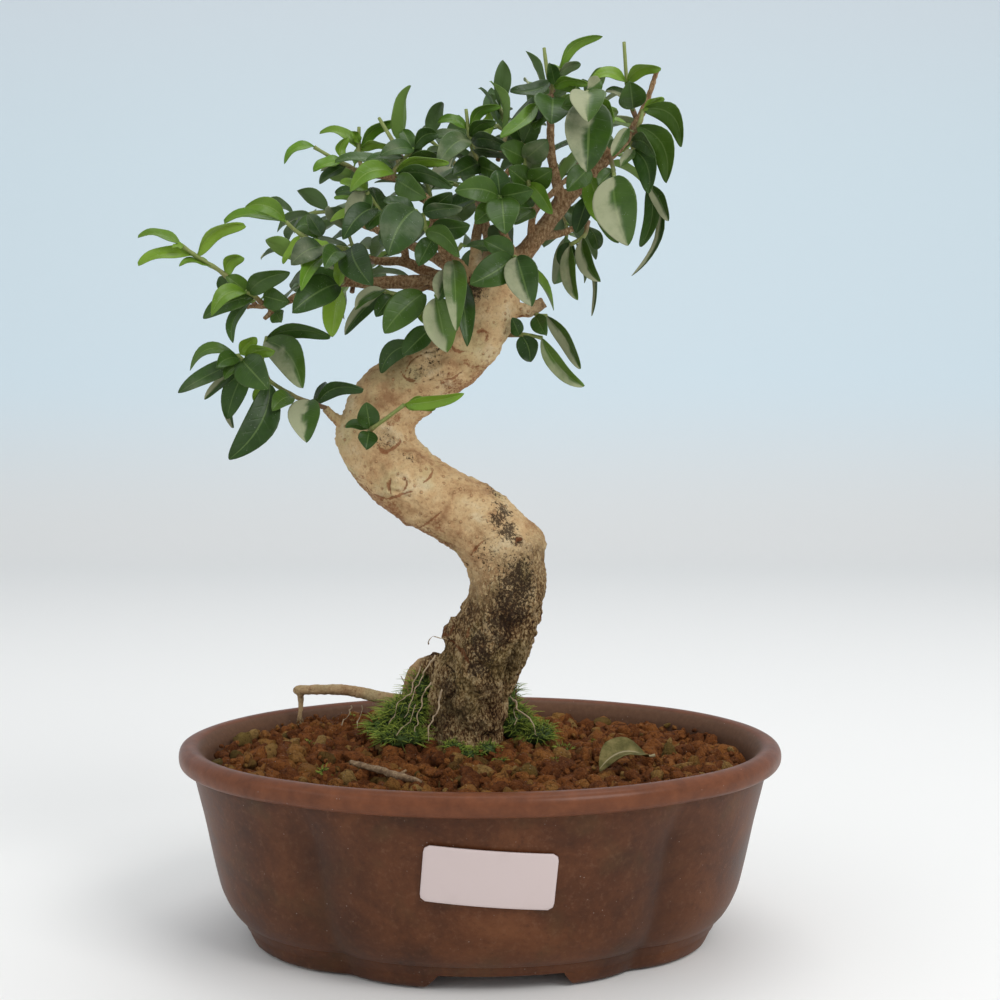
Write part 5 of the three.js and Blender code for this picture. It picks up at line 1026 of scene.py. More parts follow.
GROWN = {
    "back_left_outer": ([(362, 224, 38), (330, 212, 44), (296, 216, 48)], 4, 15),
    "back_left_upper": ([(384, 233, 35), (366, 200, 42), (352, 168, 40)], 4, 14),
    "back_left_low": ([(404, 242, 32), (378, 262, 40), (346, 282, 42)], 4, 15),
    "back_mid": ([(470, 190, 37), (452, 160, 44), (430, 140, 40)], 4, 15),
    "back_mid_low": ([(488, 236, 24), (478, 254, 38), (462, 266, 48)], 4, 16),
    "back_mid_upper": ([(516, 158, 33), (505, 132, 42), (488, 122, 44)], 4, 14),
    "back_top": ([(530, 130, 31), (540, 104, 32), (552, 82, 28)], 4, 14),
    "back_right": ([(578, 180, 37), (604, 160, 42), (628, 148, 40)], 4, 15),
    "back_right_low": ([(556, 206, 33), (566, 222, 42), (566, 246, 48)], 4, 16),
    "back_right_top": ([(574, 176, 37), (586, 146, 40), (590, 112, 32)], 4, 15),
    "inner_left": ([(405, 262, 5), (400, 236, 14), (390, 214, 18)], 3, 16),
    "inner_mid": ([(482, 207, 8), (470, 192, 18), (454, 184, 20)], 3, 16),
    "inner_right": ([(552, 160, -2), (538, 146, 8), (520, 138, 14)], 3, 16),
}

# %% [markdown]
# ## The wood
#
# Trunk, branches and roots are one grown body, so they should flow into each other with no seam.
# Tubes that only cross would show a hard line round each joint. Instead the tubes are poured
# together: a voxel remesh turns them into one skin, a few rounds of averaging take off the voxel
# steps, and then the skin is pushed in and out by formula for knots, flutes, wrinkles and flakes.
# The part of the wood that is under the soil keeps its plain tubes.

# %% How thick the trunk is, and its knots
KNOT_PLACES = seen([place for place, _, _ in KNOTS])
KNOT_RISES = np.array([rise for _, rise, _ in KNOTS])
KNOT_REACHES = np.array([reach for _, _, reach in KNOTS])
TRUNK_ROUTE = seen([row[:3] for row in TRUNK])
TRUNK_RADII = np.array([row[3] / 2 * (row[2] - EYE[1]) / FOCAL for row in TRUNK])


def trunk_relief(skin, out):
    """How far the trunk's skin stands out: five flutes that deepen towards the soil, lumps from two
    crossed sine waves, and for each knot its rise times e^-(distance / reach)^2."""
    low = np.clip((112 - skin[..., 2]) / 50, 0, 1)
    angle = np.arctan2(out[..., 1], out[..., 0])
    flutes = np.sin(angle * 5 + skin[..., 2] * 0.05) * (0.25 + 0.9 * low)
    lumps = np.sin(skin[..., 0] * 0.35 + skin[..., 2] * 0.22)
    lumps = lumps * np.sin(skin[..., 1] * 0.4 - skin[..., 2] * 0.17)
    near = np.linalg.norm(skin[..., None, :] - KNOT_PLACES, axis=-1) / KNOT_REACHES
    swell = (KNOT_RISES * np.exp(-near ** 2)).sum(axis=-1)
    return flutes + lumps * (0.35 + 0.5 * low) + swell


print("the trunk is", (2 * TRUNK_RADII).round(1).tolist(), "mm across from the bottom up")

# %% Pour the tubes together
VOXEL = 0.00053
# The highest point of a limb in mm, below which it is a root in the soil, and the trunk's place from
# which on it is above the soil.
SOIL_CUT = 57.0
EXPOSED_FROM = 1
LIMB_SIDES = 14
RING_STEP = 1.2
JOINT_SWELL = 1.25


def limbs(in_soil):
    """The routes and radii of the limbs that are in the soil, or of those that aren't."""
    for route, first, last in WOOD:
        places = seen(route)
        if (places[:, 2].max() < SOIL_CUT) == in_soil:
            yield places, np.linspace(first, last, len(route))


def poured_wood():
    """One skin over the trunk above the soil, every branch and the roots that show."""
    skins = [tube(TRUNK_ROUTE[EXPOSED_FROM:], TRUNK_RADII[EXPOSED_FROM:], 72, 260, trunk_relief)]
    for places, radii in limbs(False):
        radii[0] *= JOINT_SWELL
        skins.append(tube(places, radii, LIMB_SIDES, max(6, int(length_of(places) / RING_STEP))))
    rough = show("poured", tubes(*skins).mesh("poured"))
    skin = rough.modifiers.new("skin", "REMESH")
    skin.mode = "VOXEL"
    skin.voxel_size = VOXEL * 1
    return baked(rough)


def averaged(points, edges, rounds, share=0.5):
    """Moves each point by a share of the way to the middle of its neighbours, some rounds long. Every
    second round moves back a little more, so that thin twigs don't shrink."""
    first, second = edges.T
    neighbours = np.bincount(edges.ravel(), minlength=len(points))[:, None]
    for turn in range(rounds * 2):
        total = np.zeros_like(points)
        for axis in range(3):
            total[:, axis] = np.bincount(first, points[second, axis], len(points))
            total[:, axis] += np.bincount(second, points[first, axis], len(points))
        step = total / neighbours - points
        points = points + step * (share if turn % 2 == 0 else -share * 1.04)
    return points


wood_mesh = poured_wood()
bare_wood = averaged(points_of(wood_mesh), read_array(wood_mesh.edges, "vertices", 2, np.int32), 3)
move_points(wood_mesh, bare_wood)
print("the poured wood has", len(wood_mesh.polygons), "faces")

# %% [markdown]
# The marks on the bark were read from the picture too. Each is found on the skin by following its
# sight line from the eye to the first place where it meets the wood.

# %% Find places on the bark
skin_tree = BVHTree.FromPolygons([Vector(point) for point in bare_wood.tolist()],
                                 [tuple(face.vertices) for face in wood_mesh.polygons])


def on_bark(column, row):
    """The first point of the wood on the sight line through a column and a row."""
    far = seen((column, row, 200.0))
    hit = skin_tree.ray_cast(Vector(EYE), Vector(unit(far - EYE)))[0]
    return np.array(hit) if hit is not None else seen((column, row, 0.0))


# Column, row, radius in mm: scars with a raised ring.
RINGED = [(397, 484, 3.9), (482, 336, 2.5), (519, 543, 1.8), (404, 527, 1.6), (449, 628, 3.6),
          (546, 618, 2.0), (472, 632, 2.6)]
# Column, row, radius and depth in mm: hollows.
HOLLOWS = [(385, 440, 3.0, 1.5), (414, 374, 2.6, 0.9), (424, 366, 3.2, 1.1), (436, 358, 3.2, 1.1),
           (446, 351, 2.8, 0.9), (415, 457, 1.5, 0.8), (447, 560, 1.8, 0.5), (519, 543, 1.2, 1.2),
           (397, 484, 2.6, 0.4)]
# Routes of columns and rows, with a half width in mm: red-brown cracks, and then dark lines.
RED_LINES = [
    ([(405, 372), (412, 360), (424, 354)], 0.5), ([(391, 478), (389, 486), (393, 495)], 0.5),
    ([(407, 376), (416, 381)], 0.5), ([(404, 476), (407, 484), (402, 493)], 0.5),
    ([(366, 486), (371, 493), (387, 499), (402, 494), (414, 491)], 0.7),
    ([(419, 529), (429, 522), (441, 512)], 0.6),
    ([(423, 483), (430, 477), (433, 470)], 0.7), ([(470, 556), (476, 548), (484, 540)], 0.7),
    ([(366, 492), (385, 512), (404, 524), (430, 540), (455, 560), (468, 575)], 1.1),
    ([(437, 381), (452, 379), (462, 372)], 0.6),
    ([(378, 444), (384, 452), (394, 448), (402, 440)], 1.2), ([(450, 640), (462, 652), (470, 664)], 1.0),
    ([(540, 622), (536, 634), (530, 646), (526, 654)], 1.4), ([(400, 370), (406, 378), (418, 384)], 0.6),
    ([(448, 340), (454, 350), (464, 352)], 1.0),
]
DARK_LINES = [
    ([(521, 640), (514, 652), (509, 670), (505, 690), (503, 704)], 0.9),
    ([(455, 560), (468, 566), (474, 580)], 0.5),
    ([(446, 664), (455, 676), (452, 694), (440, 704)], 1.0), ([(424, 354), (438, 348), (454, 343)], 0.35),
    ([(416, 381), (430, 380), (444, 371)], 0.3),
]
# Column, row, radius in mm: patches with dark flecks.
BLACK = [(519, 575, 8.0), (511, 588, 7.5), (523, 590, 7.0), (507, 602, 7.0), (516, 612, 7.5), (500, 622, 7.0),
         (504, 510, 4.4), (498, 520, 4.0), (508, 530, 4.6), (516, 540, 3.0), (479, 640, 5.0), (484, 655, 5.5),
         (478, 668, 5.0), (446, 690, 7.0), (447, 706, 6.0), (440, 720, 6.5), (464, 712, 5.4), (488, 690, 5.0),
         (480, 726, 5.0), (474, 288, 5.0), (466, 300, 4.6), (500, 640, 5.0),
         (512, 660, 4.0), (447, 740, 5.0)]
# The same, where the flecks are few.
SPECKLED_SHARE = 0.5
SPECKLED = [(417, 371, 4.0), (432, 361, 4.2), (386, 441, 4.5), (413, 458, 3.2), (486, 556, 7.0),
            (528, 560, 6.0), (458, 585, 6.0), (470, 610, 7.0), (530, 500, 5.0), (496, 492, 5.0)]


def near_spots(points, spots, sharp=2.0):
    """The largest e^-(distance / radius)^sharp over spots on the bark, for each point."""
    strongest = np.zeros(len(points))
    for column, row, radius in spots:
        distance = np.linalg.norm(points - on_bark(column, row), axis=1)
        strongest = np.maximum(strongest, np.exp(-(distance / radius) ** sharp))
    return strongest


def near_lines(points, lines):
    """The same for routes: each is laid on the bark as a row of close spots, with a width that
    narrows to its ends and wavers."""
    strongest = np.zeros(len(points))
    for route, width in lines:
        flat = on_route(np.array(route, float), np.linspace(0, 1, 14 * len(route)))
        laid = np.array([on_bark(column, row) for column, row in flat])
        share = np.linspace(-1, 1, len(laid))
        widths = 0.8 * width * (1 - 0.7 * share ** 2) * (1 + 0.6 * noise(laid, 1.2, 17))
        low_corner, high_corner = laid.min(axis=0) - 3 * width, laid.max(axis=0) + 3 * width
        close = np.flatnonzero(((points > low_corner) & (points < high_corner)).all(axis=1))
        distance = np.linalg.norm(points[close][:, None] - laid[None], axis=-1) / widths
        strongest[close] = np.maximum(strongest[close], np.exp(-distance.min(axis=1) ** 2))
    return strongest


print("the first scar lies at", on_bark(397, 484).round(1), "mm")

# %% [markdown]
# What pushes the bark in and out is a sum of small terms: plates and furrows near the soil, fine
# wrinkles across the inside of each bend, corky pores, rings round old cuts, and hollows where wood
# has rotted. All of it fades on thin twigs, which would lose their shape.

# %% Push the bark in and out
PORES = 900
PORE_SEED = 77
# Column, row, radius in mm: where a bend has wrinkled the bark crosswise.
WRINKLED = [(400, 418, 6.5), (412, 408, 5.0), (482, 545, 6.0), (478, 320, 4.0)]
# In mm: the heights between which thin wood turns from root to branch, the height at which the
# rough bark begins, and how far down it grows to its full roughness.
BRANCH_RISE = (92, 104)
CRUST_TOP, CRUST_FADE = 158, 86


def trunk_nearness(points):
    """For each point, its distance from the trunk's middle line as a share of the trunk's radius
    there, and the share of the way up the trunk."""
    share = np.linspace(0, 1, 160)
    best = np.full(len(points), np.inf)
    where = np.zeros(len(points))
    for place, centre, radius in zip(share, on_route(TRUNK_ROUTE, share), spread(TRUNK_RADII, share)):
        distance = np.linalg.norm(points - centre, axis=1) / radius
        closer = distance < best
        best = np.where(closer, distance, best)
        where = np.where(closer, place, where)
    return best, where


def pore_height(points, on_trunk):
    """Corky pores: a small dome on each of some hundred points of the skin, drawn at random."""
    dice = np.random.default_rng(PORE_SEED)
    able = np.flatnonzero(on_trunk & (points[:, 2] > 100))
    centres = points[dice.choice(able, PORES, replace=False)]
    sizes = dice.uniform(0.4, 0.8, PORES)
    height = np.zeros(len(points))
    for centre, size in zip(centres, sizes):
        close = np.flatnonzero(np.abs(points - centre).max(axis=1) < size * 2)
        distance = np.linalg.norm(points[close] - centre, axis=1)
        height[close] = np.maximum(height[close], size * 0.5 * np.exp(-(distance / size) ** 2.5))
    return height


def carve(points, normals):
    """Returns the pushed points and their four marks: nearness to the soil, dark, scar with painted shade on
    downward faces, and twig.
    """
    near, along = trunk_nearness(points)
    on_trunk = near < 1.35
    steep = noise(points, 12, 3) * 10
    low = np.clip((CRUST_TOP - points[:, 2] - steep + (points[:, 0] - 5) * 0.5) / CRUST_FADE, 0, 1)
    crusty = ease(0.12, 0.5, low)
    flat = points * np.array([1.0, 1.0, 0.42])
    plates = noise(flat, 3.2, 11, 3)
    furrows = -np.abs(noise(flat, 5.0, 23, 2)) ** 0.7
    crumbs = noise(points, 1.5, 29, 2)
    wrinkles = np.sin(along * 700 + noise(points, 6, 31) * 2.2)
    wrinkles = wrinkles + 0.6 * noise(points * (0.5, 0.5, 1.4), 1.6, 33, 2)
    bends = ease(0.35, 0.75, noise(points, 14, 37) * 0.5 + 0.5) * (1 - crusty)
    bends = np.maximum(bends, near_spots(points, WRINKLED, 4.0))
    pores = pore_height(points, on_trunk)
    red, dark_line = near_lines(points, RED_LINES), near_lines(points, DARK_LINES)
    scars = -1.2 * dark_line - 0.45 * red
    for column, row, radius in RINGED:
        distance = np.linalg.norm(points - on_bark(column, row), axis=1)
        distance = distance * (1 + 0.12 * noise(points, 3, 39)) * (1 + 0.15 * noise(points, 1.5, 43))
        worn = ease(-0.6, 0.5, noise(points, 2.5, 45))
        scars += 0.6 * np.exp(-((distance - radius) / 0.9) ** 2)
        scars -= 0.5 * np.exp(-((distance - radius * 0.72) / 0.6) ** 2)
        red = np.maximum(red, worn * np.exp(-((distance - radius * 0.75) / 0.7) ** 2))
        thin = np.exp(-((distance - radius * 0.75) / 0.4) ** 2)
        dark_line = np.maximum(dark_line, 0.25 * worn * thin)
    for column, row, radius, depth in HOLLOWS:
        distance = np.linalg.norm(points - on_bark(column, row), axis=1)
        scars -= depth * np.exp(-(distance / radius) ** 3)
        scars += depth * 0.35 * np.exp(-((distance - radius * 1.3) / (radius * 0.3)) ** 2)
    push = crusty * (plates * 0.9 + furrows * 1.3 + crumbs * 0.4 + 0.5)
    push += (1 - crusty) * (noise(points, 6, 41, 2) * 0.35 + crumbs * 0.24)
    push += wrinkles * bends * 0.16 + pores + scars
    twig = ease(1.25, 1.9, near) * ease(60, 75, points[:, 2])
    push = push * (1 - twig) + twig * noise(points, 1.6, 51, 2) * 0.2
    dark = np.maximum(near_spots(points, BLACK) * 0.9, near_spots(points, SPECKLED) * SPECKLED_SHARE)
    dark = np.maximum(dark, dark_line)
    # Painted shade: faces that look down get the scars' red-brown.
    under = ease(-0.1, -0.8, normals[:, 2] + noise(points, 5, 53, 2) * 0.4) * (1 - crusty) * (1 - twig)
    scar = np.maximum(np.maximum(red, under * 0.6), ease(0.16, 0.3, pores) * 0.3)
    high = ease(*BRANCH_RISE, points[:, 2])
    soil = np.maximum(low * (1 - twig), twig * 0.2 * (1 - high))
    marks = np.stack([soil, dark, scar, twig * (0.35 + 0.65 * high)], axis=1)
    return points + normals * push[:, None], marks


carved, wood_marks = carve(bare_wood, read_array(wood_mesh.vertices, "normal", 3).astype(float))
move_points(wood_mesh, carved)
mark_points(wood_mesh, wood_marks)
wood_mesh.shade_smooth()
put("trunk_and_branches", wood_mesh, [BARK], "bark", "trunk")
print("bark pushed by up to", round(float(np.linalg.norm(carved - bare_wood, axis=1).max()), 2), "mm")

# %% The wood in the soil
below = slice(0, EXPOSED_FROM + 1)
buried = [tube(TRUNK_ROUTE[below], TRUNK_RADII[below], 40, 16, trunk_relief)]
buried += [tube(route, radii, LIMB_SIDES, 24) for route, radii in limbs(True)]
put("buried_roots", tubes(*buried), [BARK], "bark")

# %% [markdown]
# ## Where the leaves hang
#
# Each leaf has a base, a tip, a width, and how it turns, bows and bends. The front leaves were read
# from the picture. Those round the back come from a rule: pairs on opposite sides of the stem, each
# pair a quarter turn from the last. A leaf that comes too near wood or another leaf tries other
# depths until it hangs free, in a set order, so these leaves end up where the solids' leaves are.

# %% The shape of a blade
FOLDS = {"y": 22, "d": 14, "g": 16, "p": 18}
WAVES = {"y": 0.5, "d": 0.35, "g": 0.35, "p": 0.4}


def outline(share):
    """A blade's width at each share of its length, against its full width: (sin(pi s^0.92))^0.62."""
    rise = np.sin(np.pi * np.clip(share, 0, 1) ** 0.92)
    return np.maximum(rise, 0) ** 0.62


def leaf_frame(stalk, base, tip, width, facing, turn, bow, sweep, kind):
    """A leaf's own axes. Its face looks as near to facing as it can, turned by turn degrees."""
    along = tip - base
    length = np.linalg.norm(along)
    along = along / length
    front = unit(facing - along * facing.dot(along))
    right = np.cross(along, front)
    swing = math.radians(turn)
    face = front * math.cos(swing) + right * math.sin(swing)
    side = np.cross(along, face)
    return dict(stalk=stalk, base=base, along=along, length=length, front=front, right=right, face=face,
                side=side, width=width, bow=bow, sweep=sweep, kind=kind)


def blade_points(leaf, share, across, half_width):
    """Points of the blade: along its line by share, bowed and bent by 4 s (1 - s), out to its sides
    by across, folded up at the rib, with a ripple that grows towards the edge."""
    arch = 4 * share * (1 - share) * leaf["length"]
    raised = math.radians(FOLDS[leaf["kind"]])
    phase = np.where(across > 0, 0, 1.7)
    ripple = WAVES[leaf["kind"]] * np.sin(share * 9 + phase) * np.abs(across)
    parts = [(leaf["along"], share * leaf["length"]), (leaf["front"], leaf["bow"] * arch),
             (leaf["right"], leaf["sweep"] * arch), (leaf["side"], across * half_width * math.cos(raised)),
             (leaf["face"], np.abs(across) * half_width * math.sin(raised) + ripple)]
    return leaf["base"] + sum(np.asarray(size)[..., None] * axis for axis, size in parts)


# %% Room for each leaf
PROBE_SHARES = np.array([0.12, 0.3, 0.48, 0.66, 0.84, 1.0])
PROBE_ACROSS = np.array([-0.9, -0.45, 0.0, 0.45, 0.9])
# In mm: the room between leaves of different shoots and of one shoot, the shifts in depth, how much
# crowding passes, how much of it drops a leaf of a rule, and what a stem needs beside its clearance.
CLEARANCE = 2.5
OWN_CLEARANCE = 1.7
DEPTH_TRIES = [0, -3, 3, -6, 6, -9, 9, -12, 12, -16, 16, -20, 20]
TIGHT = 0.2
DROP_LIMIT = 0.9
STEM_ROOM = -0.6
PROBE_STEP = 1.5


class Room:
    """What already has its place: points, the room round each, whose they are, and whether a leaf
    of the same shoot has to keep away from them."""

    def __init__(self):
        self.places, self.radii, self.owners, self.far = [], [], [], []

    def take(self, places, radii, owner, far):
        self.places.append(places)
        self.radii.append(np.broadcast_to(radii, len(places)))
        self.owners.append(np.full(len(places), owner))
        self.far.append(np.broadcast_to(far, len(places)))

    def crowding(self, probes, outer, owner):
        """How deep the worst probe lies inside the room that others need."""
        places, radii = np.concatenate(self.places), np.concatenate(self.radii)
        own = np.concatenate(self.owners) == owner
        far = np.concatenate(self.far)
        distance = np.linalg.norm(probes[:, None] - places[None], axis=-1)
        depth = np.where(own, OWN_CLEARANCE, CLEARANCE) + radii - distance
        ignored = own[None] & ~(outer[:, None] & far[None])
        return max(0.0, float(np.where(ignored, 0.0, depth).max()))


def leaf_probes(leaf):
    """A grid of points on a blade, and which of them are far from its base."""
    share, across = np.meshgrid(PROBE_SHARES, PROBE_ACROSS, indexing="ij")
    half_width = np.maximum(outline(share), 0.1) * leaf["width"] / 2
    places = blade_points(leaf, share, across, half_width).reshape(-1, 3)
    return places, (share > 0.25).ravel()


def route_probes(route, first, last):
    """Points every 1.5 mm or less along a route, with a radius that runs from first to last."""
    count = math.ceil(length_of(on_route(route, np.linspace(0, 1, 201))) / PROBE_STEP)
    return on_route(route, np.linspace(0, 1, count + 1)), np.linspace(first, last, count + 1)


def settle(make, owner, room):
    """Tries depths in order until a leaf hangs free, and otherwise keeps the least crowded."""
    best, least = None, math.inf
    for shift in DEPTH_TRIES:
        leaf = make(shift)
        crowd = room.crowding(*leaf_probes(leaf), owner)
        if crowd < least - 1e-6:
            best, least = leaf, crowd
        if crowd <= TIGHT:
            break
    return best, least


# %% The two ways that leaves are given
CROWN_MIDDLE = seen((450, 210, 6))
LIFT = np.array([0.0, 0.0, 1.0])
GROWN_WIDTH = 0.56


def read_leaf(row, stem_places):
    """A maker for a leaf read from the picture: it takes a shift in depth, all of it at the tip."""
    *places, width, turn, bow, sweep, kind = row

    def make(shift):
        base = seen((places[0], places[1], places[2] + shift * 0.25))
        tip = seen((places[3], places[4], places[5] + shift))
        stalk = stem_places[np.linalg.norm(stem_places - base, axis=1).argmin()]
        return leaf_frame(stalk, base, tip, width, unit(EYE - base), turn, bow, sweep, kind)

    return make


def grown_leaf(spot, reach, length, outwards, facing, turn, bow, kind):
    """A maker for one leaf of the rule: a shift in depth moves its tip outwards."""

    def make(shift):
        base = spot + reach * 2
        tip = base + reach * length + outwards * shift
        return leaf_frame(spot, base, tip, length * GROWN_WIDTH, facing, turn, bow, 0, kind)

    return make


def grown_leaves(route, pairs, size, draw):
    """Makers for the leaf pairs of a shoot round the back. Each leaf leans forward along the stem,
    outwards from the crown's middle and a little down."""
    makers = []
    for pair in range(pairs):
        share = 0.22 + 0.76 * (pair / (pairs - 1))
        spot, ahead = on_route(route, share), heading(route, share)
        level = unit(np.cross(ahead, LIFT))
        high = unit(np.cross(level, ahead))
        outwards = unit(spot - CROWN_MIDDLE)
        for way in (0, math.pi):
            angle = (pair % 2) * math.pi / 2 + 0.5 + way + (next(draw) - 0.5) * 0.8
            length = size * (0.8 + 0.35 * next(draw)) * (0.8 if pair == pairs - 1 else 1)
            reach = level * math.cos(angle) + high * math.sin(angle) + ahead * 0.55 + outwards * 0.35
            reach = unit(reach + LIFT * (-0.25 - 0.3 * next(draw)))
            facing = outwards * 0.7 + LIFT
            turn, bow = (next(draw) - 0.5) * 50, 0.06 + 0.1 * next(draw)
            kind = "y" if next(draw) < 0.2 else ("p" if next(draw) < 0.3 else "d")
            makers.append(grown_leaf(spot, reach, length, outwards, facing, turn, bow, kind))
    return makers


# %% Lay out every shoot
SEED = 20417
TRUNK_ROOM = (15.5, 10)


def read_shoots():
    """Plans of the shoots read from the picture: all of their leaves are kept."""
    for name, (stems, leaves) in SPRAYS.items():
        routes = [seen(stem) for stem in stems]
        stem_places = np.concatenate([route_probes(route, 0, 0)[0] for route in routes])
        makers = [read_leaf(row, stem_places) for row in leaves]
        yield dict(name=name, routes=routes, stem_places=stem_places, makers=makers, keep=True)


def grown_shoots(table, draw):
    """Plans of the shoots in a table by the rule: crowded leaves are left away."""
    for name, (stem, pairs, size) in table.items():
        route = seen(stem)
        yield dict(name=name, routes=[route], stem_places=route_probes(route, 0, 0)[0],
                   makers=grown_leaves(route, pairs, size, draw), keep=False)


def hang_leaves(shoots, room):
    """Gives every stem its room and then settles the leaves one by one."""
    for shoot in shoots:
        room.take(shoot["stem_places"], STEM_ROOM, shoot["name"], False)
    for shoot in shoots:
        shoot["leaves"] = []
        for make in shoot["makers"]:
            leaf, crowd = settle(make, shoot["name"], room)
            if crowd > DROP_LIMIT and not shoot["keep"]:
                continue
            shoot["leaves"].append(leaf)
            places, outer = leaf_probes(leaf)
            room.take(places, 0.0, shoot["name"], outer)
    return shoots


room = Room()
for limb, *limb_ends in WOOD:
    room.take(*route_probes(seen(limb), *limb_ends), "wood", False)
room.take(*route_probes(TRUNK_ROUTE, *TRUNK_ROOM), "wood", False)
shoots = hang_leaves([*read_shoots(), *grown_shoots(GROWN, draws(SEED + 1))], room)
print(sum(len(shoot["leaves"]) for shoot in shoots), "leaves on", len(shoots), "shoots")

# %% [markdown]
# The inside of a real crown is full of small shaded leaves that only show through the gaps. They
# grow by the same rule as the shoots round the back, after all the others have their room.

# %% Leaves inside the crown
INNER = {
    "inside_1": ([(352, 292, -4), (356, 262, 4), (348, 232, 8)], 4, 15),
    "inside_2": ([(430, 232, -10), (432, 204, 0), (424, 176, 4)], 4, 15),
    "inside_3": ([(500, 262, 2), (508, 236, 8), (502, 212, 12)], 4, 15),
    "inside_4": ([(548, 212, 0), (560, 188, 8), (556, 164, 12)], 4, 15),
    "inside_5": ([(586, 150, -4), (592, 124, 4), (588, 100, 8)], 4, 14),
    "inside_6": ([(498, 160, -4), (506, 132, 4), (500, 108, 8)], 4, 14),
    "inside_7": ([(402, 176, -12), (398, 158, -4), (404, 136, 2)], 4, 14),
    "inside_8": ([(300, 292, -8), (304, 270, 0), (296, 250, 6)], 3, 14),
    "inside_9": ([(460, 282, -2), (452, 262, -8), (462, 244, -14)], 3, 14),
}
inner = hang_leaves(list(grown_shoots(INNER, draws(SEED + 2))), room)
print(sum(len(shoot["leaves"]) for shoot in inner), "leaves inside the crown")

# %% [markdown]
# ## Leaves and stems as meshes
#
# A leaf and its stalk are one tube that is squeezed flat: the rings start as small circles at the
# stem, and from the blade's base on they open to the blade's section. On it the rib is a groove
# above and a ridge below, the blade bulges between its side veins, and its edge is thin.

# %% One leaf
BLADE_ROWS = 15
BLADE_COLUMNS = 9
STALK_ROWS = 4
RING_COUNT = 2 * BLADE_COLUMNS
# In mm: the stalk's radius, the blade's thickness, and how deep the rib's groove and ridge are.
STALK_RADIUS = 0.42
BLADE_THICK = 0.42
RIB_GROOVE, RIB_RIDGE = 0.14, 0.24


def blade_skin(leaf, share, across, dice):
    """Rings round the blade: its upper face from left to right and its lower face back."""
    half_width = np.maximum(outline(share), 0.03) * leaf["width"] / 2
    sheet = blade_points(leaf, share, across, half_width)
    bulge = np.sin((share - np.abs(across) * VEIN_SLANT) * VEIN_PAIRS * 2 * np.pi)
    bulge = bulge * np.abs(across) * (1 - across ** 4) * 0.11 * min(1.0, leaf["width"] / 8)
    curl = dice.uniform(-0.5, 0.5) * across * np.abs(across) * share
    curl = curl + dice.uniform(-0.45, 0.45) * share ** 3
    groove = np.exp(-(across / 0.14) ** 2)
    lift = (bulge + curl)[..., None] * leaf["face"]
    thick = BLADE_THICK * (1 - 0.45 * across ** 2) * (0.55 + 0.45 * outline(share))
    upper = sheet + lift + (thick / 2 - groove * RIB_GROOVE)[..., None] * leaf["face"]
    lower = sheet + lift - (thick / 2 + groove * RIB_RIDGE * (1.1 - share))[..., None] * leaf["face"]
    return np.concatenate([upper, lower[:, ::-1]], axis=1)


def stalk_skin(leaf, end):
    """Rings of the stalk from the stem to the blade, sagging by 4 s (1 - s)."""
    angle = math.pi - (np.arange(RING_COUNT) + 0.5) * 2 * math.pi / RING_COUNT
    circle = np.cos(angle)[:, None] * leaf["side"] + np.sin(angle)[:, None] * leaf["face"]
    start = leaf["stalk"]
    step = np.linspace(0, 1, STALK_ROWS, endpoint=False)[:, None]
    sag = (4 * step * (1 - step) * -0.12 * np.linalg.norm(end - start)) * leaf["face"]
    centre = start + (end - start) * step + sag
    girth = STALK_RADIUS * (1.35 - 0.5 * step)[..., None] * min(1.0, 0.55 + leaf["width"] / 20)
    return centre[:, None] + circle[None] * girth


def leaf_shell(leaf, dice):
    """Rings of a stalk and blade, the blade coordinates of each point, and its marks."""
    row = np.linspace(0, 1, BLADE_ROWS)
    share = (0.015 + 0.985 * (0.5 - 0.5 * np.cos(np.pi * row ** 0.9)))[:, None]
    across = np.sin(np.linspace(-1, 1, BLADE_COLUMNS) * np.pi / 2 * 0.94)[None] / math.sin(np.pi / 2 * 0.94)
    blade = blade_skin(leaf, share, across, dice)
    rings = np.concatenate([stalk_skin(leaf, blade[0].mean(axis=0)), blade])
    half_uv = np.stack(np.broadcast_arrays(share, across / 2 + 0.5), axis=-1)
    blade_uv = np.concatenate([half_uv, half_uv[:, ::-1]], axis=1)
    uv = np.concatenate([np.broadcast_to((0.0, 0.5), (STALK_ROWS, RING_COUNT, 2)), blade_uv])
    return rings, uv, leaf_marks(leaf, rings, uv, dice)


# For each kind of leaf, how young and how dusty it is: the lowest and the highest share.
YOUTH = {"y": (0.65, 1.0), "d": (0.0, 0.22), "g": (0.0, 0.12), "p": (0.05, 0.3)}
DUST = {"y": (0.0, 0.10), "d": (0.0, 0.25), "g": (0.25, 0.5), "p": (0.10, 0.30)}


def leaf_marks(leaf, rings, uv, dice):
    """Youth, dust with painted sheen, chance and underside for each point. On a pale leaf one half gets the
    painted sheen.
    """
    kind = leaf["kind"]
    across = uv[..., 1] * 2 - 1
    youth = np.full(across.shape, dice.uniform(*YOUTH[kind]))
    dust_and_sheen = np.full(across.shape, dice.uniform(*DUST[kind]))
    # On a pale leaf the half picked by which way the blade's side points gets a painted sheen.
    if kind == "p":
        sheen_side = -1 if leaf["side"][0] > 0 else 1
        border = across * sheen_side + noise(rings, 4, 61) * 0.25
        dust_and_sheen = dust_and_sheen + dice.uniform(0.5, 0.85) * ease(-0.12, 0.12, border)
    dust_and_sheen = dust_and_sheen + noise(rings, 5, 67, 2) * 0.15
    under = np.broadcast_to(np.arange(RING_COUNT) >= BLADE_COLUMNS, across.shape).astype(float)
    under[:STALK_ROWS] = 0.4
    youth[:STALK_ROWS] = np.maximum(youth[:STALK_ROWS], 0.55)
    return np.stack([youth, np.clip(dust_and_sheen, 0, 1), np.full(across.shape, dice.uniform()), under], axis=-1)


# %% One shoot
STEM_RADIUS = (0.85, 0.6)
STEM_SIDES = 10


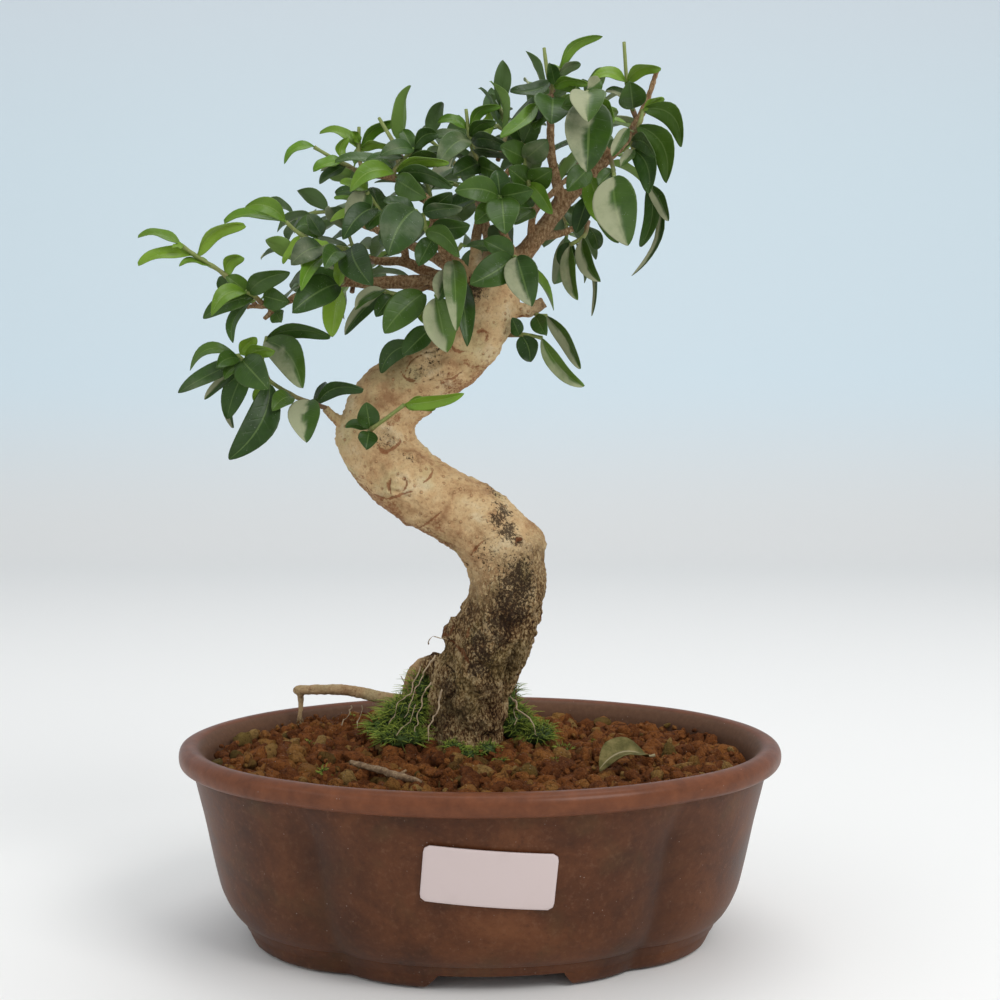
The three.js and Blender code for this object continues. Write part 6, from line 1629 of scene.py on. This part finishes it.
def add_stem(batch, route, leaves, dice):
    """A stem with a swelling where each leaf joins, brown at its foot and green at its tip."""
    rings = max(8, int(length_of(route) / 0.9))
    joints = np.array([leaf["stalk"] for leaf in leaves])

    def swelling(skin, out):
        distance = np.linalg.norm(skin[:, :, None] - joints, axis=-1).min(axis=-1)
        return 0.22 * np.exp(-(distance / 1.3) ** 2) + noise(skin, 1.5, 71) * 0.05

    skin = tube(route, np.linspace(*STEM_RADIUS, len(route)), STEM_SIDES, rings, swelling)
    green = np.linspace(0.15, 1.1, rings)[:, None] * np.ones(STEM_SIDES)
    marks = np.stack([green, green * 0, green * 0 + dice.uniform(), green * 0], axis=-1)
    add_tube(batch, skin, marks=marks, finish=1)


def add_shoot(batch, shoot, dice):
    """All of a shoot's stems and leaves."""
    for route in shoot["routes"]:
        add_stem(batch, route, shoot["leaves"], dice)
    for leaf in shoot["leaves"]:
        add_tube(batch, *leaf_shell(leaf, dice))


for number, shoot in enumerate(shoots):
    fine_shoot = Batch()
    add_shoot(fine_shoot, shoot, np.random.default_rng(number + 100))
    put("fine_" + shoot["name"], fine_shoot, [LEAF, STEM], "leaf", shoot["name"])
inside = Batch()
for shoot in inner:
    add_shoot(inside, shoot, np.random.default_rng(len(shoot["name"]) + int(shoot["name"][-1])))
put("inside_leaves", inside, [LEAF, STEM], "leaf")
print("the first shoot has", len(bpy.data.objects["fine_" + shoots[0]["name"]].data.polygons), "faces")

# %% [markdown]
# ## The pot
#
# The pot is slip-cast stoneware. Its plan is an oval of four lobes, so the wall has four upright
# creases that fade towards the rolled lip. One profile, from the foot up the outside, over the lip
# and down the inside, is carried round the plan, and the creases pull its points towards the middle.
# The lip has a small step under it where the glaze has run thin.

# %% The pot's plan
HALF_LENGTH, HALF_WIDTH = 105.0, 83.5
CREASE_ANGLE = math.radians(53)
CREASE_TURN = math.radians(3.5)
CREASE_REACH = 0.15
CREASE_LEAST, CREASE_MOST = 0.6, 4.0
INNER_CREASE = 0.6
LIP_BOTTOM, CREASE_RISE = 62, 14
FLOOR_TOP = 12.0
FOOT_HEIGHT = 5.0
POT_ANGLES = 360
UNEVENNESS = 0.2


def crease_shape(angle):
    """1 at each of the four creases, falling as e^-(turn from it / 0.15)^1.2. The lobes are turned
    by 3.5 degrees on the oval."""
    from_end = np.abs((angle - CREASE_TURN + math.pi / 2) % math.pi - math.pi / 2)
    return np.exp(-(np.abs(from_end - CREASE_ANGLE) / CREASE_REACH) ** 1.2)


def pot_points(angle, inset, height, crease=1.0):
    """Points of the wall: an ellipse that is inset mm smaller, pulled in at the creases by 0.6 mm
    under the lip and by 4 mm from 14 mm below it downwards."""
    below = np.clip((LIP_BOTTOM - height) / CREASE_RISE, 0, 1)
    dent = (CREASE_LEAST + (CREASE_MOST - CREASE_LEAST) * below) * crease_shape(angle) * crease
    x = np.cos(angle) * (HALF_LENGTH - inset)
    y = np.sin(angle) * (HALF_WIDTH - inset * 1.04)
    shrink = 1 - dent / np.hypot(x, y)
    return np.stack(np.broadcast_arrays(x * shrink, y * shrink, height), axis=-1)


# Inset and height in mm: the outside with the foot band's step, the lip and the inside.
OUTSIDE = [(22.75, 5.0), (22.35, 5.9), (21.7, 7.2), (21.25, 8.1), (21.1, 8.45), (20.7, 8.55),
           (20.25, 8.8), (19.6, 9.5), (18.2, 11.2), (16.2, 14.5), (14.3, 19.0), (12.8, 25.0),
           (10.8, 34.0), (8.9, 43.0), (7.1, 50.5), (5.4, 57.5)]
LIP = [(5.0, 59.6), (4.6, 60.3), (3.6, 60.55), (1.9, 60.8), (0.9, 61.4), (0.3, 62.3), (0.05, 63.6),
       (0.1, 65.0), (0.6, 66.4), (1.6, 67.4), (3.2, 68.0), (5.0, 67.9), (6.7, 67.1), (8.1, 65.6),
       (9.2, 63.6), (9.8, 61.0)]
INSIDE = [(11.4, 53.0), (13.4, 43.0), (15.0, 34.0), (17.6, 25.0), (21.0, 17.0), (24.4, 13.4), (28.0, 12.0)]


def pot_shell():
    """The wall and floor as one closed tube of rings, from the underside's middle round to the
    floor's middle."""
    outer = on_route(np.array(OUTSIDE + LIP[:1]), np.linspace(0, 1, 65))
    lip = on_route(np.array(LIP), np.linspace(0, 1, 56))
    inner = on_route(np.array(LIP[-1:] + INSIDE), np.linspace(0, 1, 30))
    outside = np.concatenate([outer[:-1], lip[:28]])
    inside = np.concatenate([lip[28:-1], inner])
    angle = ring_angles(POT_ANGLES)[None]
    wall = np.concatenate([pot_points(angle, outside[:, :1], outside[:, 1:]),
                           pot_points(angle, inside[:, :1], inside[:, 1:], INNER_CREASE)])
    above_foot = UNEVENNESS * ease(8, 16, wall[..., 2])
    wall -= unit(wall * (1, 1, 0)) * (above_foot + noise(wall, 26, 83, 2) * above_foot)[..., None]
    shares = np.linspace(0.08, 0.92, 10)[:, None, None] ** np.array([1, 1, 0])
    return np.concatenate([wall[:1] * shares, wall, wall[-1:] * shares[::-1]])


print("the wall is", round(INSIDE[2][0] - OUTSIDE[12][0], 1), "mm thick halfway up")

# %% [markdown]
# The pot stands on four feet, which are what is left of a foot ring after four arches are cut
# through it. Each foot is one curved bar: a section carried along the plan between two cuts. The
# pot's floor has two drain holes, each under a little square of plastic net that keeps the soil in.

# %% Feet and drain holes
FOOT_SECTION = [(22.7, 6.4), (22.8, 4.95), (23.5, 3.0), (24.0, 1.7), (24.5, 0.8), (25.2, 0.2),
                (26.0, 0.0), (36.4, 0.0), (37.5, 0.5), (38.0, 1.6), (38.0, 6.4)]
# How far from the pot's middle each arch ends, 1 mm below the ground and 6 mm above that.
FRONT_ARCH = {-1: (17.5, 12.5), 1: (30.5, 27.0)}
BACK_ARCH = {-1: (24.5, 20.0), 1: (23.5, 19.0)}
SIDE_ARCH = (22.0, 18.0)
DRAIN_OFFSET, DRAIN_RADIUS = 38.0, 6.0


def foot(side, half, arch):
    """A foot on one side (-1 or 1) of one half (-1 front, 1 back): rings of its section between the
    side arch and the other arch. The angles of both slanted cuts are looked up for each point."""
    inset, height = np.array(FOOT_SECTION).T

    def quarter(angle):
        turned_angle = np.arctan2(half * np.sin(angle), side * np.cos(angle))
        return pot_points(turned_angle, inset, height) * (side, half, 1)

    table = np.linspace(0, math.pi / 2, 600)
    plan = quarter(table[:, None])
    risen = (height + 1) / 6
    rounding = 0.9 * np.exp(-height / 0.7)
    side_edge = SIDE_ARCH[0] + (SIDE_ARCH[1] - SIDE_ARCH[0]) * risen + rounding
    edge = arch[0] + (arch[1] - arch[0]) * risen + rounding
    first = [np.interp(side_edge[n], plan[:, n, 1], table) for n in range(len(height))]
    last = [np.interp(-edge[n], -plan[:, n, 0], table) for n in range(len(height))]
    step = np.linspace(0, 1, 40)[:, None]
    return quarter(np.array(first) * (1 - step) + np.array(last) * step) * (side, half, 1)


def drain(x):
    """A plain round hole through the floor."""
    angle = ring_angles(40)
    ring = [x + DRAIN_RADIUS * np.cos(angle), DRAIN_RADIUS * np.sin(angle)]
    heights = np.array([[FOOT_HEIGHT - 3], [FLOOR_TOP + 3]])
    return np.stack(np.broadcast_arrays(*ring, heights), axis=-1)


def combined(mesh, other, operation):
    """The mesh joined with or cut by another one."""
    first, second = show("first", mesh), show("second", other)
    cut = first.modifiers.new("cut", "BOOLEAN")
    cut.object, cut.operation, cut.solver = second, operation, "EXACT"
    return baked(first, second)


ARCHES = ((-1, FRONT_ARCH), (1, BACK_ARCH))
feet = [foot(side, half, arch) for half, arches in ARCHES for side, arch in arches.items()]
drains = [drain(x) for x in (-DRAIN_OFFSET, DRAIN_OFFSET)]
pot_mesh = combined(tubes(pot_shell()).mesh("pot"), tubes(*feet).mesh("feet"), "UNION")
pot_mesh = combined(pot_mesh, tubes(*drains).mesh("drains"), "DIFFERENCE")
print("the pot has", len(pot_mesh.polygons), "faces")

# %% [markdown]
# The glaze's marks are worked out from where each point lies: the lip, the inside of the wall, the
# creases, which are darkened as painted shade, and the places where the glaze is thin or worn, which
# are the line under the lip, the lip's outer edge and the feet.

# %% Mark the glaze
SHARP_ANGLE = math.radians(42)


def glaze_marks(points):
    """Lip, inside, crease for painted shade and wear for each point, from its height and its depth
    behind the wall's outer face. Each worn line is e^-((height - its own) / its width)^2."""
    x, y, height = points.T
    angle = np.arctan2(y / HALF_WIDTH, x / HALF_LENGTH)
    insets, heights = np.array(OUTSIDE + LIP[:8]).T
    outer = pot_points(angle, np.interp(height, heights, insets), height)
    depth = np.hypot(outer[:, 0], outer[:, 1]) - np.hypot(x, y)
    inside = np.where(height > LIP_BOTTOM, ease(4.5, 8.5, depth), ease(2.2, 3.6, depth)) * (height > 9)
    lip = ease(60.0, 60.9, height) * (1 - inside)
    # The crease mark darkens the glaze as painted shade.
    crease = crease_shape(angle) * ease(60, 46, height) * (1 - inside)

    def worn_line(level, width):
        return np.exp(-((height - level) / width) ** 2)

    rim = worn_line(67.9, 0.35) * 0.45 + worn_line(61.6, 0.4) * 0.25
    worn = worn_line(60.5, 0.35) * (depth < 3) * 0.8 + worn_line(0, 1.2) + rim * (1 - inside)
    worn = np.clip(worn, 0, 1) * (0.6 + 0.5 * noise(points, 12, 91, 2))
    return np.stack([lip, inside, crease, np.clip(worn, 0, 1)], axis=1)


mark_points(pot_mesh, glaze_marks(points_of(pot_mesh)))
pot_mesh.shade_smooth()
pot_mesh.set_sharp_from_angle(angle=SHARP_ANGLE)
put("glazed_pot", pot_mesh, [GLAZE], "glazed_clay", "pot")

# %% [markdown]
# ## The soil
#
# The soil is baked clay granules, sieved to a few millimetres, with finer stuff between. Only the top
# layer shows, so each of those granules is its own small lumpy shape, and what lies under them is one
# plug, dark with painted shade. Granules come from one rounded cube of 54 faces: each copy gets its own
# size, stretch, turn and lumps. They lie on a shaken six-sided lattice, with part of a second layer in
# the dips.

# %% The plug under the granules, dark with painted shade
SOIL_LEVEL = 60.5
PLUG_DROP = 3.2


def soil_height(x, y):
    """The soil's level, raised by 2.5 mm round the trunk and by 3.4 mm at the back on the left."""
    round_trunk = 2.5 * np.exp(-((x + 6) ** 2 + (y - 8) ** 2) / 30 ** 2)
    at_left = 3.4 * np.exp(-((x + 42) ** 2 + (y - 34) ** 2) / 42 ** 2)
    return SOIL_LEVEL + round_trunk + at_left


INNER_WALL = np.array([(28.0, 12.0), (21.0, 17.0), (15.0, 34.0), (9.6, 62.0)])


def plug_rings():
    """Rings from the middle of the plug's underside, up inside the wall and in to the top's middle."""
    angle = ring_angles(96)[None]
    height = np.array([14.4, 17.0, 25.0, 34.0, 48.0, 56.0])[:, None]
    inset = np.interp(height, INNER_WALL[:, 1], INNER_WALL[:, 0]) + 0.6
    side = pot_points(angle, inset, height, INNER_CREASE)
    shares = np.linspace(0.995, 0.03, 34)[:, None]
    top = side[-1:] * shares[..., None]
    top[..., 2] = soil_height(top[..., 0], top[..., 1]) - PLUG_DROP + noise(top, 5, 97, 2) * 0.7
    under = side[:1] * np.linspace(0.03, 0.97, 8)[:, None, None]
    under[..., 2] = side[0, 0, 2]
    return np.concatenate([under, side, top])


soil = Batch()
# The plug is marked deep, so it is painted dark as the shade under the granules.
add_tube(soil, plug_rings(), marks=(0.1, 0.0, 0.0, 0.75))

# %% Granules
# In mm: the lattice's pitch, the smallest and largest half width, and how near the trunk they lie.
GRANULE_PITCH = 5.3
GRANULE_SIZES = (2.0, 4.1)
TRUNK_CLEAR = 15.5
GRANULE_SEED = 4021


def rounded_cube(cuts=3):
    """A cube's six faces, each cut into a grid of cuts by cuts, pushed out to a sphere. Points on
    the edges are shared, so it is one closed shell."""
    step = np.linspace(-1, 1, cuts + 1)
    u, v = np.meshgrid(step, step, indexing="ij")
    corners = []
    for axis in range(3):
        for sign in (-1, 1):
            face = np.stack([np.full_like(u, sign), u * sign, v], axis=-1)
            corners.append(np.roll(face, axis, axis=-1))
    corners = np.array(corners).reshape(6, -1, 3)
    quads = grid_quads(cuts + 1, cuts + 1)
    every = np.concatenate([quads + side * (cuts + 1) ** 2 for side in range(6)])
    shared, index = np.unique(corners.reshape(-1, 3).round(6), axis=0, return_inverse=True)
    return unit(shared), index.ravel()[every]


def turned(points, dice):
    """The points turned by a random rotation: three random axes made square to each other."""
    first, second = unit(dice.normal(size=3)), dice.normal(size=3)
    second = unit(second - first * first.dot(second))
    return points @ np.stack([first, second, np.cross(first, second)])


PEBBLE, PEBBLE_QUADS = rounded_cube()


def granule(place, size, dice):
    """One granule: the rounded cube with coarse and fine noise, six sides broken flat, and a stretch
    of up to a quarter."""
    start = dice.uniform(0, 90, 3)
    bumps = 0.24 * noise(PEBBLE + start, 0.9, 5) + 0.22 * noise(PEBBLE + start, 0.35, 6)
    shape = PEBBLE * (1.12 + bumps)[:, None]
    for side in unit(dice.normal(size=(6, 3))):
        over = np.maximum(shape @ side - dice.uniform(0.5, 0.85), 0)
        shape = shape - over[:, None] * side * 0.9
    shape = shape * dice.uniform(0.8, 1.25, 3)
    return turned(shape, dice) * size + place


def inside_wall(x, y, height, margin):
    """Whether places lie inside the wall by margin mm at a height."""
    inset = np.interp(height, INNER_WALL[:, 1], INNER_WALL[:, 0]) + margin
    angle = np.arctan2(y / HALF_WIDTH, x / HALF_LENGTH)
    edge = pot_points(angle, inset, height, INNER_CREASE)
    return np.hypot(x, y) < np.hypot(edge[..., 0], edge[..., 1])


# How far each layer lies under the soil's level in mm, its shift in pitches, how many of its places
# are filled, and its size: lumps, lumps in the dips, and crumbs on top.
LAYERS = [(1.5, 0.0, 1.0, 1.0), (-0.8, 0.5, 0.45, 0.85), (-1.9, 0.25, 0.5, 0.32)]


def granule_places(dice):
    """Places of every layer, and their sizes."""
    column, row = np.meshgrid(np.arange(-22, 23), np.arange(-20, 21))
    x = (column + (row % 2) * 0.5) * GRANULE_PITCH
    y = row * GRANULE_PITCH * math.sqrt(3) / 2
    layers = []
    for drop, shift, share, scale in LAYERS:
        flat = np.stack([x.ravel() + shift * GRANULE_PITCH, y.ravel() + shift * 3.1], axis=1)
        flat = flat + dice.uniform(-1.5, 1.5, flat.shape)
        flat = flat[dice.uniform(size=len(flat)) < share]
        size = dice.uniform(*GRANULE_SIZES, len(flat)) * scale
        height = soil_height(flat[:, 0], flat[:, 1]) - drop + dice.uniform(-0.7, 0.7, len(flat))
        places = np.concatenate([flat, height[:, None]], axis=1)
        kept = inside_wall(places[:, 0], places[:, 1], places[:, 2], size * 0.85 + 0.3)
        layers.append((places[kept], size[kept]))
    places, sizes = (np.concatenate(parts) for parts in zip(*layers))
    near, _ = trunk_nearness(places)
    clear = near * TRUNK_CLEAR > TRUNK_CLEAR - 2 + sizes * 0.6
    return places[clear], sizes[clear]


def add_granules(batch):
    """Adds every granule. Those near the trunk's left front are mossier."""
    dice = np.random.default_rng(GRANULE_SEED)
    places, sizes = granule_places(dice)
    for place, size in zip(places, sizes):
        shape = granule(place, size, dice)
        chance, light = dice.uniform(), dice.uniform()
        near_trunk = math.exp(-np.hypot(*(place[:2] + 6)) / 30)
        mossy = np.clip(dice.normal(-0.1, 0.45) + 0.5 * near_trunk, 0, 1)
        # How deep a point lies in the bed, which the finish paints as shade.
        depth = np.clip((soil_height(shape[:, 0], shape[:, 1]) - 1.6 - shape[:, 2]) / 2.6, 0, 1)
        marks = np.stack(np.broadcast_arrays(chance, light, mossy, depth), axis=1)
        batch.add(shape, PEBBLE_QUADS, marks=marks)
    return len(places)


print(add_granules(soil), "granules")
put("granules", soil, [GRANULES], "granules", "soil")

# %% [markdown]
# ## The label
#
# A blank white film is stuck to the front wall, with rounded corners. It follows the wall's curve and
# is turned by five degrees. The sheet is made of rings of one rounded rectangle, laid on the wall
# and given a thickness.

# %% Label
LABEL_WIDTH, LABEL_HEIGHT, LABEL_THICK = 41.0, 18.5, 0.8
LABEL_TILT = math.radians(-5)
LABEL_X, LABEL_Z = 3.6, 40.5
LABEL_CORNER = 2.0
LABEL_OFF = 0.45
# Each ring's share of the outline and of the thickness: the front, then the back.
LABEL_RINGS = [(0.06, 1), (0.3, 1), (0.55, 1), (0.78, 1), (0.93, 1), (0.985, 0.96), (1.0, 0.8),
               (1.0, 0), (0.9, 0), (0.5, 0), (0.06, 0)]


def wall_front(x, z):
    """How far forward the front wall lies at x and z: the crease-pulled ellipse is looked up on a
    fine table of angles for each point."""
    insets, heights = np.array(OUTSIDE).T
    insets = np.interp(z, heights, insets)
    angles = np.linspace(-math.pi, 0, 721)
    found = np.empty_like(x)
    for place in np.ndindex(x.shape):
        plan = pot_points(angles, insets[place], z[place])
        found[place] = np.interp(x[place], plan[:, 0], plan[:, 1])
    return found


def label_sheet():
    """The front and back of the film as rings round its rounded outline, from the middle out."""
    turn = ring_angles(96)
    half = np.array([LABEL_WIDTH, LABEL_HEIGHT]) / 2
    core = half - LABEL_CORNER
    direction = np.stack([np.cos(turn), np.sin(turn)], axis=1)
    scale = 1 / np.max(np.abs(direction) / half, axis=1)
    square = direction * scale[:, None]
    inner = np.clip(square, -core, core)
    in_corner = (np.abs(square - inner).sum(axis=1) > 1e-6)[:, None]
    edge = np.where(in_corner, inner + unit(square - inner + 1e-9) * LABEL_CORNER, square)
    shares, lifts = np.array(LABEL_RINGS).T
    right, up = np.moveaxis(edge * shares[:, None, None], -1, 0)
    x = LABEL_X + right * math.cos(LABEL_TILT) - up * math.sin(LABEL_TILT)
    z = LABEL_Z + right * math.sin(LABEL_TILT) + up * math.cos(LABEL_TILT)
    y = wall_front(x, z) - LABEL_OFF - LABEL_THICK * lifts[:, None]
    return np.stack([x, y, z], axis=-1)


put("label_film", tubes(label_sheet()), [FILM], "label_film", "label")

# %% [markdown]
# ## Loose pieces
#
# A dead twig and a dry folded leaf lie on the granules. The twig is a tube with knots and a broken
# end. The leaf uses the blade's own shape with a deeper fold.

# %% Fallen twig and leaf
# In mm from the pot's middle: places of the twig, and how high it lies over the soil.
TWIG_PLACES = [(-43, -26), (-34, -34), (-26, -43), (-18, -51)]
TWIG_LIFT = 3.8


def twig_relief(skin, out):
    """Ridges along the twig and lumps of noise."""
    return noise(skin * (0.35, 0.35, 1.0), 1.1, 103, 2) * 0.28 + noise(skin, 3.5, 107) * 0.25


twig_route = np.array([(x, y, soil_height(x, y) + TWIG_LIFT) for x, y in TWIG_PLACES])
knob_route = [twig_route[2], twig_route[2] + (2.5, 1.2, 1.6)]
twig = tubes(tube(twig_route, [0.8, 1.15, 1.25, 0.5], 18, 60, twig_relief),
             tube(knob_route, [0.7, 0.35], 10, 10, twig_relief))
put("dead_twig", twig, [DEAD_WOOD], "dead_wood", "fallen_twig")

dry_level = float(soil_height(49.0, -22.0)) + 3.0
dry_tip = np.array([40.0, -28.0, dry_level - 0.2])
dry_base = np.array([57.0, -18.0, dry_level + 1.5])
dry_facing = np.array([-0.2, -0.5, 1.0])
FOLDS["dry"], WAVES["dry"] = 24, 0.7
YOUTH["dry"], DUST["dry"] = (0.0, 0.0), (0.5, 0.5)
dry = leaf_frame(dry_base + (2.5, 1.0, 0.4), dry_base, dry_tip, 13, dry_facing, 0, 0.16, 0.08, "dry")
dry_batch = Batch()
add_tube(dry_batch, *leaf_shell(dry, np.random.default_rng(9)))
put("dry_folded_leaf", dry_batch, [DRY_LEAF], "dry_leaf", "fallen_leaf")

# %% [markdown]
# ## Moss and fine roots
#
# Moss fills the corner under the arched root, climbs up the trunk's right foot, and dots the soil.
# A clump is a lumpy cushion, dark inside, with blades that start on it and lean outwards and up. A
# blade is a thin three-sided tube that narrows to a point and bends over. Fine pale roots hang from
# the arched root through the moss.

# %% Moss
MOSS_SEED = 311
# A blade's radii in mm, and its rings and sides.
BLADE_RADII = (0.17, 0.14, 0.03)
BLADE_RINGS, BLADE_SIDES = 4, 3
# Column, row and depth of the middle, the cushion's radii in mm, number of blades, blade length.
CUSHIONS = [
    (408, 716, 6, (8.5, 6.5, 7.0), 620, 5.0), (421, 694, 9, (4.2, 4.5, 8.0), 330, 5.5),
    (390, 728, 8, (7.5, 6.0, 4.0), 330, 4.5), (402, 738, -2, (8.5, 5.0, 3.5), 330, 4.0),
    (514, 724, 15, (6.5, 6.0, 7.0), 520, 4.2), (508, 704, 15, (3.8, 4.0, 8.0), 280, 4.0),
    (536, 735, 12, (6.5, 5.0, 4.0), 320, 3.6), (455, 749, -7, (3.8, 2.4, 2.6), 150, 2.8),
    (487, 750, -7, (3.2, 2.2, 2.4), 110, 2.6), (469, 755, -9, (3.0, 2.2, 1.8), 80, 2.2),
]
# Column and row of the small tufts on the soil, their radius, number of blades, blade length.
TUFTS = [(323, 776, 2.2, 60, 3.0), (563, 752, 3.0, 80, 2.8), (555, 765, 2.0, 50, 2.4),
         (310, 748, 2.0, 40, 2.4), (352, 722, 2.6, 60, 2.6), (372, 735, 3.0, 80, 2.8),
         (546, 748, 2.4, 60, 2.6), (600, 745, 1.6, 26, 2.0), (500, 762, 1.6, 30, 2.0),
         (436, 762, 1.8, 34, 2.0)]


def on_soil(column, row):
    """Where the sight line through a column and a row meets the soil: the depth is halved down
    between the pot's front and back until the line is as high as the soil."""
    front, back = -80.0, 80.0
    for _ in range(30):
        depth = (front + back) / 2
        x, y, z = seen((column, row, depth))
        front, back = (depth, back) if z > soil_height(x, y) else (front, depth)
    return seen((column, row, front))


def cushion_ball(centre, radii):
    """A lumpy ball as rings from pole to pole."""
    rise = np.linspace(0.05, math.pi - 0.05, 16)[:, None]
    turn = ring_angles(24)[None]
    ball = [np.sin(rise) * np.cos(turn), np.sin(rise) * np.sin(turn), np.cos(rise)]
    ball = np.stack(np.broadcast_arrays(*ball), axis=-1)
    return centre + ball * radii * (0.86 + 0.14 * noise(ball * 9 + centre, 3.0, 131, 2))[..., None]


def add_clump(batch, centre, radii, count, length, dice):
    """A cushion and its blades, which grow where the cushion isn't hidden underneath."""
    centre, radii = np.asarray(centre), np.asarray(radii)
    add_tube(batch, cushion_ball(centre, radii), marks=(0, dice.uniform(0.2, 0.6), 0, 0))
    ways = unit(dice.normal(size=(count, 3)))
    ways[:, 2] = np.abs(ways[:, 2]) * 1.1 - 0.35
    ways = unit(ways)
    feet_here = centre + ways * radii * (0.84 + 0.14 * noise(ways * 9 + centre, 3.0, 131, 2))[:, None]
    bend = unit(ways * 0.7 + dice.normal(0, 0.6, (count, 3)) + (0, 0, 0.5))
    sizes = length * dice.uniform(0.5, 1.45, count)
    for place, ahead, size in zip(feet_here, bend, sizes):
        over = np.array([ahead[0], ahead[1], -0.5]) * size * 0.35
        route = [place, place + ahead * size * 0.55, place + ahead * size * 0.9 + over]
        marks = np.zeros((BLADE_RINGS, BLADE_SIDES, 4))
        marks[..., 0] = np.linspace(0.1, 1, BLADE_RINGS)[:, None]
        marks[..., 1] = dice.uniform()
        add_tube(batch, tube(route, BLADE_RADII, BLADE_SIDES, BLADE_RINGS), marks=marks)


moss = Batch()
moss_dice = np.random.default_rng(MOSS_SEED)
for *place, radii, count, length in CUSHIONS:
    add_clump(moss, seen(place), radii, count, length, moss_dice)
for column, row, radius, count, length in TUFTS:
    add_clump(moss, on_soil(column, row), (radius, radius, radius * 0.7), count, length, moss_dice)
put("moss", moss, [MOSS], "leaf")

# %% Fine roots and stalks
# Routes read from the picture, with the radius at both ends in mm. A bare root under its dirt has
# only these shares of the first and the last radius.
THINNED = (0.6, 0.5)
FINE_ROOTS = [
    ([(436, 655, -8), (424, 672, -10), (415, 694, -11), (405, 716, -12)], 0.55, 0.25),
    ([(421, 668, -6), (411, 690, -9), (398, 706, -12), (388, 727, -14)], 0.4, 0.2),
    ([(430, 682, -12), (423, 700, -13), (419, 716, -14), (416, 733, -16)], 0.5, 0.2),
    ([(443, 690, -14), (438, 708, -15), (430, 722, -16), (427, 740, -18)], 0.7, 0.3),
    ([(415, 703, -6), (408, 722, -8), (399, 734, -12)], 0.35, 0.2),
    ([(512, 702, 4), (522, 712, 2), (533, 722, -2), (537, 735, -6)], 0.65, 0.3),
    ([(508, 696, 6), (514, 706, 4), (516, 724, 0)], 0.35, 0.2),
    ([(352, 704, 34), (346, 718, 30), (341, 730, 26)], 0.4, 0.2),
    ([(362, 706, 30), (360, 720, 26), (351, 735, 22)], 0.35, 0.2),
    ([(427, 643, -12), (432, 639, -16), (440, 637, -18), (448, 638, -19)], 0.3, 0.12),
]
STALKS = [([(412, 698, 2), (408, 690, 2), (401, 676, 2)], 0.16, 0.14),
          ([(417, 699, 2), (414, 688, 2), (408, 673, 2)], 0.16, 0.14),
          ([(516, 700, 8), (516, 688, 8), (516, 679, 8)], 0.2, 0.1)]


def root_relief(skin, out):
    """Small lumps."""
    return noise(skin, 1.6, 113, 2) * 0.12


def wandering(places, seed):
    """A route through the places with four times as many points, each shaken by up to 1.3 mm."""
    route = on_route(places, np.linspace(0, 1, 4 * len(places)))
    shaken = np.stack([noise(route, 2.4, seed + axis) for axis in range(3)], axis=1)
    return route + shaken * 1.3


fine_roots = [tube(wandering(seen(places), 150 + 5 * number), np.multiply(ends, THINNED), 7, 60, root_relief)
              for number, (places, *ends) in enumerate(FINE_ROOTS)]
put("fine_roots", tubes(*fine_roots), [FINE_ROOT], "bark")
stalks = [tube(seen(places), ends, 6, 12) for places, *ends in STALKS]
put("moss_stalks", tubes(*stalks), [STEM], "leaf")

# %% [markdown]
# ## The nets over the drain holes
#
# Their solids are right as they are, so they only get a finish.

# %% Nets
for node in ("drain_mesh_left", "drain_mesh_right"):
    net_object = bpy.data.objects[node]
    net_object.data.materials.clear()
    net_object.data.materials.append(NET)
print("nets finished")

# %% [markdown]
# ## Floor and light
#
# A plain pale floor runs back into a curved backdrop, as in a photographer's studio. One large soft
# light stands high in front on the right, a weaker one on the left and one above, and the world
# fills in the shadows.

# %% Studio
FLOOR_SIZE = 3.0
FLOOR_GAP = 0.0006
AIM = Vector((0, 0, 0.14))
SKY = (0.90, 0.95, 1.0, 1.0)
SKY_STRENGTH = 0.70
# Each light's place and width in metres and its power in watts.
LIGHTS = {"key": ((0.9, -0.95, 1.25), 0.8, 13), "fill": ((-1.2, -0.8, 0.8), 1.0, 3),
          "top": ((0.1, 0.3, 1.5), 0.9, 5)}


def backdrop():
    """A sheet that runs flat from the front to well behind the pot and then curves up: rows of
    points whose height is 0, then a quarter circle, then a wall."""
    turn = np.linspace(0, math.pi / 2, 24)
    depth = np.concatenate([[-FLOOR_SIZE], 1.4 + 0.8 * np.sin(turn), [2.2]])
    height = np.concatenate([[0.0], 0.8 - 0.8 * np.cos(turn), [3.2]])
    x = np.linspace(-FLOOR_SIZE, FLOOR_SIZE, 5)
    points = np.stack(np.broadcast_arrays(x[None], depth[:, None], height[:, None] - FLOOR_GAP), axis=-1)
    mesh = bpy.data.meshes.new("backdrop")
    mesh.from_pydata(points.reshape(-1, 3).tolist(), [], grid_quads(len(depth), len(x)).tolist())
    mesh.shade_smooth()
    return mesh


paper = Finish("paper", Roughness=0.9)
paper_height = paper.part(paper.place(), 2)
paper_tone = paper.blend(paper_height.ease(0.0, 0.3), (0.87, 0.85, 0.82), (0.78, 0.89, 0.94))
paper_tone = paper.blend(paper_height.ease(0.6, 1.5), paper_tone, (0.82, 0.815, 0.845))
floor = show("floor", backdrop())
floor.data.materials.append(paper.wear(paper_tone))

for name, (place, size, power) in LIGHTS.items():
    light_data = bpy.data.lights.new(name, "AREA")
    light_data.size, light_data.energy = size, power
    light = show(name, light_data)
    light.location = place
    light.rotation_euler = (AIM - light.location).to_track_quat("-Z", "Y").to_euler()

world = bpy.data.worlds.new("studio")
world.use_nodes = True
world.node_tree.nodes["Background"].inputs["Color"].default_value = SKY
world.node_tree.nodes["Background"].inputs["Strength"].default_value = SKY_STRENGTH
bpy.context.scene.world = world
bpy.context.scene.view_settings.view_transform = "Standard"
